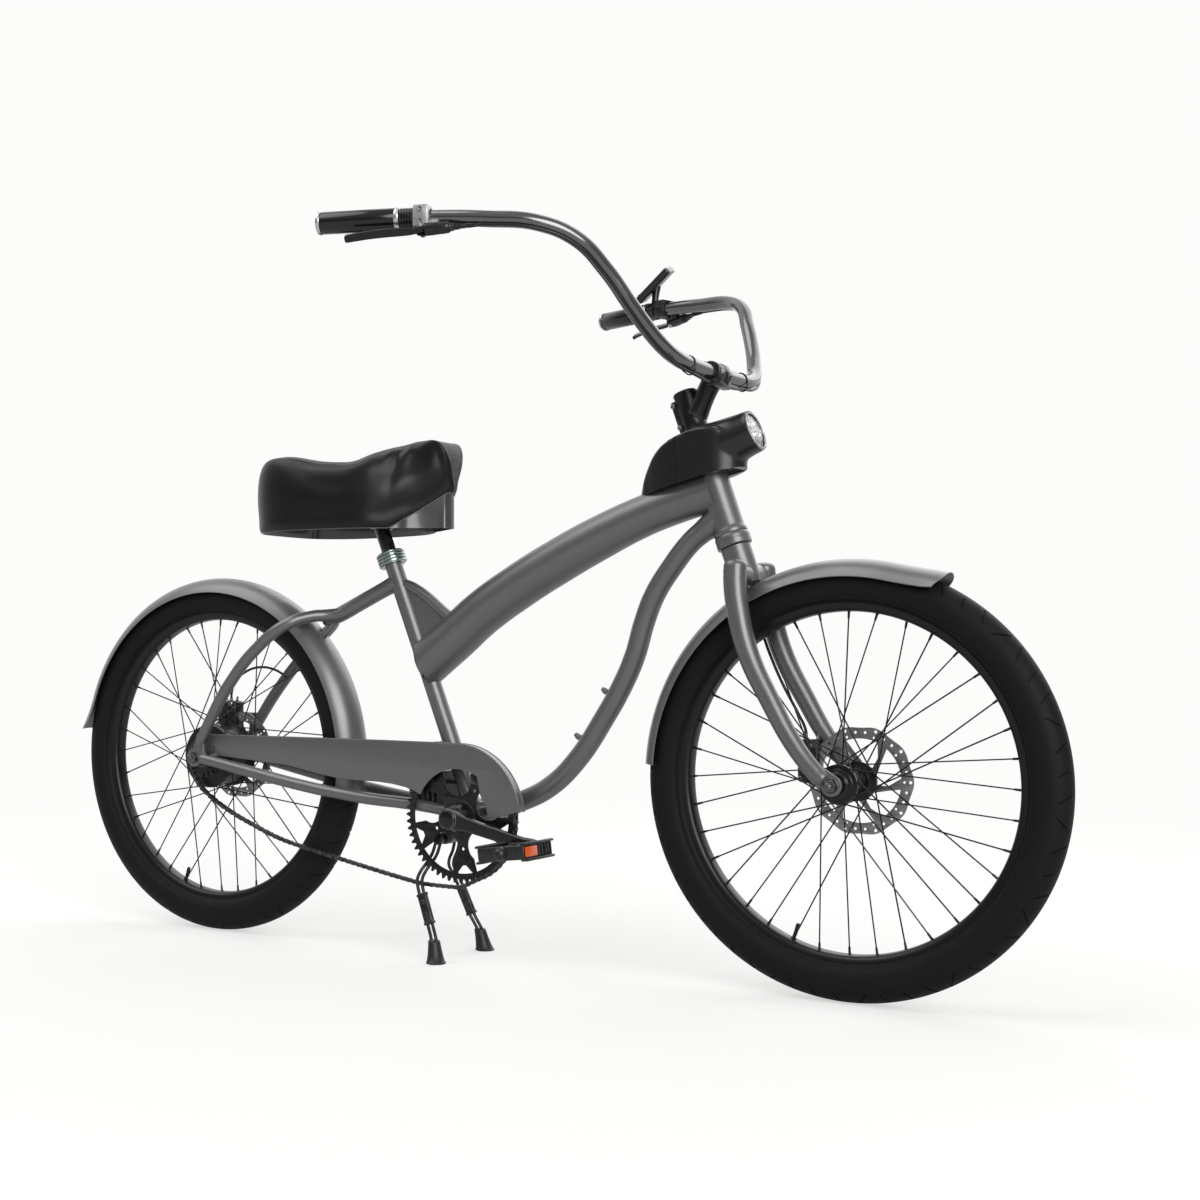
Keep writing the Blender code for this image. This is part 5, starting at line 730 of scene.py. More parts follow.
TOP_LINE = mm([(455, 495.5, 41.5), (500, 529, 41.3), (527, 549, 41.1), (560, 573.5, 41.1), (614, 615.5, 40.9),
    (696, 665, 40.2), (777, 707, 39.3), (856, 743.5, 37.6), (933, 774.5, 35), (1000, 795.5, 34.2),
    (1048, 807.5, 34.1), (1066, 811.5, 35.2), (1080, 814, 37.2)])
top_tube = tube("top_tube", [(x, 0, z) for x, z, r in TOP_LINE], [r for x, z, r in TOP_LINE], sides=16,
    smooth=8)
cut_through(top_tube, BRACKET + SEAT_UP * 0.28 + SEAT_FORWARD * 0.004, SEAT_FORWARD, 0.0022)
cut_through(top_tube, HEAD_POINT - HEAD_FORWARD * 0.002, -HEAD_FORWARD)
fit(top_tube, "frame", "frame_grey", frame_grey, ["top_tube"], crease=40)
battery_case = surface("battery_case", (0.02, 0.03, 0.06), 0.5, grain=800.0, bump=0.3)
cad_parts["battery_pack"].data.materials.clear()
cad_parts["battery_pack"].data.materials.append(battery_case)

DOWN_LINE = mm([(1084, 771, 23), (1062, 755, 21.2), (1050, 747, 19), (1028, 730, 18.1), (993, 690, 18),
    (961, 644, 18), (942, 600, 18), (924, 543, 18), (901, 494, 18), (864, 434, 18), (813, 364, 18),
    (759, 315, 18), (700, 286, 18), (640, 268, 18.3), (626, 264, 20), (603, 256.5, 20.5)])
down_parts = [tube("down_bar", [(x, 0, z) for x, z, r in DOWN_LINE], [r for x, z, r in DOWN_LINE], sides=12,
    smooth=8)]
STUD_OUT = Vector((-0.82, 0, 0.57)).normalized()
STUD = mm([(0, 30), (3.4, 30), (4, 29), (4, 26.2), (5.2, 25.8), (5.6, 20), (0, 20)])
for x, z in ((0.864, 0.484), (0.811, 0.405)):
    down_parts.append(turned("cage_stud", STUD, 20, Vector((x, 0, z)) - STUD_OUT * 0.0265, STUD_OUT,
        side=(0, 1, 0)))
fit(join("down_tube_bent", *down_parts), "frame", "frame_grey", frame_grey, ["down_tube"], crease=40)

SEAT_TUBE = mm([(0, 0), (19, 0), (19, 18), (17.2, 25), (16.1, 31), (16, 235), (16, 475), (16.3, 480),
    (16.3, 494), (14.2, 494.4), (14.2, 260), (0, 260)])
fit(turned("seat_tube_drawn", SEAT_TUBE, 56, BRACKET, SEAT_UP, side=(0, 1, 0)), "frame", "frame_grey",
    frame_grey, ["seat_tube"], crease=35)

GUSSET_TOP = mm([(427, 672), (442, 673.5), (456, 670.5), (480, 660), (502, 646), (522, 630.5), (540, 617),
    (556, 607.5), (576, 600)])
gusset_plate = plate("gusset_web", [GUSSET_TOP + mm([(545, 570), (502, 545), (480, 560), (452, 628)])], 0.006,
    round_over=0.001)
gusset_roll = tube("gusset_roll", [(x, 0, z) for x, z in GUSSET_TOP], 0.0102, sides=8, smooth=8)
fit(join("gusset_pressed", gusset_plate, gusset_roll), "frame", "frame_grey", frame_grey, ["gusset"], crease=40)

SHELL = mirrored(mm([(10, 36.5), (16, 36.5), (16.5, 37.5), (20, 37.5), (20.5, 36.5), (21.2, 36), (21.8, 35),
    (21.8, 29), (21, 28)]))
LUG = arc((0.545, 0.2135), 0.0115, 120, 290, 14) + mm([(575, 215), (600, 237), (590, 262), (579.5, 259),
    (562, 240)])
shell = turned("bracket_shell", SHELL, 64, BRACKET, side=(0, 0, 1), ring=True)
stand_lug = plate("stand_lug", [LUG, circle((0.545, 0.2135), 0.0064, 24)], 0.0155, round_over=0.0015)
fit(join("bracket_shell_turned", shell, stand_lug), "frame", "frame_grey", frame_grey, ["bottom_bracket"],
    crease=35)

MONO = mm([(433, 0, 677.8, 18), (421, 0, 672.8, 16), (405, 0, 666, 14.6), (350, 0, 641.8, 14.5),
    (302, 0, 620.5, 14.6), (286, 0, 614, 13.5), (270, 0, 607.5, 10.5), (261, 0, 604.5, 6)])
SEATSTAY = mm([(330, 1, 632, 7), (318, 2, 627, 11.8), (302, 4.5, 620.5, 12.2), (278, 16.5, 617.5, 11.8),
    (260, 34, 616, 11.2), (225, 70, 600, 11.2), (160, 80, 554, 11.2), (100, 80, 495, 11.2), (50, 76, 431, 11),
    (16, 73.7, 376, 9.5), (12, 73.7, 366, 6)])
CHAINSTAY = mm([(6, 73.7, 344, 5), (20, 73.5, 341.5, 9.5), (50, 71.5, 336, 10.8), (120, 68, 323, 11),
    (250, 62, 300, 11), (330, 57.5, 288.5, 11), (400, 48, 280, 11), (470, 34.5, 274.5, 11), (520, 30, 270, 11),
    (590, 27, 261, 11.2)])
DROPOUT = arc((0, WHEEL_RADIUS), 0.018, 100, 320, 20) + mm([(30, 330), (38, 337), (25, 356), (22, 390),
    (8, 390)])


def bent(name, line, side=1, sides=8):
    """A bent tube from its line of (x, y, z, radius), on the left, or mirrored to the right."""
    return tube(name, [(x, y * side, z) for x, y, z, r in line], [r for x, y, z, r in line], sides=sides,
        smooth=8)


stays = [bent("mono_stay", MONO)] + [bent("seatstay", SEATSTAY, side) for side in SIDES.values()]
fit(join("wishbone_welded", *stays), "frame", "frame_grey", frame_grey, ["rear_wishbone"], crease=40)
for label, side in SIDES.items():
    dropout = plate("dropout", [DROPOUT, circle((0, WHEEL_RADIUS), 0.0063, 24)], 0.0037, side * 0.0739,
        round_over=0.0008)
    fit(join(f"chainstay_{label}_bent", bent("chainstay", CHAINSTAY, side), dropout), "frame", "frame_grey",
        frame_grey, [f"chainstay_{label}"], crease=40)

# The seat collar is a machined aluminium clamp with four ribs turned round it, tinted faintly
# green. A bolt at the back closes its slot on the seat tube and the post.
collar_alloy = surface("collar_alloy", (0.36, 0.43, 0.405), 0.24, metallic=0.9, mottle=0.12, grain=1800.0,
    wear=0.5, bump=0.05, gloss_spread=0.1, rubbed=(0.75, 0.8, 0.78))
collar = mm([(14.4, 511.4), (22.5, 511.6), (24, 511)])
for rib in range(4):
    top = 0.5106 - rib * 0.006
    collar += [(0.0256, top - 0.0004), (0.0266, top - 0.0014), (0.0266, top - 0.0034), (0.0256, top - 0.0044),
        (0.0234, top - 0.005), (0.0234, top - 0.0056)]
collar += mm([(22.5, 486.8), (16.4, 486.8), (16.4, 494.8), (14.4, 495)])
fit(turned("collar_turned", collar, 72, BRACKET, SEAT_UP, side=(0, 1, 0), ring=True), "frame", "collar_alloy",
    collar_alloy, ["seat_collar"], crease=25)

# The fenders are long gutters pressed from aluminium sheet, sprayed in the frame's grey. Each
# edge is hemmed inwards and the free tip flares up. The front one is bolted under the fork
# crown with a boss, and the rear one under the stay.
FENDER_CROWN = 0.351
FENDER_ARC = 0.0455
FENDER_HALF = 0.042
FENDER_WALL = 0.0015


def gutter(name, start, end, rows, flare_at, flare_reach, flare_rise):
    """A gutter bent round the wheel between two angles: a rail is swept by a spin, then hemmed."""
    across = math.asin(FENDER_HALF / FENDER_ARC)
    section = []
    for step in range(25):
        angle = across * (step / 12 - 1)
        section.append((FENDER_CROWN - FENDER_ARC * (1 - math.cos(angle)), FENDER_ARC * math.sin(angle)))
    first, last = section[0], section[-1]
    section = [(first[0] - 0.001, first[1] + 0.0016), (first[0] - 0.0012, first[1] + 0.0004)] + section
    section += [(last[0] - 0.0012, last[1] - 0.0004), (last[0] - 0.001, last[1] - 0.0016)]
    turn = math.radians(start)
    line = [Vector((radius * math.cos(turn), width, radius * math.sin(turn))) for radius, width in section]
    piece = draw(name, [line], closed=False)
    edit_all(piece)
    bpy.ops.mesh.spin(steps=rows, angle=math.radians(end - start), center=(0, 0, 0), axis=(0, 1, 0))
    bpy.ops.object.mode_set(mode="OBJECT")
    for point in piece.data.vertices:
        radius = math.hypot(point.co.x, point.co.z)
        angle = math.degrees(math.atan2(point.co.z, point.co.x))
        if angle < -90:
            angle += 360
        share = max(0.0, 1 - abs(angle - flare_at) / flare_reach)
        stretch = 1 + flare_rise * share * share / radius
        point.co.x *= stretch
        point.co.z *= stretch
        width_share = abs(point.co.y) / FENDER_HALF
        tip_round = max(0.0, 1 - abs(angle - flare_at) / 3.5) * max(0.0, width_share - 0.55) ** 2 * 0.03
        if tip_round:
            slide = (-1 if end < start else 1) * tip_round / radius
            point.co = Matrix.Rotation(slide, 4, "Y") @ point.co
    clean(piece)
    outward = sum((face.normal.dot(Vector((face.center.x, 0, face.center.z))) for face in piece.data.polygons))
    return clean(walled(piece, FENDER_WALL, outward), 0.00001)


def boss(name, angle, foot, top, radius):
    """A turned boss or bolt on the gutter's crown at an angle."""
    out = Vector((math.cos(math.radians(angle)), 0, math.sin(math.radians(angle))))
    shape = [(0.0, foot), (radius * 1.25, foot), (radius * 1.2, foot + 0.0012), (radius, foot + 0.002),
        (radius, top - 0.001), (radius * 0.92, top), (0.0, top)]
    return turned(name, shape, 28, axis=out, side=(0, 1, 0))


front_gutter = gutter("front_gutter", 176.8, 63.5, 96, 63.5, 14.0, 0.013)
rear_gutter = gutter("rear_gutter", -11.0, 172.7, 150, 172.7, 12.0, 0.016)
fit(join("front_fender_pressed", front_gutter, boss("front_boss", 119, 0.349, 0.359, 0.008)), "steering",
    "frame_grey", frame_grey, ["front_fender"], crease=40, move=FRONT_HUB)
fit(join("rear_fender_pressed", rear_gutter, boss("rear_boss", 42.5, 0.349, 0.388, 0.0075)), "frame",
    "frame_grey", frame_grey, ["rear_fender"], crease=40, move=REAR_HUB)
for end_name, body, angle, hub in (("front", "steering", 119, FRONT_HUB), ("rear", "frame", 42.5, REAR_HUB)):
    out = Vector((math.cos(math.radians(angle)), 0, math.sin(math.radians(angle))))
    head = mm([(0, 345.8), (4.2, 346), (5, 346.6), (5.4, 348.4), (5.4, 349.2), (0, 349.2)])
    fit(turned(f"fender_bolt_{end_name}", head, 20, hub, out, side=(0, 1, 0)), body, "bolt_steel", axle_steel)

# The fork is welded steel in the frame's grey: a crown pressed on the steerer, a bar across it
# and two long legs that bow forward to slotted ends. It turns in the headset, whose lower cup
# is pressed in the head tube.
LOWER_CUP = mm([(15, -50.3), (26.8, -50.3), (28.2, -52), (29, -54.5), (29, -59), (28.4, -59.6), (28.4, -61.2),
    (29, -61.8), (29, -69), (28.2, -70.3), (15, -70.3)])
fit(turned("lower_cup_turned", LOWER_CUP, 64, HEAD_POINT, HEAD_UP, side=(0, 1, 0), ring=True), "frame",
    "black_alloy", frame_grey, ["headset_lower_cup"], crease=30)
CROWN = mm([(0, 200), (14.3, 200), (14.3, -70.8), (23.5, -70.9), (24.6, -72.2), (24.6, -100), (24, -125),
    (23.2, -133.5), (21.5, -136.5), (0, -137)])
crown = turned("crown", CROWN, 56, HEAD_POINT, HEAD_UP, side=(0, 1, 0))
bar_line = mm([(1128, -60, 679, 15), (1128, -48, 676, 17), (1127.5, -25, 673.5, 18), (1127.2, 0, 672.5, 18.5),
    (1127.5, 25, 673.5, 18), (1128, 48, 676, 17), (1128, 60, 679, 15)])
fit(join("fork_crown_pressed", crown, bent("crown_bar", bar_line)), "steering", "frame_grey", frame_grey,
    ["fork_crown"], crease=38)
FORK_LINE = mm([(1133, 57, 696.2, 4), (1133, 57.1, 695.2, 10.5), (1133, 57.3, 692.5, 15.5),
    (1133, 57.6, 687.5, 18), (1133.2, 58.6, 679, 18.5), (1134.5, 61.8, 656, 18.5), (1141, 65.6, 616, 18),
    (1160, 70, 548, 17.1), (1198, 73.3, 474, 15.9), (1243, 75.5, 400, 14.8), (1276, 76.3, 362, 14),
    (1288, 76.5, 351.5, 12.8), (1291.5, 76.5, 348.5, 7)])
FORK_END = arc((WHEELBASE, WHEEL_RADIUS), 0.0165, -150, 60, 20) + mm([(1285, 372), (1272, 363), (1280, 344)])
for label, side in SIDES.items():
    end_plate = plate("fork_end", [FORK_END, circle((WHEELBASE, WHEEL_RADIUS), 0.0053, 24)], 0.0037,
        side * 0.0739, round_over=0.001)
    leg_parts = [bent("fork_leg", FORK_LINE, side, sides=12), end_plate]
    fit(join(f"fork_leg_{label}_bent", *leg_parts), "steering", "frame_grey", frame_grey, [f"fork_leg_{label}"],
        crease=38)

# The stem is forged and turned aluminium in satin black. It clamps the steerer with two
# silver bolts at the back, and its forward neck clamps the bar between four silver bolts
# under a split cap. A small guide below it holds the two brake hoses.
stem_black = surface("stem_black", (0.0072, 0.0072, 0.0075), 0.27, metallic=0.35, wear=0.45, bump=0.06,
    grain=1100.0, rubbed=(0.13, 0.13, 0.135))
bolt_bright = surface("bolt_bright", (0.42, 0.42, 0.42), 0.25, metallic=0.95, wear=0.2, bump=0.06, grain=1600.0,
    mottle=0.18)
STEM = mm([(14.6, 116), (27, 116), (28.5, 117.2), (28.5, 124), (27.2, 126.8), (24, 130), (22.2, 134.5),
    (20.8, 140), (20.2, 146), (20, 170), (20.2, 198), (20.6, 199.5), (20.6, 201.5), (19.6, 203.2), (17.2, 204),
    (16.8, 203), (14.6, 203)])
BAR_CENTRE = Vector((1.072, 0, 1.0045))
neck_foot = HEAD_POINT + HEAD_UP * 0.16 + HEAD_FORWARD * 0.006
NECK_WAY = (BAR_CENTRE - neck_foot).normalized()
CLAMP_SIDE = NECK_WAY.cross(Vector((0, 1, 0)))
ACROSS = Vector((0, 1, 0))


def block(name, size, middle, turn=None, round_over=0.002, steps=2):
    """A block at its size and place, turned as given, with its edges rounded over."""
    take(floor)
    bpy.ops.object.select_all(action="DESELECT")
    bpy.ops.mesh.primitive_cube_add(size=1, location=(0, 0, 0))
    piece = bpy.context.object
    piece.name = piece.data.name = name
    piece.data.transform(Matrix.Diagonal((*size, 1)))
    if round_over:
        edit_all(piece)
        bpy.ops.mesh.bevel(offset=round_over, segments=steps, profile=0.5)
        bpy.ops.object.mode_set(mode="OBJECT")
    piece.data.transform(Matrix.Translation(middle) @ (turn or Matrix.Identity(4)))
    return piece


def frame_of(x_way, z_way):
    """The turn that lays a block's X and Z along two given ways."""
    z_way = Vector(z_way).normalized()
    x_way = (Vector(x_way) - z_way * z_way.dot(Vector(x_way))).normalized()
    return Matrix((x_way, z_way.cross(x_way), z_way)).transposed().to_4x4()


stem_parts = [turned("stem_clamp", STEM, 56, HEAD_POINT, HEAD_UP, side=(0, 1, 0), ring=True)]
neck_line = [neck_foot, neck_foot.lerp(BAR_CENTRE, 0.35), neck_foot.lerp(BAR_CENTRE, 0.7),
    neck_foot.lerp(BAR_CENTRE, 0.92)]
stem_parts.append(tube("stem_neck", neck_line, [0.0205, 0.0175, 0.017, 0.019], sides=10, smooth=6))
CLAMP = mirrored(mm([(12.7, 22.5), (17.2, 22.5), (18.3, 21.8), (18.7, 20.5), (18.7, 6), (18, 5)]))
stem_parts.append(turned("bar_clamp", CLAMP, 48, BAR_CENTRE, ACROSS, side=(0, 0, 1), ring=True))
stem_parts.append(block("pinch_ear", (0.0135, 0.019, 0.056),
    HEAD_POINT + HEAD_UP * 0.167 - HEAD_FORWARD * 0.0205, frame_of(HEAD_FORWARD, HEAD_UP), 0.003))
GUIDE = Vector((1.079, 0, 0.987))
stem_parts.append(block("hose_guide", (0.016, 0.06, 0.013), GUIDE, None, 0.003))
for across in (-0.015, 0.015):
    for rise in (-0.016, 0.016):
        lug_foot = BAR_CENTRE + ACROSS * across + CLAMP_SIDE * rise
        lug_shape = mm([(0, -9), (5.6, -9), (6.2, -7.8), (6.2, 7), (5.6, 8), (0, 8)])
        stem_parts.append(turned("clamp_lug", lug_shape, 20, lug_foot, NECK_WAY, side=(0, 1, 0)))
TOP_CAP = mm([(0, 204.8), (4, 205), (4.4, 204.2), (12, 205), (14, 204.4), (14.4, 202.4), (0, 202.2)])
stem_parts.append(turned("stem_cap", TOP_CAP, 40, HEAD_POINT, HEAD_UP, side=(0, 1, 0)))
fit(join("stem_forged", *stem_parts), "steering", "black_alloy", stem_black, ["stem"])
SOCKET_BOLT = mm([(0, 1.2), (1.8, 1.2), (2, 4.4), (3.8, 4.6), (4.2, 4), (4.3, 0.8), (4.3, 0), (0, 0)])
bolts = []
for height in (0.148, 0.186):
    for side in SIDES.values():
        bolts.append(turned("pinch_bolt", SOCKET_BOLT, 20, HEAD_POINT + HEAD_UP * height - HEAD_FORWARD * 0.0225
            + ACROSS * side * 0.0095, ACROSS * side, side=HEAD_UP))
for across in (-0.015, 0.015):
    for rise in (-0.016, 0.016):
        foot = BAR_CENTRE + ACROSS * across + CLAMP_SIDE * rise + NECK_WAY * 0.0078
        bolts.append(turned("clamp_bolt", SOCKET_BOLT, 20, foot, NECK_WAY, side=(0, 1, 0)))
fit(join("stem_bolts", *bolts), "steering", "bolt_steel", bolt_bright, ["stem"], crease=30)

# The headlight cowl is one black moulding clipped over the head of the top tube. It rises from
# a point on the tube, has full cheeks and a flat underside, and ends in a round barrel. The
# lamp's clear fluted lens sits in the barrel in a bright rim, over three small reflector cups.
cowl_black = surface("cowl_black", (0.0068, 0.0068, 0.0071), 0.3, mottle=0.1, grain=1300.0, wear=0.15,
    bump=0.05, specular=0.5, coat=0.15)
LENS_CENTRE = Vector((1.143, 0, 0.907))


def lofted(name, rings, closed_ends=True):
    """A skin over a row of rings: each ring is drawn, and the rings are bridged one to the next."""
    piece = draw(name, rings)
    mesh = piece.data
    count = len(rings[0])
    bpy.ops.object.mode_set(mode="EDIT")
    shape = bmesh.from_edit_mesh(mesh)
    shape.verts.ensure_lookup_table()
    for row in range(len(rings) - 1):
        for step in range(count):
            after = (step + 1) % count
            shape.faces.new([shape.verts[row * count + step], shape.verts[row * count + after],
                shape.verts[(row + 1) * count + after], shape.verts[(row + 1) * count + step]])
    bmesh.update_edit_mesh(mesh)
    if closed_ends:
        bpy.ops.mesh.select_all(action="DESELECT")
        bpy.ops.mesh.select_mode(type="EDGE")
        bpy.ops.mesh.select_non_manifold(extend=False, use_wire=False, use_multi_face=False,
            use_non_contiguous=False)
        bpy.ops.mesh.fill_holes(sides=0)
    bpy.ops.mesh.select_mode(type="VERT")
    bpy.ops.object.mode_set(mode="OBJECT")
    return clean(piece)


COWL_FLOOR = Vector((0.947, 0, 0.807))
COWL_FLOOR_UP = Vector((-0.227, 0, 0.9739))
side_view = mm([(937, 790), (939, 805), (944, 822), (951, 839), (959, 853), (969, 868), (980, 880), (992, 889),
    (1006, 897), (1022, 903.5), (1042, 909.5), (1062, 913), (1085, 913), (1105, 905), (1119, 890),
    (1126.2, 870), (1127.5, 830), (1080, 820), (1000, 803)])
plan_half = mm([(937, 8.5), (950, 20), (970, 31.5), (990, 39), (1010, 43.5), (1035, 46.2), (1065, 47)])
for step in range(1, 16):
    angle = math.radians(90 * step / 16)
    plan_half.append((1.065 + 0.0605 * math.sin(angle), 0.047 * math.cos(angle)))
plan_view = [(x, -w) for x, w in plan_half] + [(1.1255, 0.0)] + [(x, w) for x, w in reversed(plan_half)]
cowl = plate("cowl", [side_view], 0.06)
footprint = plate("footprint", [plan_view], 0.12, stand=Matrix.Translation((0, 0, 0.88)))
shaped("INTERSECT", cowl, footprint)
lamp_barrel = turned("lamp_barrel", mm([(0, -95), (45.5, -95), (44, -78), (40, -48), (36.2, -18), (33.7, 0),
    (0, 0)]), 64, LENS_CENTRE, HEAD_FORWARD, side=(0, 1, 0))
stem_collar = turned("stem_collar", mm([(0, 100), (40, 100), (36.5, 120), (34.5, 134), (0, 134)]), 64,
    HEAD_POINT, HEAD_UP, side=(0, 1, 0))
cowl = join("cowl", cowl, lamp_barrel, stem_collar)
grid = cowl.modifiers.new("grid", "REMESH")
grid.mode = "VOXEL"
grid.voxel_size = 0.0021
soften = cowl.modifiers.new("soften", "SMOOTH")
soften.factor = 0.6
soften.iterations = 14
applied(cowl)
cut_through(cowl, COWL_FLOOR, COWL_FLOOR_UP)
cut_through(cowl, LENS_CENTRE - HEAD_FORWARD * 0.012, -HEAD_FORWARD)
way_for_stem = turned("way", mm([(0, 100), (30, 100), (30, 180), (0, 180)]), 40, HEAD_POINT, HEAD_UP,
    side=(0, 1, 0))
way_for_tube = tube("way", [(x, 0, z) for x, z, r in TOP_LINE[6:]] + [(1.12, 0, 0.825)], 0.0352, sides=12,
    smooth=6)
way_for_head = turned("way", mm([(0, -20), (28.2, -20), (28.2, 120), (0, 120)]), 40, HEAD_POINT, HEAD_UP,
    side=(0, 1, 0))
shaped("DIFFERENCE", cowl, way_for_stem, way_for_tube, way_for_head)
tail = copy_of(cowl, "cowl_tail")
cut_through(cowl, Vector((1.0213, 0, 0.86)), Vector((1, 0, 0.06)))
cut_through(tail, Vector((1.0207, 0, 0.86)), Vector((-1, 0, -0.06)))
NOZZLE = mm([(30, -12.4), (35.7, -12.4), (35.2, -6), (34.5, -1), (33.8, 0.4), (32.6, 0.6), (31.4, 0.2),
    (30.6, -3), (30, -10)])
nozzle = turned("nozzle", NOZZLE, 72, LENS_CENTRE, HEAD_FORWARD, side=(0, 1, 0), ring=True)
fit(join("cowl_moulded", cowl, tail, nozzle), "frame", "black_plastic", cowl_black, ["headlight_cowl"],
    crease=38)

lens_clear = bpy.data.materials.new("lens_clear")
lens_clear.use_nodes = True
tree = lens_clear.node_tree
place = node(tree, "TexCoord").outputs["Object"]
flutes = node(tree, "TexWave", {"Scale": 70.0, "Vector": place}, bands_direction="Y").outputs["Fac"]
flute_relief = node(tree, "Bump", {"Strength": 0.4, "Distance": 0.0006, "Height": flutes}).outputs["Normal"]
wire(tree, tree.nodes["Principled BSDF"], {"Base Color": (0.93, 0.94, 0.95, 1), "Roughness": 0.04,
    "Transmission Weight": 1.0, "IOR": 1.45, "Normal": flute_relief})
LENS = mm([(0, 1.8), (12, 1.4), (22, 0.2), (27, -1), (29, -2.4), (29, -6), (27.2, -6), (26.2, -3.6), (20, -2),
    (0, -0.6)])
fit(turned("lens_moulded", LENS, 56, LENS_CENTRE, HEAD_FORWARD, side=(0, 1, 0)), "frame", "lens_glass",
    lens_clear, ["headlight_lens"], crease=35)
reflector_bright = surface("reflector_bright", (0.62, 0.63, 0.64), 0.16, metallic=0.95, mottle=0.05,
    grain=900.0, bump=0.04, wear=0.0)
pan = [turned("reflector_pan", mm([(0, -12), (27.5, -12), (28.8, -6.2), (27.8, -6.2), (26.2, -11.2),
    (0, -11.2)]), 56, LENS_CENTRE, HEAD_FORWARD, side=(0, 1, 0))]
for turn in (90, 210, 330):
    angle = math.radians(turn)
    spot = LENS_CENTRE + ACROSS * 0.0125 * math.cos(angle) + HEAD_UP * 0.0125 * math.sin(angle)
    cup = mm([(0, -10.8), (3, -10.5), (7.5, -8), (10, -4.8), (10.6, -4.8), (9, -11.2), (0, -11.8)])
    pan.append(turned("reflector_cup", cup, 32, spot, HEAD_FORWARD, side=(0, 1, 0)))
fit(join("lamp_reflector", *pan), "frame", "lens_glass", reflector_bright, ["headlight_lens"], crease=35)
RIM = mm([(29.2, 0.2), (29.8, 1.2), (30.6, 1.2), (31, 0.4), (31, -1), (29.2, -1)])
fit(turned("lamp_rim", RIM, 64, LENS_CENTRE, HEAD_FORWARD, side=(0, 1, 0), ring=True), "frame", "bolt_steel",
    bolt_bright, ["headlight_lens"], crease=40)

# The handlebar is one long bent tube of a cruiser: it rises from the stem, sweeps far out and
# comes back to the rider. It is steel, painted in the frame's grey with a glossier coat, and
# the clamps and the grips are slid on from its ends.
bar_grey = surface("bar_grey", (0.17, 0.171, 0.173), 0.17, metallic=0.9, mottle=0.08, grain=2200.0,
    gloss_spread=0.06, wear=0.2, bump=0.04, depth=0.0002, rubbed=(0.45, 0.45, 0.455))
BAR_HALF = mm([(1072, 0, 1004.5), (1071.8, 50, 1004.8), (1070.8, 100, 1006.5), (1069, 140, 1011),
    (1063, 176, 1024.5), (1051, 204, 1049), (1038, 228, 1078), (1012, 265, 1132.5), (985, 305, 1173.5),
    (940, 345, 1196.5), (869, 377, 1205.5), (800, 400, 1211)])
GRIP_INNER = Vector((0.739, 0.421, 1.2135))
BAR_END = Vector((0.612, 0.464, 1.2145))
bar_left = [Vector(point) for point in BAR_HALF] + [GRIP_INNER, BAR_END.lerp(GRIP_INNER, 0.05)]
bar_radii = [0.0127] * 11 + [0.0125, 0.0111, 0.0111]
bar_points = [Vector((p.x, -p.y, p.z)) for p in reversed(bar_left[1:])] + bar_left
fit(tube("handlebar_bent", bar_points, list(reversed(bar_radii[1:])) + bar_radii, sides=12, smooth=10),
    "steering", "frame_grey", bar_grey, ["handlebar"], crease=45)

# The grips are smooth black rubber sleeves with a bright polished ring at each end. Each
# brake lever hangs from a forged grey clamp beside the grip, with a black ribbed collar next
# to it, and its master cylinder lies along the bar and ends in the hose's barrel nut.
grip_rubber = surface("grip_rubber", (0.0065, 0.0063, 0.0063), 0.16, mottle=0.15, grain=900.0,
    gloss_spread=0.03, wear=0.05, bump=0.03, specular=0.5)
ring_bright = surface("ring_bright", (0.66, 0.66, 0.65), 0.3, metallic=1.0, mottle=0.08, grain=1800.0,
    bump=0.03, wear=0.0)
clamp_grey = surface("clamp_grey", (0.36, 0.365, 0.37), 0.34, metallic=0.6, mottle=0.15, grain=900.0, wear=0.3,
    bump=0.12)
lever_black = surface("lever_black", (0.0068, 0.0068, 0.0071), 0.24, metallic=0.35, mottle=0.12, grain=1200.0,
    wear=0.45, bump=0.06, rubbed=(0.12, 0.12, 0.125), coat=0.2)
hose_rubber = surface("hose_rubber", (0.007, 0.007, 0.0073), 0.26, mottle=0.12, grain=1500.0, wear=0.05,
    bump=0.08)
HOSE_STARTS = {}
LEVER_FRAMES = {}
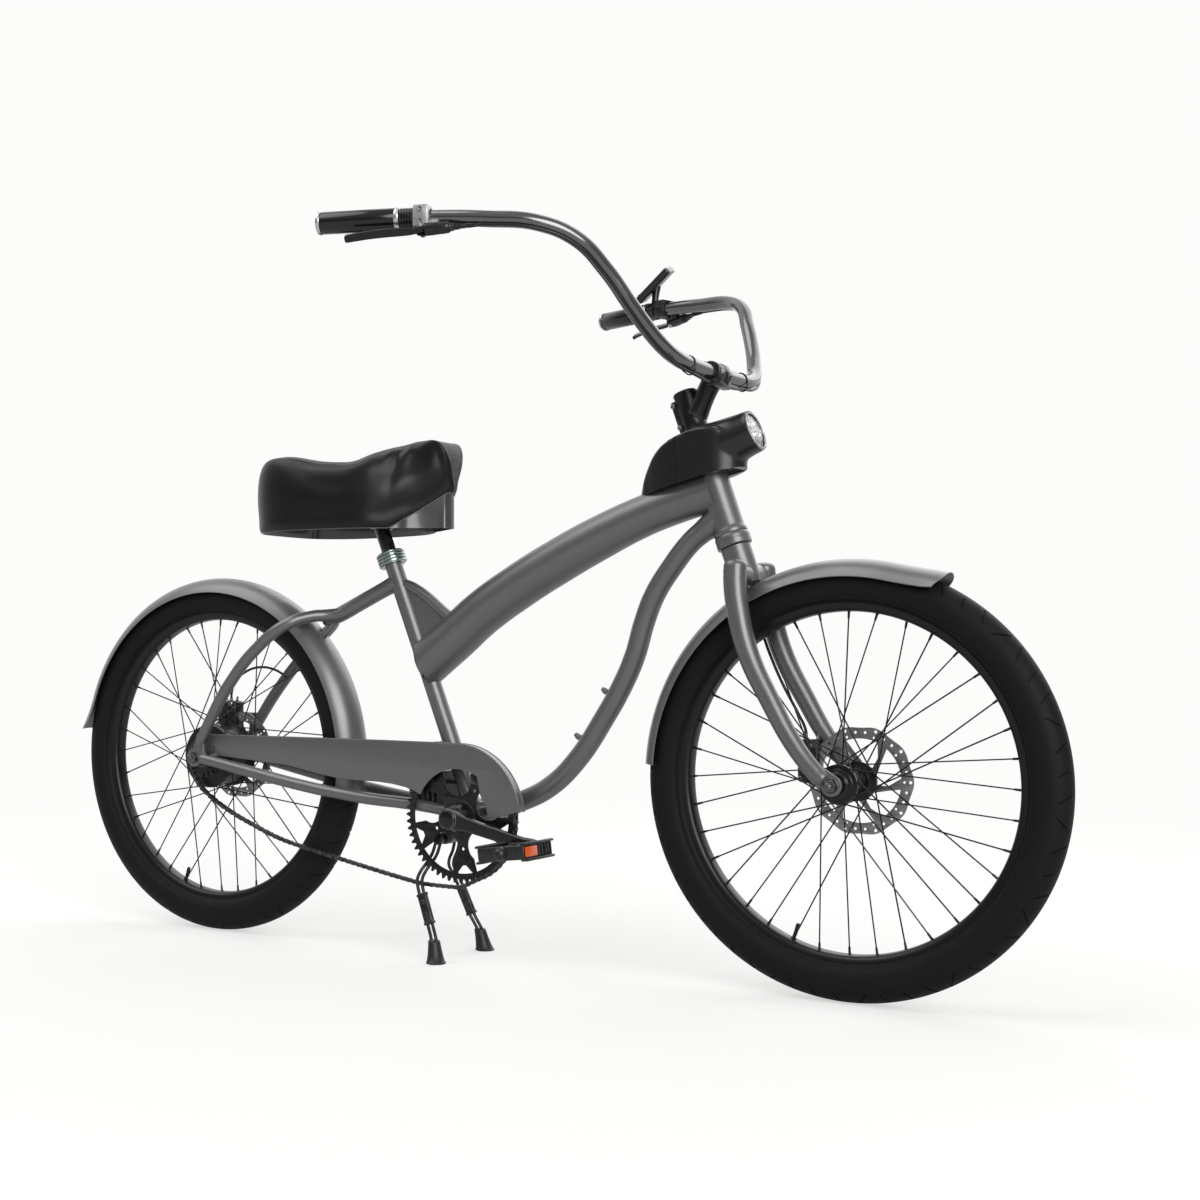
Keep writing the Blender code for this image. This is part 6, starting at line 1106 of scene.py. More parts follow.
for label, side in SIDES.items():
    end = Vector((BAR_END.x, side * BAR_END.y, BAR_END.z))
    inner = Vector((GRIP_INNER.x, side * GRIP_INNER.y, GRIP_INNER.z))
    along = (inner - end).normalized()
    outward = Vector((0, 0, 1)).cross(along)
    outward = outward * math.copysign(1.0, outward.y * side)
    up = along.cross(outward) * math.copysign(1.0, along.cross(outward).z)
    pull = outward * 0.7071 - up * 0.7071
    wide = along.cross(pull).normalized()
    length = (inner - end).length
    LEVER_FRAMES[label] = (inner, along, outward, up, pull, wide)

    def at(a, b, c):
        """A point by its place along the bar, outward and up from the grip's inner end."""
        return inner + along * a + outward * b + up * c

    sleeve = [(0.0112, 0.0068), (0.0165, 0.0068), (0.0172, 0.0078), (0.0172, length * 0.5),
        (0.0172, length - 0.0078), (0.0165, length - 0.0068), (0.0112, length - 0.0068)]
    fit(turned(f"grip_{label}_sleeve", sleeve, 64, end, along, side=up, ring=True), "steering", "grip_rubber",
        grip_rubber, [f"grip_{label}"], crease=35)
    ring_out = mm([(0, 0), (15, 0), (16.4, 0.6), (17.6, 1.8), (18, 3), (18, 5.8), (17.6, 6.7), (11.2, 6.7),
        (0, 6.7)])
    ring_in = [(0.0114, length - 0.0067), (0.0176, length - 0.0067), (0.018, length - 0.006),
        (0.018, length - 0.0008), (0.0176, length), (0.0114, length)]
    fit(join(f"grip_{label}_rings", turned("ring_out", ring_out, 56, end, along, side=up),
        turned("ring_in", ring_in, 56, end, along, side=up, ring=True)), "steering", "bolt_steel", ring_bright,
        [f"grip_{label}"], crease=35)

    ribs = [(0.0122, 0.0008)]
    for rib in range(4):
        start = 0.0012 + rib * 0.0046
        ribs += [(0.015, start), (0.016, start + 0.0006), (0.016, start + 0.003), (0.015, start + 0.0036)]
    ribs += mm([(15.8, 19.8), (15.8, 22.2), (12.2, 22.6)])
    if label == "right":
        fit(turned("collar_right_ribbed", ribs, 48, inner, along, side=up, ring=True), "steering",
            "black_alloy", lever_black, [f"lever_perch_{label}"], crease=30)
    clamp = mm([(12.8, 23.2), (15.8, 23.2), (16.5, 24.2), (16.5, 34), (16, 34.6), (16, 35.6), (16.5, 36.2),
        (16.5, 48), (15.8, 49), (12.8, 49)])
    perch = [turned("perch_clamp", clamp, 48, inner, along, side=up, ring=True)]
    perch_block = block("perch_block", (0.025, 0.0345, 0.0335), at(0.0362, 0.0015, 0.0), frame_of(along, up),
        0.0028)
    bar_way = turned("bar_way", mm([(0, 20), (12.9, 20), (12.9, 52), (0, 52)]), 40, inner, along, side=up)
    perch.append(shaped("DIFFERENCE", perch_block, bar_way))
    perch.append(block("perch_bridge", (0.033, 0.012, 0.025), at(0.048, 0.011, -0.013),
        frame_of(along, outward - up), 0.004))
    fit(join(f"perch_{label}_forged", *perch), "steering", "black_alloy",
        clamp_grey if label == "right" else stem_black, [f"lever_perch_{label}"])
    body_line = mm([(30, 19, -23.2, 6), (33, 19, -23.1, 8.8), (38, 19, -23, 9.7), (48, 18.8, -22.9, 9.9),
        (64, 17, -21.7, 9.5), (80, 15.2, -20.6, 8.8), (83.8, 14.9, -20.4, 6.8)])
    body = tube("master", [at(*p[:3]) for p in body_line], [p[3] for p in body_line], sides=8, smooth=4)
    slot_cut = block("slot", (0.024, 0.0108, 0.03), at(0.034, 0.024, -0.028), frame_of(along, pull), 0)
    shaped("DIFFERENCE", body, slot_cut)
    barrel = mm([(0, 82), (6.2, 82), (6.2, 88), (5, 89), (5, 96), (4, 97), (4, 106), (2.8, 106.8), (0, 106.8)])
    barrel_way = (at(0.1072, 0.0109, -0.0184) - at(0.086, 0.015, -0.0203)).normalized()
    barrel_foot = at(0.1072, 0.0109, -0.0184) - barrel_way * 0.1072
    master_parts = [body, turned("barrel_nut", barrel, 24, barrel_foot, barrel_way, side=up)]
    fit(join(f"master_{label}_cast", *master_parts), "steering", "black_alloy", lever_black,
        [f"lever_perch_{label}"], crease=30)
    pin = mm([(0, 6.6), (2.4, 6.6), (2.7, 6), (4, 6), (4.3, 5.4), (4.3, 4.4), (0, 4.4)])
    pin_shapes = [turned("pin", pin, 20, at(0.04, 0.02, -0.024) + wide * s * 0.0048, wide * s, side=along)
        for s in (-1, 1)]
    ear_bolt = mm([(0, 6), (2, 6), (2.2, 9), (4, 9.2), (4.4, 8.6), (4.4, 5.6), (0, 5.6)])
    for rise in (-0.0095, 0.0095):
        pin_shapes.append(turned("clamp_bolt", ear_bolt, 20, at(0.0362, 0.0128, rise), outward, side=along))
    fit(join(f"perch_{label}_bolts", *pin_shapes), "steering", "bolt_steel", bolt_bright,
        [f"lever_perch_{label}"], crease=30)
    HOSE_STARTS[label] = at(0.1072, 0.0109, -0.0184)

# The lever blades are forged aluminium, black and gently hooked, with a flat angled front and
# a thick rounded tip. Each turns on its pivot pin in the slot of its master cylinder.
BLADE = mm([(44, 19, -23, 3, 2.2), (43, 19, -23, 4.6, 4), (32, 20.5, -24, 4.6, 4.5), (22, 23.2, -26, 5.8, 3.6),
    (5, 24.5, -26.2, 7, 3), (-20, 25.2, -26.8, 7.3, 2.8), (-42, 26.8, -28.6, 7.1, 2.8),
    (-60, 28.7, -31.2, 6.8, 2.9), (-72, 29.8, -32.8, 6.6, 3.2), (-77, 30.4, -33.6, 6.4, 4.2),
    (-79.2, 30.8, -34, 5.4, 3.8), (-80, 31, -34.2, 3, 2)])
for label in SIDES:
    inner, along, outward, up, pull, wide = LEVER_FRAMES[label]
    rings = []
    for a, b, c, half_wide, half_thick in BLADE:
        centre = inner + along * a + outward * b + up * c
        rings.append([centre + wide * half_wide * w + pull * half_thick * t for w,
            t in ((1, 0.35), (0.92, 0.75), (0.6, 1), (0, 1.08), (-0.6, 1), (-0.92, 0.75), (-1, 0.35),
            (-1, -0.35), (-0.92, -0.75), (-0.6, -0.95), (0, -0.85), (0.6, -0.95), (0.92, -0.75), (1, -0.35))])
    blade = lofted(f"blade_{label}", rings)
    smoother = blade.modifiers.new("smoother", "SUBSURF")
    smoother.levels = smoother.render_levels = 2
    fit(join(f"brake_lever_{label}_blade", applied(blade)), f"brake_lever_{label}", "black_alloy", lever_black,
        [f"brake_lever_{label}"], crease=40)

# The display is a flat black case on a short neck, clamped beside the left grip and tilted to
# the rider. Its screen is a dark glass with a pale grey-green face.
left_along = (GRIP_INNER - BAR_END).normalized()
ring_clip = mm([(12.8, 4.5), (16.4, 4.5), (17, 5.3), (17, 19.7), (16.4, 20.5), (12.8, 20.5)])
screen_normal = Vector((-0.6, -0.36, 0.72)).normalized()
screen_turn = frame_of((0.78, 0, 0.64), screen_normal)
SCREEN_AT = Vector((0.75, 0.418, 1.265))
clip_middle = GRIP_INNER + left_along * 0.0125
display_parts = [turned("clip", ring_clip, 48, GRIP_INNER, left_along, side=(0, 0, 1), ring=True)]
display_parts.append(tube("display_neck", [clip_middle + Vector((0, 0, 0.01)),
    clip_middle + Vector((0, 0, 0.024)), SCREEN_AT - screen_normal * 0.004], [0.0085, 0.0066, 0.0085], sides=8))
case = block("case", (0.086, 0.052, 0.015), (0, 0, 0), None, 0.0045, 4)
take(case)
bpy.ops.object.mode_set(mode="EDIT")
bpy.ops.mesh.select_all(action="DESELECT")
bpy.ops.object.mode_set(mode="OBJECT")
for face in case.data.polygons:
    face.select = face.normal.z > 0.99 and face.area > 0.001
bpy.ops.object.mode_set(mode="EDIT")
bpy.ops.mesh.select_mode(type="FACE")
bpy.ops.mesh.inset(thickness=0.003)
bpy.ops.mesh.extrude_region_move(TRANSFORM_OT_translate={"value": (0, 0, -0.0009)})
bpy.ops.mesh.select_mode(type="VERT")
bpy.ops.object.mode_set(mode="OBJECT")
case.data.transform(Matrix.Translation(SCREEN_AT) @ screen_turn)
display_parts.append(case)
for number in range(3):
    key = block("key", (0.006, 0.013, 0.003), (-0.033, -0.014 + 0.014 * number, 0.0072), None, 0.0012)
    key.data.transform(Matrix.Translation(SCREEN_AT) @ screen_turn)
    display_parts.append(key)
fit(join("display_moulded", *display_parts), "steering", "black_plastic", cowl_black, ["display"])
screen_glass = surface("screen_glass", (0.52, 0.56, 0.53), 0.12, mottle=0.08, grain=500.0, bump=0.01, wear=0.0,
    coat=0.8, coat_roughness=0.04)
screen = block("screen", (0.06, 0.04, 0.0008), (0.006, 0, 0.0068), None, 0.0003)
screen.data.transform(Matrix.Translation(SCREEN_AT) @ screen_turn)
fit(join("display_screen", screen), "steering", "lens_glass", screen_glass, ["display"])

# The brake hoses are black 5 mm hydraulic line. Each leaves its lever's barrel nut, is held
# close along the bar by small clips, and runs into the guide under the stem. The parts inside
# the frame aren't seen. A short length comes out at each caliper.
HOSE_RADIUS = 0.0025
CLIP_AT = 2


def beside_bar(side):
    """Where the hose lies along the bar: on its forward lower side, just off the tube."""
    wish = Vector((0.45, side * 0.9, -1.0)).normalized()
    middle = [Vector((x, side * y, z)) for x, y, z in BAR_HALF] + [Vector((0.739, side * 0.421, 1.2135))]
    places = []
    for number in range(CLIP_AT, len(middle) - 1):
        tangent = (middle[number + 1] - middle[number - 1]).normalized()
        away = (wish - tangent * wish.dot(tangent)).normalized()
        places.append(middle[number] + away * (0.0127 + HOSE_RADIUS + 0.0008))
    return list(reversed(places[:-1]))


clips = []
for label, side in SIDES.items():
    route = beside_bar(side)
    last = GUIDE + Vector((0, side * 0.0303, 0))
    points = [HOSE_STARTS[label]] + route + [last + Vector((0, side * 0.022, 0)), last,
        last - Vector((0, side * 0.006, 0))]
    fit(tube(f"brake_hose_{label}_line", points, HOSE_RADIUS, sides=4, smooth=8), "steering", "hose_rubber",
        hose_rubber, [f"brake_hose_{label}"], crease=0)
    boot = mm([(0, 0), (3.6, 0), (3.8, 4), (3, 18), (2.6, 19), (0, 19)])
    start = HOSE_STARTS[label]
    fit(turned(f"hose_boot_{label}", boot, 20, start, (route[0] - start).normalized(), side=(0, 0, 1)),
        "steering", "hose_rubber", hose_rubber, crease=40)
    middle = Vector((BAR_HALF[CLIP_AT][0], side * BAR_HALF[CLIP_AT][1], BAR_HALF[CLIP_AT][2]))
    tangent = Vector(BAR_HALF[CLIP_AT + 1]) - Vector(BAR_HALF[CLIP_AT - 1])
    tangent.y *= side
    tangent.normalize()
    away = (route[-1] - middle).normalized()
    sideways = tangent.cross(away)
    band = []
    for step in range(32):
        angle = math.tau * step / 32
        reach = 0.0134 + 0.0056 * max(0.0, math.cos(angle)) ** 6
        band.append(middle + (away * math.cos(angle) + sideways * math.sin(angle)) * reach)
    clips.append(tube("clip", band, 0.0011, sides=2, smooth=0, closed=True, caps=False))
fit(join("hose_clips", *clips), "steering", "hose_rubber", hose_rubber, crease=45)
FRONT_HOSE = mm([(1133, 60, 640), (1120, 65.5, 620), (1119, 67, 602), (1126, 69, 578), (1139, 70.5, 542),
    (1160, 72.5, 495), (1186, 73.5, 448), (1200, 70, 423), (1203.5, 65.5, 408.6), (1203.5, 64, 402)])
REAR_HOSE = mm([(-26, 62, 454), (-25, 62, 466), (-16, 62, 488), (10, 63, 508), (45, 65, 518), (80, 68, 514),
    (105, 73, 502), (112, 80, 497)])
fit(tube("front_hose_line", FRONT_HOSE, HOSE_RADIUS, sides=4, smooth=10), "steering", "hose_rubber",
    hose_rubber, ["front_brake_hose"], crease=0)
grommet = mm([(0, 0), (6.2, 0), (6.4, 1.4), (4, 4), (3, 6), (0, 6)])
rear_line = [tube("rear_line", REAR_HOSE, HOSE_RADIUS, sides=4, smooth=10)]
rear_line.append(turned("grommet", grommet, 20, (0.108, 0.0745, 0.4995), (-0.55, -0.75, 0.35), side=(0, 0, 1)))
fit(join("rear_hose_line", *rear_line), "frame", "hose_rubber", hose_rubber, ["rear_brake_hose"], crease=0)

# Each hydraulic brake caliper is two forged halves bolted over the rotor, black, with a round
# piston cover on each side. It is held by an arm to the left fork leg or to the left seatstay.
caliper_black = surface("caliper_black", (0.0075, 0.0075, 0.0078), 0.3, metallic=0.35, mottle=0.15, grain=900.0,
    wear=0.5, bump=0.12, rubbed=(0.12, 0.12, 0.125))
for end_name, hub, disc, centre, size, arm_to, piston, body in (("front", FRONT_HUB, 0.052, (1.214, 0.372),
        (0.036, 0.03, 0.07), (1.248, 0.0755, 0.393), (0.0, -0.016), "steering"),
        ("rear", REAR_HUB, 0.0545, (-0.026, 0.422), (0.048, 0.03, 0.056), (0.042, 0.075, 0.42), (-0.004, 0.004),
        "frame")):
    middle = Vector((centre[0], disc + 0.006, centre[1]))
    halves = block("halves", size, middle, None, 0.0055, 3)
    way = mm([(50, -1.7), (89.7, -1.7), (89.7, 1.7), (50, 1.7)])
    shaped("DIFFERENCE", halves, turned("way", way, 64, hub + ACROSS * disc, ACROSS, ring=True))
    spot = middle + Vector((piston[0], 0, piston[1]))
    cover = mm([(0, 24.4), (6, 24.4), (6.6, 23.6), (10.5, 23.4), (11.8, 22.8), (12.8, 20.5), (15, 20), (15, 12),
        (0, 12)])
    inside = mm([(0, -16.8), (10, -16.6), (11.2, -15.5), (12, -13), (0, -13)])
    made = [halves, turned("cover", cover, 40, spot, ACROSS), turned("cover", inside, 40, spot, ACROSS)]
    made.append(tube("arm", [middle + ACROSS * 0.011, (middle + ACROSS * 0.011).lerp(Vector(arm_to), 0.55),
        Vector(arm_to)], [0.0078, 0.0062, 0.0072], sides=6))
    fit(join(f"{end_name}_caliper_forged", *made), body, "black_alloy", caliper_black, [f"{end_name}_caliper"])
    screws = []
    for across, rise in ((0.3, 0.38), (-0.3, 0.38), (0.3, -0.4), (-0.3, -0.4)):
        for side in (1, -1):
            foot = middle + Vector((size[0] * across, side * 0.0148, size[2] * rise))
            screws.append(turned("screw", SOCKET_BOLT, 16, foot, ACROSS * side))
    bleed = mm([(0, 0), (3.4, 0), (3.4, 4), (2.2, 4.6), (2.2, 7.5), (2.8, 8.2), (2, 10.5), (0, 10.8)])
    screws.append(turned("bleed", bleed, 6, middle + Vector((size[0] * 0.3, 0.002, size[2] * 0.48)),
        (0.25, 0, 1)))
    banjo = mm([(0, 0), (4.5, 0), (4.5, 3), (3.2, 3.6), (3.2, 8.5), (0, 9)])
    screws.append(turned("banjo", banjo, 6,
        middle + Vector((-size[0] * 0.25 if end_name == "front" else 0, 0.002, size[2] * 0.48)), (0, 0, 1)))
    fit(join(f"{end_name}_caliper_screws", *screws), body, "bolt_steel", bolt_bright, [f"{end_name}_caliper"],
        crease=30)

# The chainring is cut from steel plate and blacked: fifty-six teeth on a rim that five forked
# arms carry, with wide round pockets between them. It is riveted to a boss on the right crank.
# The eighteen-tooth sprocket is screwed on the motor's freewheel.
drive_black = surface("drive_black", (0.0075, 0.0075, 0.0078), 0.28, metallic=0.4, mottle=0.18, grain=1300.0,
    wear=0.75, bump=0.08, rubbed=(0.2, 0.2, 0.205))
CRANK_ANGLE = math.radians(-13)
CRANK_LENGTH = 0.176
CHAIN_PITCH = 0.0127
CHAIN_Y = -0.047
RING_RADIUS = 0.1133
SPROCKET_RADIUS = 0.0366


def toothed(teeth, pitch):
    """The outline of a chain wheel: rounded seats for the rollers between pointed teeth."""
    outline = []
    for number in range(teeth):
        for share, reach in ((-0.5, -0.004), (-0.4, -0.0036), (-0.3, -0.002), (-0.22, 0.001), (-0.11, 0.0036),
                (0.0, 0.0044), (0.11, 0.0036), (0.22, 0.001), (0.3, -0.002), (0.4, -0.0036)):
            angle = math.tau * (number + share) / teeth
            outline.append(((pitch + reach) * math.cos(angle), (pitch + reach) * math.sin(angle)))
    return outline


ring_holes = [circle((0, 0), 0.011, 32)]
for arm in range(5):
    middle = math.degrees(CRANK_ANGLE) + 36 + 72 * arm
    turn = math.radians(middle)
    pocket = (0.064 * math.cos(turn), 0.064 * math.sin(turn))
    ring_holes.append(arc((0, 0), 0.0995, middle - 21.5, middle + 21.5, 16) + arc(pocket, 0.0275, middle + 74,
        middle + 286, 30))
    root = middle + 36
    ring_holes.append(arc((0, 0), 0.0995, root - 9.5, root + 9.5, 8) + arc((0, 0), 0.085, root + 2.5,
        root - 2.5, 5))
    bolt_at = math.radians(root)
    ring_holes.append(circle((0.056 * math.cos(bolt_at), 0.056 * math.sin(bolt_at)), 0.003, 16))
ring_plate = plate("ring_plate", [toothed(56, RING_RADIUS)] + ring_holes, 0.0016, CHAIN_Y, round_over=0.00045)
ring_plate.data.transform(Matrix.Translation((BRACKET.x, 0, BRACKET.z)))
BOSS = mm([(9, -43), (22.5, -43), (23.5, -44), (30, -44.8), (30, -48.8), (26.2, -50), (25, -52), (24.5, -64),
    (22.5, -70), (21, -73.5), (9, -73.5)])
boss_ring = turned("ring_boss", BOSS, 56, BRACKET, ACROSS, ring=True)
fit(join("chainring_cut", ring_plate, boss_ring), "crank", "black_steel", drive_black, ["chainring"], crease=28)
cog = plate("cog", [toothed(18, SPROCKET_RADIUS), circle((0, 0), 0.02, 40)], 0.0016, CHAIN_Y, round_over=0.0004)
cog.data.transform(Matrix.Translation(REAR_HUB))
BOSS = mm([(17.2, -42.2), (23.8, -42.2), (24.5, -43), (24.5, -51.2), (23.5, -52.4), (21, -52.8), (20.8, -53.8),
    (17.2, -54)])
fit(join("sprocket_cut", cog, turned("cog_boss", BOSS, 48, REAR_HUB, ACROSS, ring=True)), "rear_sprocket",
    "black_steel", drive_black, ["rear_sprocket"], crease=28)

# The roller chain is blacked steel, 12.7 mm from pin to pin: narrow inner links with rollers
# between wider outer links. It wraps the chainring, runs straight along the top inside the
# guard and hangs slack below. It is one link shape and one roller copied round the path.
chain_steel = surface("chain_steel", (0.02, 0.02, 0.0205), 0.3, metallic=0.75, mottle=0.3, grain=700.0,
    wear=0.4, bump=0.15, gloss_spread=0.2, rubbed=(0.22, 0.22, 0.22))
LOWER_RUN = mm([(607, 133.8), (562, 132.2), (517, 134), (470, 141), (380, 157), (290, 174), (196, 193),
    (119, 219), (62, 242), (12, 269), (-20, 296)])
tilt = math.asin((RING_RADIUS - SPROCKET_RADIUS) / (BRACKET - REAR_HUB).length)
top_normal = math.pi / 2 + math.atan2(BRACKET.z - REAR_HUB.z, BRACKET.x - REAR_HUB.x) + tilt
route = []
for step in range(61):
    angle = top_normal + (math.radians(-72) - top_normal) * step / 60
    route.append((BRACKET.x + RING_RADIUS * math.cos(angle), BRACKET.z + RING_RADIUS * math.sin(angle)))
meet = math.radians(205)
slack = [route[-1]] + LOWER_RUN + [(SPROCKET_RADIUS * math.cos(meet),
    WHEEL_RADIUS + SPROCKET_RADIUS * math.sin(meet))]
slack_curve = []
for number in range(1, len(slack) - 2):
    p0, p1, p2, p3 = (Vector(slack[n]) for n in (number - 1, number, number + 1, number + 2))
    for step in range(8):
        t = step / 8
        slack_curve.append(tuple(0.5 * ((2 * p1) + (p2 - p0) * t + (2 * p0 - 5 * p1 + 4 * p2 - p3) * t ** 2
            + (3 * p1 - p0 - 3 * p2 + p3) * t ** 3)))
route += slack_curve + [slack[-2]]
for step in range(25):
    angle = meet + (top_normal - meet) * step / 24
    route.append((SPROCKET_RADIUS * math.cos(angle), WHEEL_RADIUS + SPROCKET_RADIUS * math.sin(angle)))
loop = [Vector(point) for point in route + [route[0]]]
runs = [(b - a).length for a, b in zip(loop, loop[1:])]
LINKS = 2 * round(sum(runs) / CHAIN_PITCH / 2)
pins, number, walked = [], 0, 0.0
for link in range(LINKS):
    target = link * sum(runs) / LINKS
    while walked + runs[number] < target:
        walked += runs[number]
        number += 1
    pins.append(loop[number].lerp(loop[number + 1], (target - walked) / runs[number]))
side_outline = arc((0.00635, 0), 0.0041, -62, 62, 5) + [(0.0, 0.0027)] + arc((-0.00635, 0), 0.0041, 118, 242,
    5) + [(0.0, -0.0027)]
outer = join("outer", plate("p", [side_outline], 0.00045, -0.00385), plate("p", [side_outline], 0.00045,
    0.00385))
inner_link = join("inner", plate("p", [side_outline], 0.00045, -0.00275), plate("p", [side_outline], 0.00045,
    0.00275))
ROLLER = mm([(0, -4.6), (1.8, -4.6), (1.8, -2.4), (3.9, -2.2), (3.9, 2.2), (1.8, 2.4), (1.8, 4.6), (0, 4.6)])
roller = turned("roller", ROLLER, 10)
links = []
for number, pin in enumerate(pins):
    after = pins[(number + 1) % len(pins)]
    turn = Matrix.Rotation(-math.atan2(after.y - pin.y, after.x - pin.x), 4, "Y")
    middle = (pin + after) / 2
    links.append(copy_of(outer if number % 2 else inner_link, "link", (middle.x, CHAIN_Y, middle.y), turn))
    links.append(copy_of(roller, "roller", (pin.x, CHAIN_Y, pin.y)))
for pattern in (outer, inner_link, roller):
    bpy.data.objects.remove(pattern)
fit(join("chain_links", *links), "frame", "chain_steel", chain_steel, ["chain"], crease=30)

# The crank axle is a square-ended steel spindle in sealed bearings. The crank arms are forged
# aluminium in satin black, with a bevel along each edge, a capped bolt over the spindle and a
# bright washer behind the cap. A steel pedal spindle is screwed in the end of each.
fit(turned("crank_spindle", mm([(0, -86), (8, -86), (9, -80), (9, 80), (8, 86), (0, 86)]), 32, BRACKET, ACROSS),
    "crank", "bolt_steel", axle_steel, ["crank_axle"], crease=30)
crank_black = surface("crank_black", (0.007, 0.007, 0.0073), 0.25, metallic=0.4, mottle=0.12, grain=1200.0,
    wear=0.5, bump=0.05, rubbed=(0.17, 0.17, 0.175), coat=0.2)
CRANK_WAY = Vector((math.cos(CRANK_ANGLE), 0, math.sin(CRANK_ANGLE)))
ARM = [(-0.098, 0.005, 0.5), (-0.092, 0.009, 0.8), (-0.078, 0.013, 0.95), (-0.055, 0.016, 1.0),
    (-0.02, 0.018, 1.0), (0.02, 0.0182, 1.0), (0.07, 0.017, 1.0), (0.13, 0.015, 0.95), (0.2, 0.0132, 0.86),
    (0.3, 0.0122, 0.8), (0.6, 0.0112, 0.76), (0.85, 0.0108, 0.75), (0.91, 0.0122, 0.75), (0.96, 0.0136, 0.75),
    (1.0, 0.0138, 0.75), (1.04, 0.0122, 0.74), (1.065, 0.0092, 0.7), (1.078, 0.005, 0.55)]
SECTION = [(1, 0.35), (0.94, 0.72), (0.78, 0.95), (0.5, 1.0), (0.0, 0.96), (-0.5, 1.0), (-0.78, 0.95),
    (-0.94, 0.72), (-1, 0.35), (-1, -0.35), (-0.94, -0.72), (-0.78, -0.95), (-0.5, -1.0), (0.0, -1.0),
    (0.5, -1.0), (0.78, -0.95), (0.94, -0.72), (1, -0.35)]
for label, side in SIDES.items():
    reach = CRANK_WAY * CRANK_LENGTH * (1 if label == "right" else -1)
    tip = BRACKET + reach
    upward = Vector((-reach.z, 0, reach.x)).normalized()
    middle = Vector((0, side * 0.082, 0))
    rings = [[BRACKET + reach * share + middle + upward * half_height * u + Vector(
        (0, side * 0.008 * width_share * v, 0)) for u, v in SECTION] for share, half_height, width_share in ARM]
    arm_parts = [lofted("arm", rings)]
    cap = mm([(0, 12.8), (10, 12.8), (11.2, 12.4), (14.6, 12.2), (15.8, 11.2), (16.5, 9.8), (16.5, 0), (0, 0)])
    arm_parts.append(turned("cap", cap, 48, BRACKET + middle, ACROSS * side))
    eye = mm([(0, 0), (10, 0), (10.8, 5), (10.8, 8.5), (10, 9), (0, 9)])
    arm_parts.append(turned("eye", eye, 36, tip + middle - ACROSS * side * 0.0005, ACROSS * side))
    fit(join(f"crank_arm_{label}_forged", *arm_parts), "crank", "black_alloy", crank_black,
        [f"crank_arm_{label}"], crease=26)
    bright = [turned("cap_washer", mm([(15, 7.8), (18.4, 7.8), (18.6, 8.8), (17.6, 9.4), (15, 9.4)]), 48,
        BRACKET + middle, ACROSS * side, ring=True)]
    rod = mm([(0, 0), (6.5, 0), (6.5, 8), (9.2, 8.2), (9.2, 12), (6.5, 12.4), (6.5, 95.5), (5.8, 97.5),
        (0, 97.5)])
    bright.append(turned("pedal_spindle", rod, 24, tip + middle, ACROSS * side))
    fit(join(f"crank_arm_{label}_bolts", *bright), "crank", "bolt_steel", axle_steel, [f"crank_arm_{label}"],
        crease=30)

# The pedals are black moulded nylon: a barrel round the spindle, two I-section rails with ribs
# along their webs, end walls, and a dust cap at the outer end. An orange reflector is set in
# the outer half of each rail's groove.
pedal_black = surface("pedal_black", (0.0072, 0.0072, 0.0075), 0.33, mottle=0.15, grain=700.0, wear=0.5,
    bump=0.25, rubbed=(0.055, 0.055, 0.056))
reflector_orange = surface("reflector_orange", (0.75, 0.105, 0.012), 0.22, mottle=0.1, grain=500.0, wear=0.0,
    bump=0.05, coat=0.5, coat_roughness=0.06)
tree = reflector_orange.node_tree
place = node(tree, "TexCoord").outputs["Object"]
cells = node(tree, "TexVoronoi", {"Scale": 420.0, "Vector": place}).outputs["Distance"]
wire(tree, tree.nodes["relief"], {"Height": cells, "Strength": 0.5})
PEDAL_TURN = Matrix.Rotation(math.radians(-7), 4, "Y")
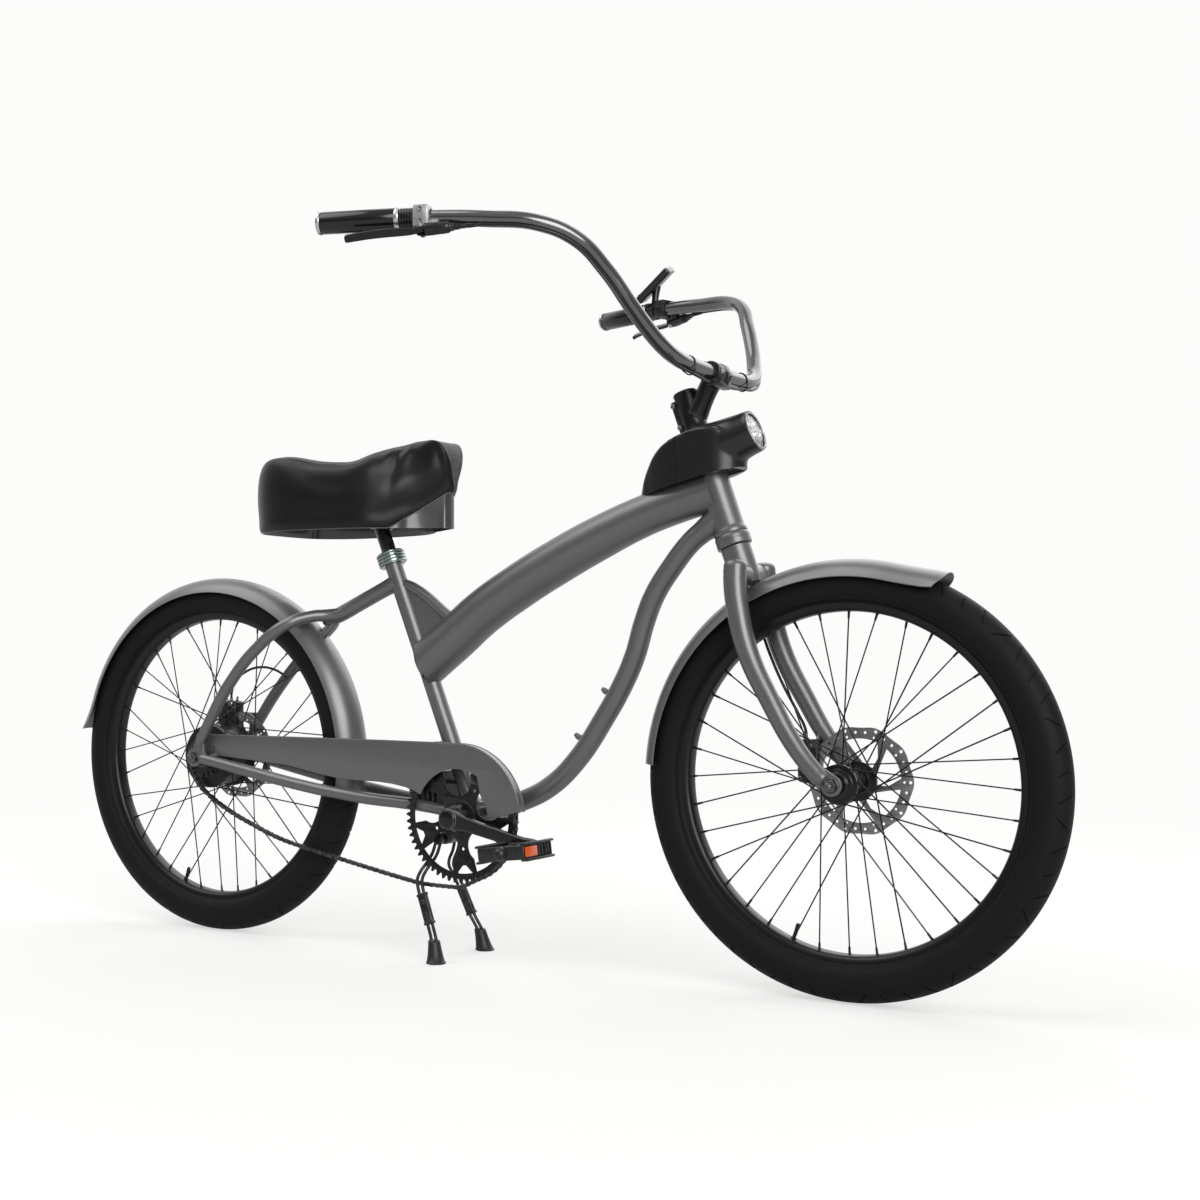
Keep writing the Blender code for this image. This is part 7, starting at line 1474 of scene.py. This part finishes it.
for label, side in SIDES.items():
    middle = BRACKET + CRANK_WAY * CRANK_LENGTH * (1 if label == "right" else -1) + ACROSS * side * 0.144
    out = ACROSS * side
    made = []
    barrel = mm([(6.8, -45), (10.5, -45), (11.2, -44.2), (11.2, -38), (11.8, -36), (9.8, 0), (11.8, 36),
        (12.5, 40), (12.5, 44), (11.5, 45), (6.8, 45)])
    made.append(turned("barrel", barrel, 36, (0, 0, 0), out, ring=True))
    for way in (-1, 1):
        made.append(block("web", (0.003, 0.088, 0.024), (way * 0.0435, 0, 0), None, 0.0008))
        for rise in (-1, 1):
            made.append(block("flange", (0.0115, 0.0916, 0.004), (way * 0.044, 0, rise * 0.0129), None, 0.0013,
                3))
            made.append(block("lip", (0.0022, 0.086, 0.0016), (way * 0.0475, 0, rise * 0.0146), None, 0.0006))
        for step in range(9):
            across = -0.04 + 0.01 * step
            stands_at = way * (0.0456 if across * side < 0.004 else 0.0425)
            made.append(block("rib", (0.0022, 0.0016, 0.0225), (stands_at, across, 0), None, 0.0005))
        made.append(turned("end_disc",
            mm([(0, 0), (4.8, 0), (5.2, 0.8), (5.2, 2.6), (4.4, 2.8), (4, 1.8), (0, 1.6)]), 24,
            (way * 0.0445, -side * 0.025, 0), (way, 0, 0), side=(0, 0, 1)))
    for end in (-1, 1):
        made.append(block("end_wall", (0.09, 0.007, 0.024), (0, end * 0.042, 0), None, 0.0022, 3))
    for way in (-1, 1):
        made.append(block("cage", (0.0032, 0.08, 0.02), (way * 0.0215, 0, 0), None, 0.0012))
    made.append(turned("dust_cap", mm([(0, 57.5), (4.5, 57), (8.5, 54.5), (11, 50.5), (12, 46), (12, 44),
        (0, 44)]), 36, (0, 0, 0), out))
    body = join(f"pedal_{label}_moulded", *made)
    body.data.transform(Matrix.Translation(middle) @ PEDAL_TURN)
    fit(body, f"pedal_{label}", "black_plastic", pedal_black, [f"pedal_{label}"], crease=30)
    lamps = []
    for way in (-1, 1):
        lamps.append(block("reflector", (0.003, 0.036, 0.0165), (way * 0.0461, side * 0.0235, 0), None, 0.0009))
    lamps = join(f"pedal_{label}_reflectors", *lamps)
    lamps.data.transform(Matrix.Translation(middle) @ PEDAL_TURN)
    fit(lamps, f"pedal_{label}", "black_plastic", reflector_orange, [f"pedal_{label}"], crease=30)

# The chainguard is one sheet pressing in the frame's grey: a flat face outside the chain, and
# a rim turned in over the top run and round the ring, with a rolled bead along its edge. It is
# screwed to the right chainstay at the back and clipped to the seat tube.
GUARD_Y = -0.0615
BX, BZ = BRACKET.x, BRACKET.z
guard_top = (mm([(11, 356), (11.2, 374), (13.5, 383), (20, 388), (150, 388.4), (300, 388.5), (450, 388.3),
    (545, 387.8)]) + arc((BX, BZ), 0.13, 96, 8, 26) + [(0.73, 0.2735)])
guard_low = ([(0.72, 0.27), (0.666, 0.258)] + arc((BX, BZ), 0.065, 2, 40, 10) + arc((BX, BZ), 0.086, 60, 154,
    20) + mm([(513, 300), (492, 306), (464, 310.5), (434, 313), (390, 314), (342, 315.5), (280, 325.5),
    (224, 335.5), (120, 343), (29, 348.5)]))
face = plate("guard_face", [guard_top + guard_low], 0.001, GUARD_Y, round_over=0.0004)
rim_line = [Vector((x, GUARD_Y, z)) for x, z in guard_top[2:]]
rim = draw("guard_rim", [rim_line], closed=False)
edit_all(rim)
for step in range(3):
    bpy.ops.mesh.extrude_region_move(TRANSFORM_OT_translate={"value": (0, 0.006, 0)})
bpy.ops.object.mode_set(mode="OBJECT")
clean(rim)
upness = sum(face_.normal.z for face_ in rim.data.polygons)
walled(rim, 0.0018, upness)
bead = tube("guard_bead", [point + Vector((0, 0.0008, -0.0007)) for point in rim_line], 0.0019, sides=3,
    smooth=0)
inner_bead = tube("guard_bead", [point + Vector((0, 0.0175, -0.0007)) for point in rim_line[5:]], 0.0016,
    sides=3, smooth=0)
tab = block("guard_tab", (0.016, 0.044, 0.003), (0.548, -0.023, 0.3865), None, 0.001)
guard_boss = tube("guard_boss", [(0.042, GUARD_Y, 0.35), (0.042, -0.076, 0.344)], 0.0055, sides=6, smooth=0)
fit(join("chainguard_pressed", face, rim, bead, inner_bead, tab, guard_boss), "frame", "frame_grey", frame_grey,
    ["chainguard"], crease=35)
screw = mm([(0, 2.6), (3, 2.4), (5, 1.4), (5.4, 0), (0, 0)])
fit(turned("guard_screw", screw, 24, (0.042, GUARD_Y - 0.0009, 0.362), (0, -1, 0)), "frame", "bolt_steel",
    axle_steel, ["chainguard"], crease=30)

# The stand has two legs of twin steel rod in black. Each pair is welded to a cheek on the pivot
# pin and clamped in a flat sleeve with a bolt, and its foot is a flared rubber cone. It swings
# back on the lug under the frame.
stand_black = surface("stand_black", (0.0072, 0.0072, 0.0075), 0.28, metallic=0.35, mottle=0.15, grain=1000.0,
    wear=0.6, bump=0.1, rubbed=(0.16, 0.16, 0.165))
foot_rubber = surface("foot_rubber", (0.01, 0.01, 0.0104), 0.44, mottle=0.2, grain=800.0, wear=0.3, bump=0.2,
    rubbed=(0.05, 0.05, 0.05))
PIVOT = Vector((0.545, 0, 0.2135))
LEG = mm([(545, 31, 213.5), (542, 31.8, 202), (536.5, 33.5, 185), (527, 37, 169), (520.8, 45, 156),
    (520.5, 56, 142), (524, 60.2, 131), (537, 64, 100), (551, 68, 66), (564, 74.5, 38), (569, 77.5, 20)])
pin = turned("pin", mirrored(mm([(0, 36.2), (8, 36.2), (9, 35.4), (9, 34.5), (6, 34)])), 32, PIVOT, ACROSS)
stand_parts = [pin]
for side in SIDES.values():
    cheek = mm([(0, 26.8), (9.6, 26.8), (10.5, 27.6), (10.5, 35.4), (9.6, 36), (0, 36)])
    stand_parts.append(turned("cheek", cheek, 36, PIVOT, ACROSS * side))
    for shift in (-0.0052, 0.0052):
        stand_parts.append(tube("rod", [(x + shift, y * side, z) for x, y, z in LEG], 0.003, sides=4, smooth=6))
    top, foot = Vector((0.5295, side * 0.0622, 0.118)), Vector((0.551, side * 0.068, 0.066))
    lie = frame_of((1, 0, 0), top - foot)
    stand_parts.append(block("sleeve", (0.019, 0.0096, (top - foot).length), (top + foot) / 2, lie, 0.0032, 3))
    for place in (0.04, 0.96):
        stand_parts.append(block("sleeve_rim", (0.0202, 0.0108, 0.005), foot.lerp(top, place), lie, 0.0018, 3))
    clevis = mm([(0, 7.5), (3, 7.5), (4.6, 6.6), (4.8, 4.8), (0, 4.8)])
    for place in (0.72, 0.3):
        stand_parts.append(turned("clevis", clevis, 20, foot.lerp(top, place), ACROSS * side))
fit(join("stand_welded", *stand_parts), "stand", "black_steel", stand_black, ["kickstand"])
for label, side in SIDES.items():
    base, top = Vector((0.572, side * 0.08, 0.0)), Vector((0.564, side * 0.0745, 0.04))
    rings = []
    for share, radius in ((0.0, 0.016), (0.015, 0.0173), (0.06, 0.0175), (0.1, 0.0166), (0.13, 0.0158),
            (0.35, 0.0138), (0.6, 0.0122), (0.8, 0.0112), (0.9, 0.0109), (0.96, 0.0104), (1.0, 0.009)):
        centre = base.lerp(top, share)
        rings.append([(x, y, centre.z) for x, y in circle(centre, radius, 40)])
    fit(lofted(f"foot_{label}", rings), "stand", "foot_rubber", foot_rubber, [f"stand_foot_{label}"], crease=30)

# The motor controller is a finned cast box, black, held on a bracket behind the seat tube.
controller_black = surface("controller_black", (0.0085, 0.0085, 0.0088), 0.38, metallic=0.3, mottle=0.15,
    grain=600.0, wear=0.5, bump=0.25, rubbed=(0.1, 0.1, 0.105))
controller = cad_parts["controller_box"]
controller.data.materials.clear()
controller.data.materials.append(controller_black)

# The seatpost is a black aluminium tube that slides in the seat tube. The clamp on its head is
# a short barrel between two ribbed jaws, drawn together by one bolt over the two saddle rails.
post_black = surface("post_black", (0.0068, 0.0068, 0.0071), 0.24, metallic=0.4, mottle=0.1, grain=1500.0,
    wear=0.4, bump=0.05, rubbed=(0.14, 0.14, 0.145), coat=0.3)
CLAMP = Vector((0.3925, 0, 0.792))
RAIL_Y = 0.022
RAIL_RADIUS = 0.0035
clamp_height = (CLAMP - BRACKET).dot(SEAT_UP)
post = turned("post", [(0.0, 0.3), (0.0136, 0.3), (0.0136, clamp_height - 0.01), (0.0, clamp_height - 0.01)],
    48, BRACKET, SEAT_UP, side=(0, 1, 0))
barrel = turned("clamp_barrel",
    mirrored(mm([(0, 29.6), (14, 29.6), (15.5, 28.4), (16.2, 26), (16.2, 19), (15, 17.5)])), 48, CLAMP, ACROSS)
RAIL = mm([(250, 853), (252, 835), (257.5, 817), (266, 806), (278, 800), (300, 796.8), (330, 796), (420, 796),
    (445, 797.8), (461, 803), (471, 813), (476.5, 828), (479, 848), (480, 864)])
for side in SIDES.values():
    room = tube("room", [(x, side * RAIL_Y, z) for x, z in RAIL[5:9]], RAIL_RADIUS + 0.0004, sides=6, smooth=4)
    shaped("DIFFERENCE", barrel, room)
clamp_bolt = [turned("clamp_bolt", mm([(0, 0), (6.2, 0), (6.8, 0.8), (6.8, 5.2), (6, 6), (3.6, 6), (3.4, 3),
    (0, 2.8)]), 6, CLAMP + ACROSS * side * 0.0294, ACROSS * side) for side in SIDES.values()]
fit(join("seatpost_drawn", post, barrel), "saddle", "black_alloy", post_black, ["seatpost"])
fit(join("seatpost_bolt", *clamp_bolt), "saddle", "bolt_steel", bolt_bright, ["seatpost"], crease=30)

# The saddle base is a moulded shell in gloss black that lines the whole skirt, with a pale
# bound edge at its foot. Two steel rails are held in it, and it is open underneath.
base_gloss = surface("base_gloss", (0.06, 0.06, 0.061), 0.18, mottle=0.1, grain=500.0, wear=0.1, bump=0.05,
    coat=0.6, coat_roughness=0.08)
SADDLE_PLAN = mm([(157, 48), (170, 87), (205, 117), (260, 133), (330, 133), (390, 124), (435, 108), (470, 81),
    (500, 59), (545, 44), (560, 31)])
SADDLE_TOP = mm([(157, 878), (170, 898), (205, 911), (260, 909), (330, 896), (390, 893), (435, 905), (470, 919),
    (500, 926), (545, 933), (560, 926)])
SADDLE_FOOT = mm([(157, 772), (465, 772), (563, 844)])
PLAN_CENTRE = Vector((0.35, 0.0))


def read_off(table, x, soft=True):
    """A value read off a table at x: along straight lines, or along a soft curve through its points."""
    if x <= table[0][0]:
        return table[0][1]
    for number in range(len(table) - 1):
        (x0, z0), (x1, z1) = table[number], table[number + 1]
        if x <= x1:
            t = (x - x0) / (x1 - x0)
            if not soft:
                return z0 + (z1 - z0) * t
            before = table[max(0, number - 1)]
            after = table[min(len(table) - 1, number + 2)]
            m0 = (z1 - before[1]) / (x1 - before[0]) * (x1 - x0)
            m1 = (after[1] - z0) / (after[0] - x0) * (x1 - x0)
            return ((2 * t ** 3 - 3 * t ** 2 + 1) * z0 + (t ** 3 - 2 * t ** 2 + t) * m0
                + (3 * t ** 2 - 2 * t ** 3) * z1 + (t ** 3 - t ** 2) * m1)
    return table[-1][1]


corners = SADDLE_PLAN + [(x, -w) for x, w in reversed(SADDLE_PLAN)]
plan_points = []
for number in range(len(corners)):
    p0, p1, p2, p3 = (Vector(corners[(number + shift) % len(corners)]) for shift in (-1, 0, 1, 2))
    for step in range(6):
        t = step / 6
        plan_points.append(0.5 * ((2 * p1) + (p2 - p0) * t + (2 * p0 - 5 * p1 + 4 * p2 - p3) * t ** 2
            + (3 * p1 - p0 - 3 * p2 + p3) * t ** 3))


def saddle_ring(inward, share, drop=0.0, scale=1.0, dish=0.0):
    """A ring round the saddle: the plan moved inward or scaled, at a share of the height from foot to top."""
    ring = []
    for spot in plan_points:
        toward = PLAN_CENTRE - spot
        x, y = (spot + toward.normalized() * inward) if scale == 1.0 else (PLAN_CENTRE - toward * scale)
        y *= 1 - 0.72 * (1 - min(1.0, share)) * unit((x - 0.49) / 0.07)
        foot = read_off(SADDLE_FOOT, x, soft=False)
        hump = 0.017 * math.exp(-((x - 0.44) / 0.038) ** 2) * (1 - scale ** 2)
        ring.append((x, y, foot + (read_off(SADDLE_TOP, x) - foot) * share - drop - dish + hump))
    return ring


def pan_foot(inward):
    """The foot of the base: the skirt's foot carried straight down to one level, also under the nose."""
    return [(x, y, min(z, 0.7718)) for x, y, z in saddle_ring(inward, 0.0)]


BASE_INNER = [(0.0275, 0.62, 0.003), (0.015, 0.62, 0.015), (0.0118, 0.25), (0.0106, 0.0, -0.001)]
BASE_OUTER = [(0.0132, 0.0, -0.001), (0.0146, 0.25), (0.0175, 0.62, 0.0175), (0.03, 0.62, 0.006)]
base = lofted("base", [saddle_ring(*row) for row in BASE_INNER] + [pan_foot(0.0106), pan_foot(0.013)]
    + [saddle_ring(*row) for row in BASE_OUTER])
base_parts = [base]
for side in SIDES.values():
    base_parts.append(tube("rail", [(x, side * RAIL_Y, z) for x, z in RAIL], RAIL_RADIUS, sides=5, smooth=6))
    for x, z in (RAIL[0], RAIL[-1]):
        base_parts.append(turned("rail_socket", mm([(0, -16), (6.6, -16), (7.8, -14.5), (9.2, 0), (0, 0)]), 20,
            (x, side * RAIL_Y, z + 0.004), (0, 0, 1)))
for x in (0.215, 0.3, 0.37):
    low = read_off(SADDLE_FOOT, x, soft=False) + (read_off(SADDLE_TOP, x) - read_off(SADDLE_FOOT, x,
        soft=False)) * 0.62 - 0.0105
    base_parts.append(block("base_rib", (0.003, 0.15, 0.012), (x, 0, low), None, 0.0008))
fit(join("saddle_base_moulded", *base_parts), "saddle", "gloss_black_plastic", base_gloss, ["saddle_base"],
    crease=40)
edge_pale = surface("edge_pale", (0.13, 0.13, 0.13), 0.3, mottle=0.1, grain=900.0, wear=0.2, bump=0.08)
fit(tube("saddle_bound_edge", saddle_ring(0.0092, 0.0, 0.0004), 0.0011, sides=3, smooth=0, closed=True),
    "saddle", "gloss_black_plastic", edge_pale, ["saddle_base"], crease=60)

# The saddle cushion is moulded foam under a smooth black vinyl cover. The cover's sides reach
# down over the base as a skirt, and are pinched in behind the nose. The top panel, which also
# runs down the nose, is a grey woven cloth, joined to the sides along a stitched seam. Over the
# top, its pale grey is partly painted reflection, standing in for the light along the saddle's top.
FOAM_RINGS = [(0.026, 0.62), (0.014, 0.62, 0.012), (0.012, 0.25), (0.01, 0.0), (0.007, 0.0), (0.005, 0.02),
    (0.0022, 0.1), (0.0, 0.25), (-0.002, 0.45), (-0.0018, 0.62), (0.0002, 0.78), (0.004, 0.88), (0.0095, 0.945),
    (0.0175, 0.982), (0.0, 1.0, 0.0004, 0.74), (0.0, 1.0, 0.002, 0.58), (0.0, 1.0, 0.0038, 0.38),
    (0.0, 1.0, 0.005, 0.16)]
foam_rings = [saddle_ring(*row) for row in FOAM_RINGS]
foam_grid = foam_rings[:1]
for last, ring in zip(foam_rings, foam_rings[1:]):
    foam_grid += [[tuple((a + b) / 2 for a, b in zip(spot, after)) for spot, after in zip(last, ring)], ring]
cushion = lofted("saddle_cushion_foam", foam_grid)


outline = kdtree.KDTree(len(plan_points))
for number, point in enumerate(plan_points):
    outline.insert((point.x, point.y, 0), number)
outline.balance()


def side_depth(spot):
    """How far a point lies inside the plan's outline, seen from above."""
    return outline.find((spot.x, spot.y, 0))[2]


HELD = "held"
held = cushion.vertex_groups.new(name=HELD)
fixed = []
for point in cushion.data.vertices:
    spot = point.co
    foot = read_off(SADDLE_FOOT, spot.x, soft=False)
    share = (spot.z - foot) / (read_off(SADDLE_TOP, spot.x) - foot)
    under = point.index < 9 * len(plan_points)
    fixed.append(1.0 if under else unit(1 - (share - 0.06) / 0.12))
    held.add([point.index], fixed[-1], "REPLACE")
for point, hold in zip(cushion.data.vertices, fixed):
    point.co -= point.normal * 0.0022 * (1 - hold)
rest = [point.co.copy() for point in cushion.data.vertices]
air = cushion.modifiers.new("air", "CLOTH")
air.settings.quality = 5
air.settings.mass = 0.3
air.settings.tension_stiffness = 30
air.settings.compression_stiffness = 30
air.settings.bending_stiffness = 4
air.settings.use_pressure = True
air.settings.uniform_pressure_force = 4
air.settings.effector_weights.gravity = 0
air.settings.vertex_group_mass = HELD
air.point_cache.frame_start = 1
air.point_cache.frame_end = 20
for moment in range(1, 21):
    scene.frame_set(moment)
take(cushion)
bpy.ops.object.modifier_apply(modifier="air")
scene.frame_set(1)
FURTHEST = 0.005
for point, start in zip(cushion.data.vertices, rest):
    step = point.co - start
    if step.length > FURTHEST:
        point.co = start + step * (FURTHEST / step.length)
relaxed = cushion.modifiers.new("relaxed", "SMOOTH")
relaxed.factor = 0.5
relaxed.iterations = 3
relaxed.vertex_group = HELD
relaxed.invert_vertex_group = True
finer = cushion.modifiers.new("finer", "SUBSURF")
finer.levels = finer.render_levels = 2
take(cushion)
for step_name in ("relaxed", "finer"):
    bpy.ops.object.modifier_apply(modifier=step_name)

SEAM_INSET = 0.03
cover = cushion.data.attributes.new("cover", "FLOAT", "POINT")
moves = []
for point in cushion.data.vertices:
    spot = point.co
    foot = read_off(SADDLE_FOOT, spot.x, soft=False)
    share = (spot.z - foot) / (read_off(SADDLE_TOP, spot.x) - foot)
    width = read_off(SADDLE_PLAN, spot.x)
    depth = side_depth(spot)
    on_top = depth - SEAM_INSET + (0.016 * unit((spot.x - 0.47) / 0.05))
    on_nose = min(0.001 + 0.033 * share - abs(spot.y), (spot.x - 0.515) * 0.8, share * 0.06)
    seam = max(min(on_top, (share - 0.8) * 0.08), on_nose)
    cover.data[point.index].value = seam
    outer = unit((0.011 - depth) / 0.004) if share < 0.75 and spot.x < 0.5 else 1.0
    pinch_line = 0.477 - 0.006 * (1 - share)
    pinch = math.exp(-((spot.x - pinch_line) / 0.0085) ** 2) * unit((share - 0.1) / 0.8) ** 1.5
    pinch *= unit((abs(spot.y) / width - 0.45) / 0.3) * outer
    lips = (math.exp(-((spot.x - pinch_line - 0.0145) / 0.0075) ** 2)
        + math.exp(-((spot.x - pinch_line + 0.0155) / 0.0085) ** 2))
    lips *= unit((share - 0.7) / 0.25) * unit((abs(spot.y) / width - 0.35) / 0.25)
    ridge = math.exp(-(seam / 0.003) ** 2) * (0.0011 if spot.x > 0.49 else -0.0009)
    moves.append(point.normal * (lips * 0.0014 * outer - pinch * 0.004 + ridge * outer))
for point, move in zip(cushion.data.vertices, moves):
    point.co += move

saddle_leather = surface("saddle_leather", (0.0045, 0.0045, 0.0047), 0.36, mottle=0.1, grain=900.0, wear=0.1,
    bump=0.1, specular=0.28, coat=0.08, coat_roughness=0.35, rubbed=(0.02, 0.02, 0.021))
tree = saddle_leather.node_tree
worn = tree.nodes["worn"].outputs
place = node(tree, "TexCoord").outputs["Object"]
seam_at = node(tree, "Attribute", attribute_name="cover").outputs["Fac"]
threads = node(tree, "TexVoronoi", {"Scale": 620.0, "Randomness": 0.55, "Vector": place}).outputs["Distance"]
# The grey panel over the top and down the nose: its greys are partly the cloth's own colour and partly painted
# reflection of the light along the saddle's top.
cloth_and_painted_reflection_mask = fade(tree, seam_at, 0.0, 0.0008)
weave = fade(tree, threads, 0.1, 0.6, 1.0, 0.0)
cloth_and_reflection_greys = {"Factor": weave, 6: (0.055, 0.055, 0.056, 1), 7: (0.15, 0.15, 0.152, 1)}
cloth_grey_and_painted_reflection = node(tree, "Mix", cloth_and_reflection_greys, data_type="RGBA").outputs[2]
both = node(tree, "Mix", {"Factor": cloth_and_painted_reflection_mask, 6: worn["Colour"], 7: cloth_grey_and_painted_reflection}, data_type="RGBA").outputs[2]
groove = fade(tree, figure(tree, "ABSOLUTE", seam_at, 0.0), 0.0, 0.0016)
raised = figure(tree, "ADD", figure(tree, "MULTIPLY", weave, figure(tree, "MULTIPLY", cloth_and_painted_reflection_mask, 0.8)),
    figure(tree, "MULTIPLY", worn["Height"], 0.35))
height = figure(tree, "MULTIPLY", figure(tree, "ADD", raised, 1.0), groove)
wire(tree, tree.nodes["relief"], {"Height": height, "Strength": 0.35, "Distance": 0.0006})
rough = figure(tree, "ADD", worn["Roughness"], figure(tree, "MULTIPLY", cloth_and_painted_reflection_mask, 0.22))
wire(tree, tree.nodes["Principled BSDF"], {"Base Color": both, "Roughness": rough})
fit(cushion, "saddle", "saddle_leather", saddle_leather, ["saddle_cushion"], crease=80)

[[list(map(float, corner)) for corner in box] for box in (cad_box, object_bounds())]
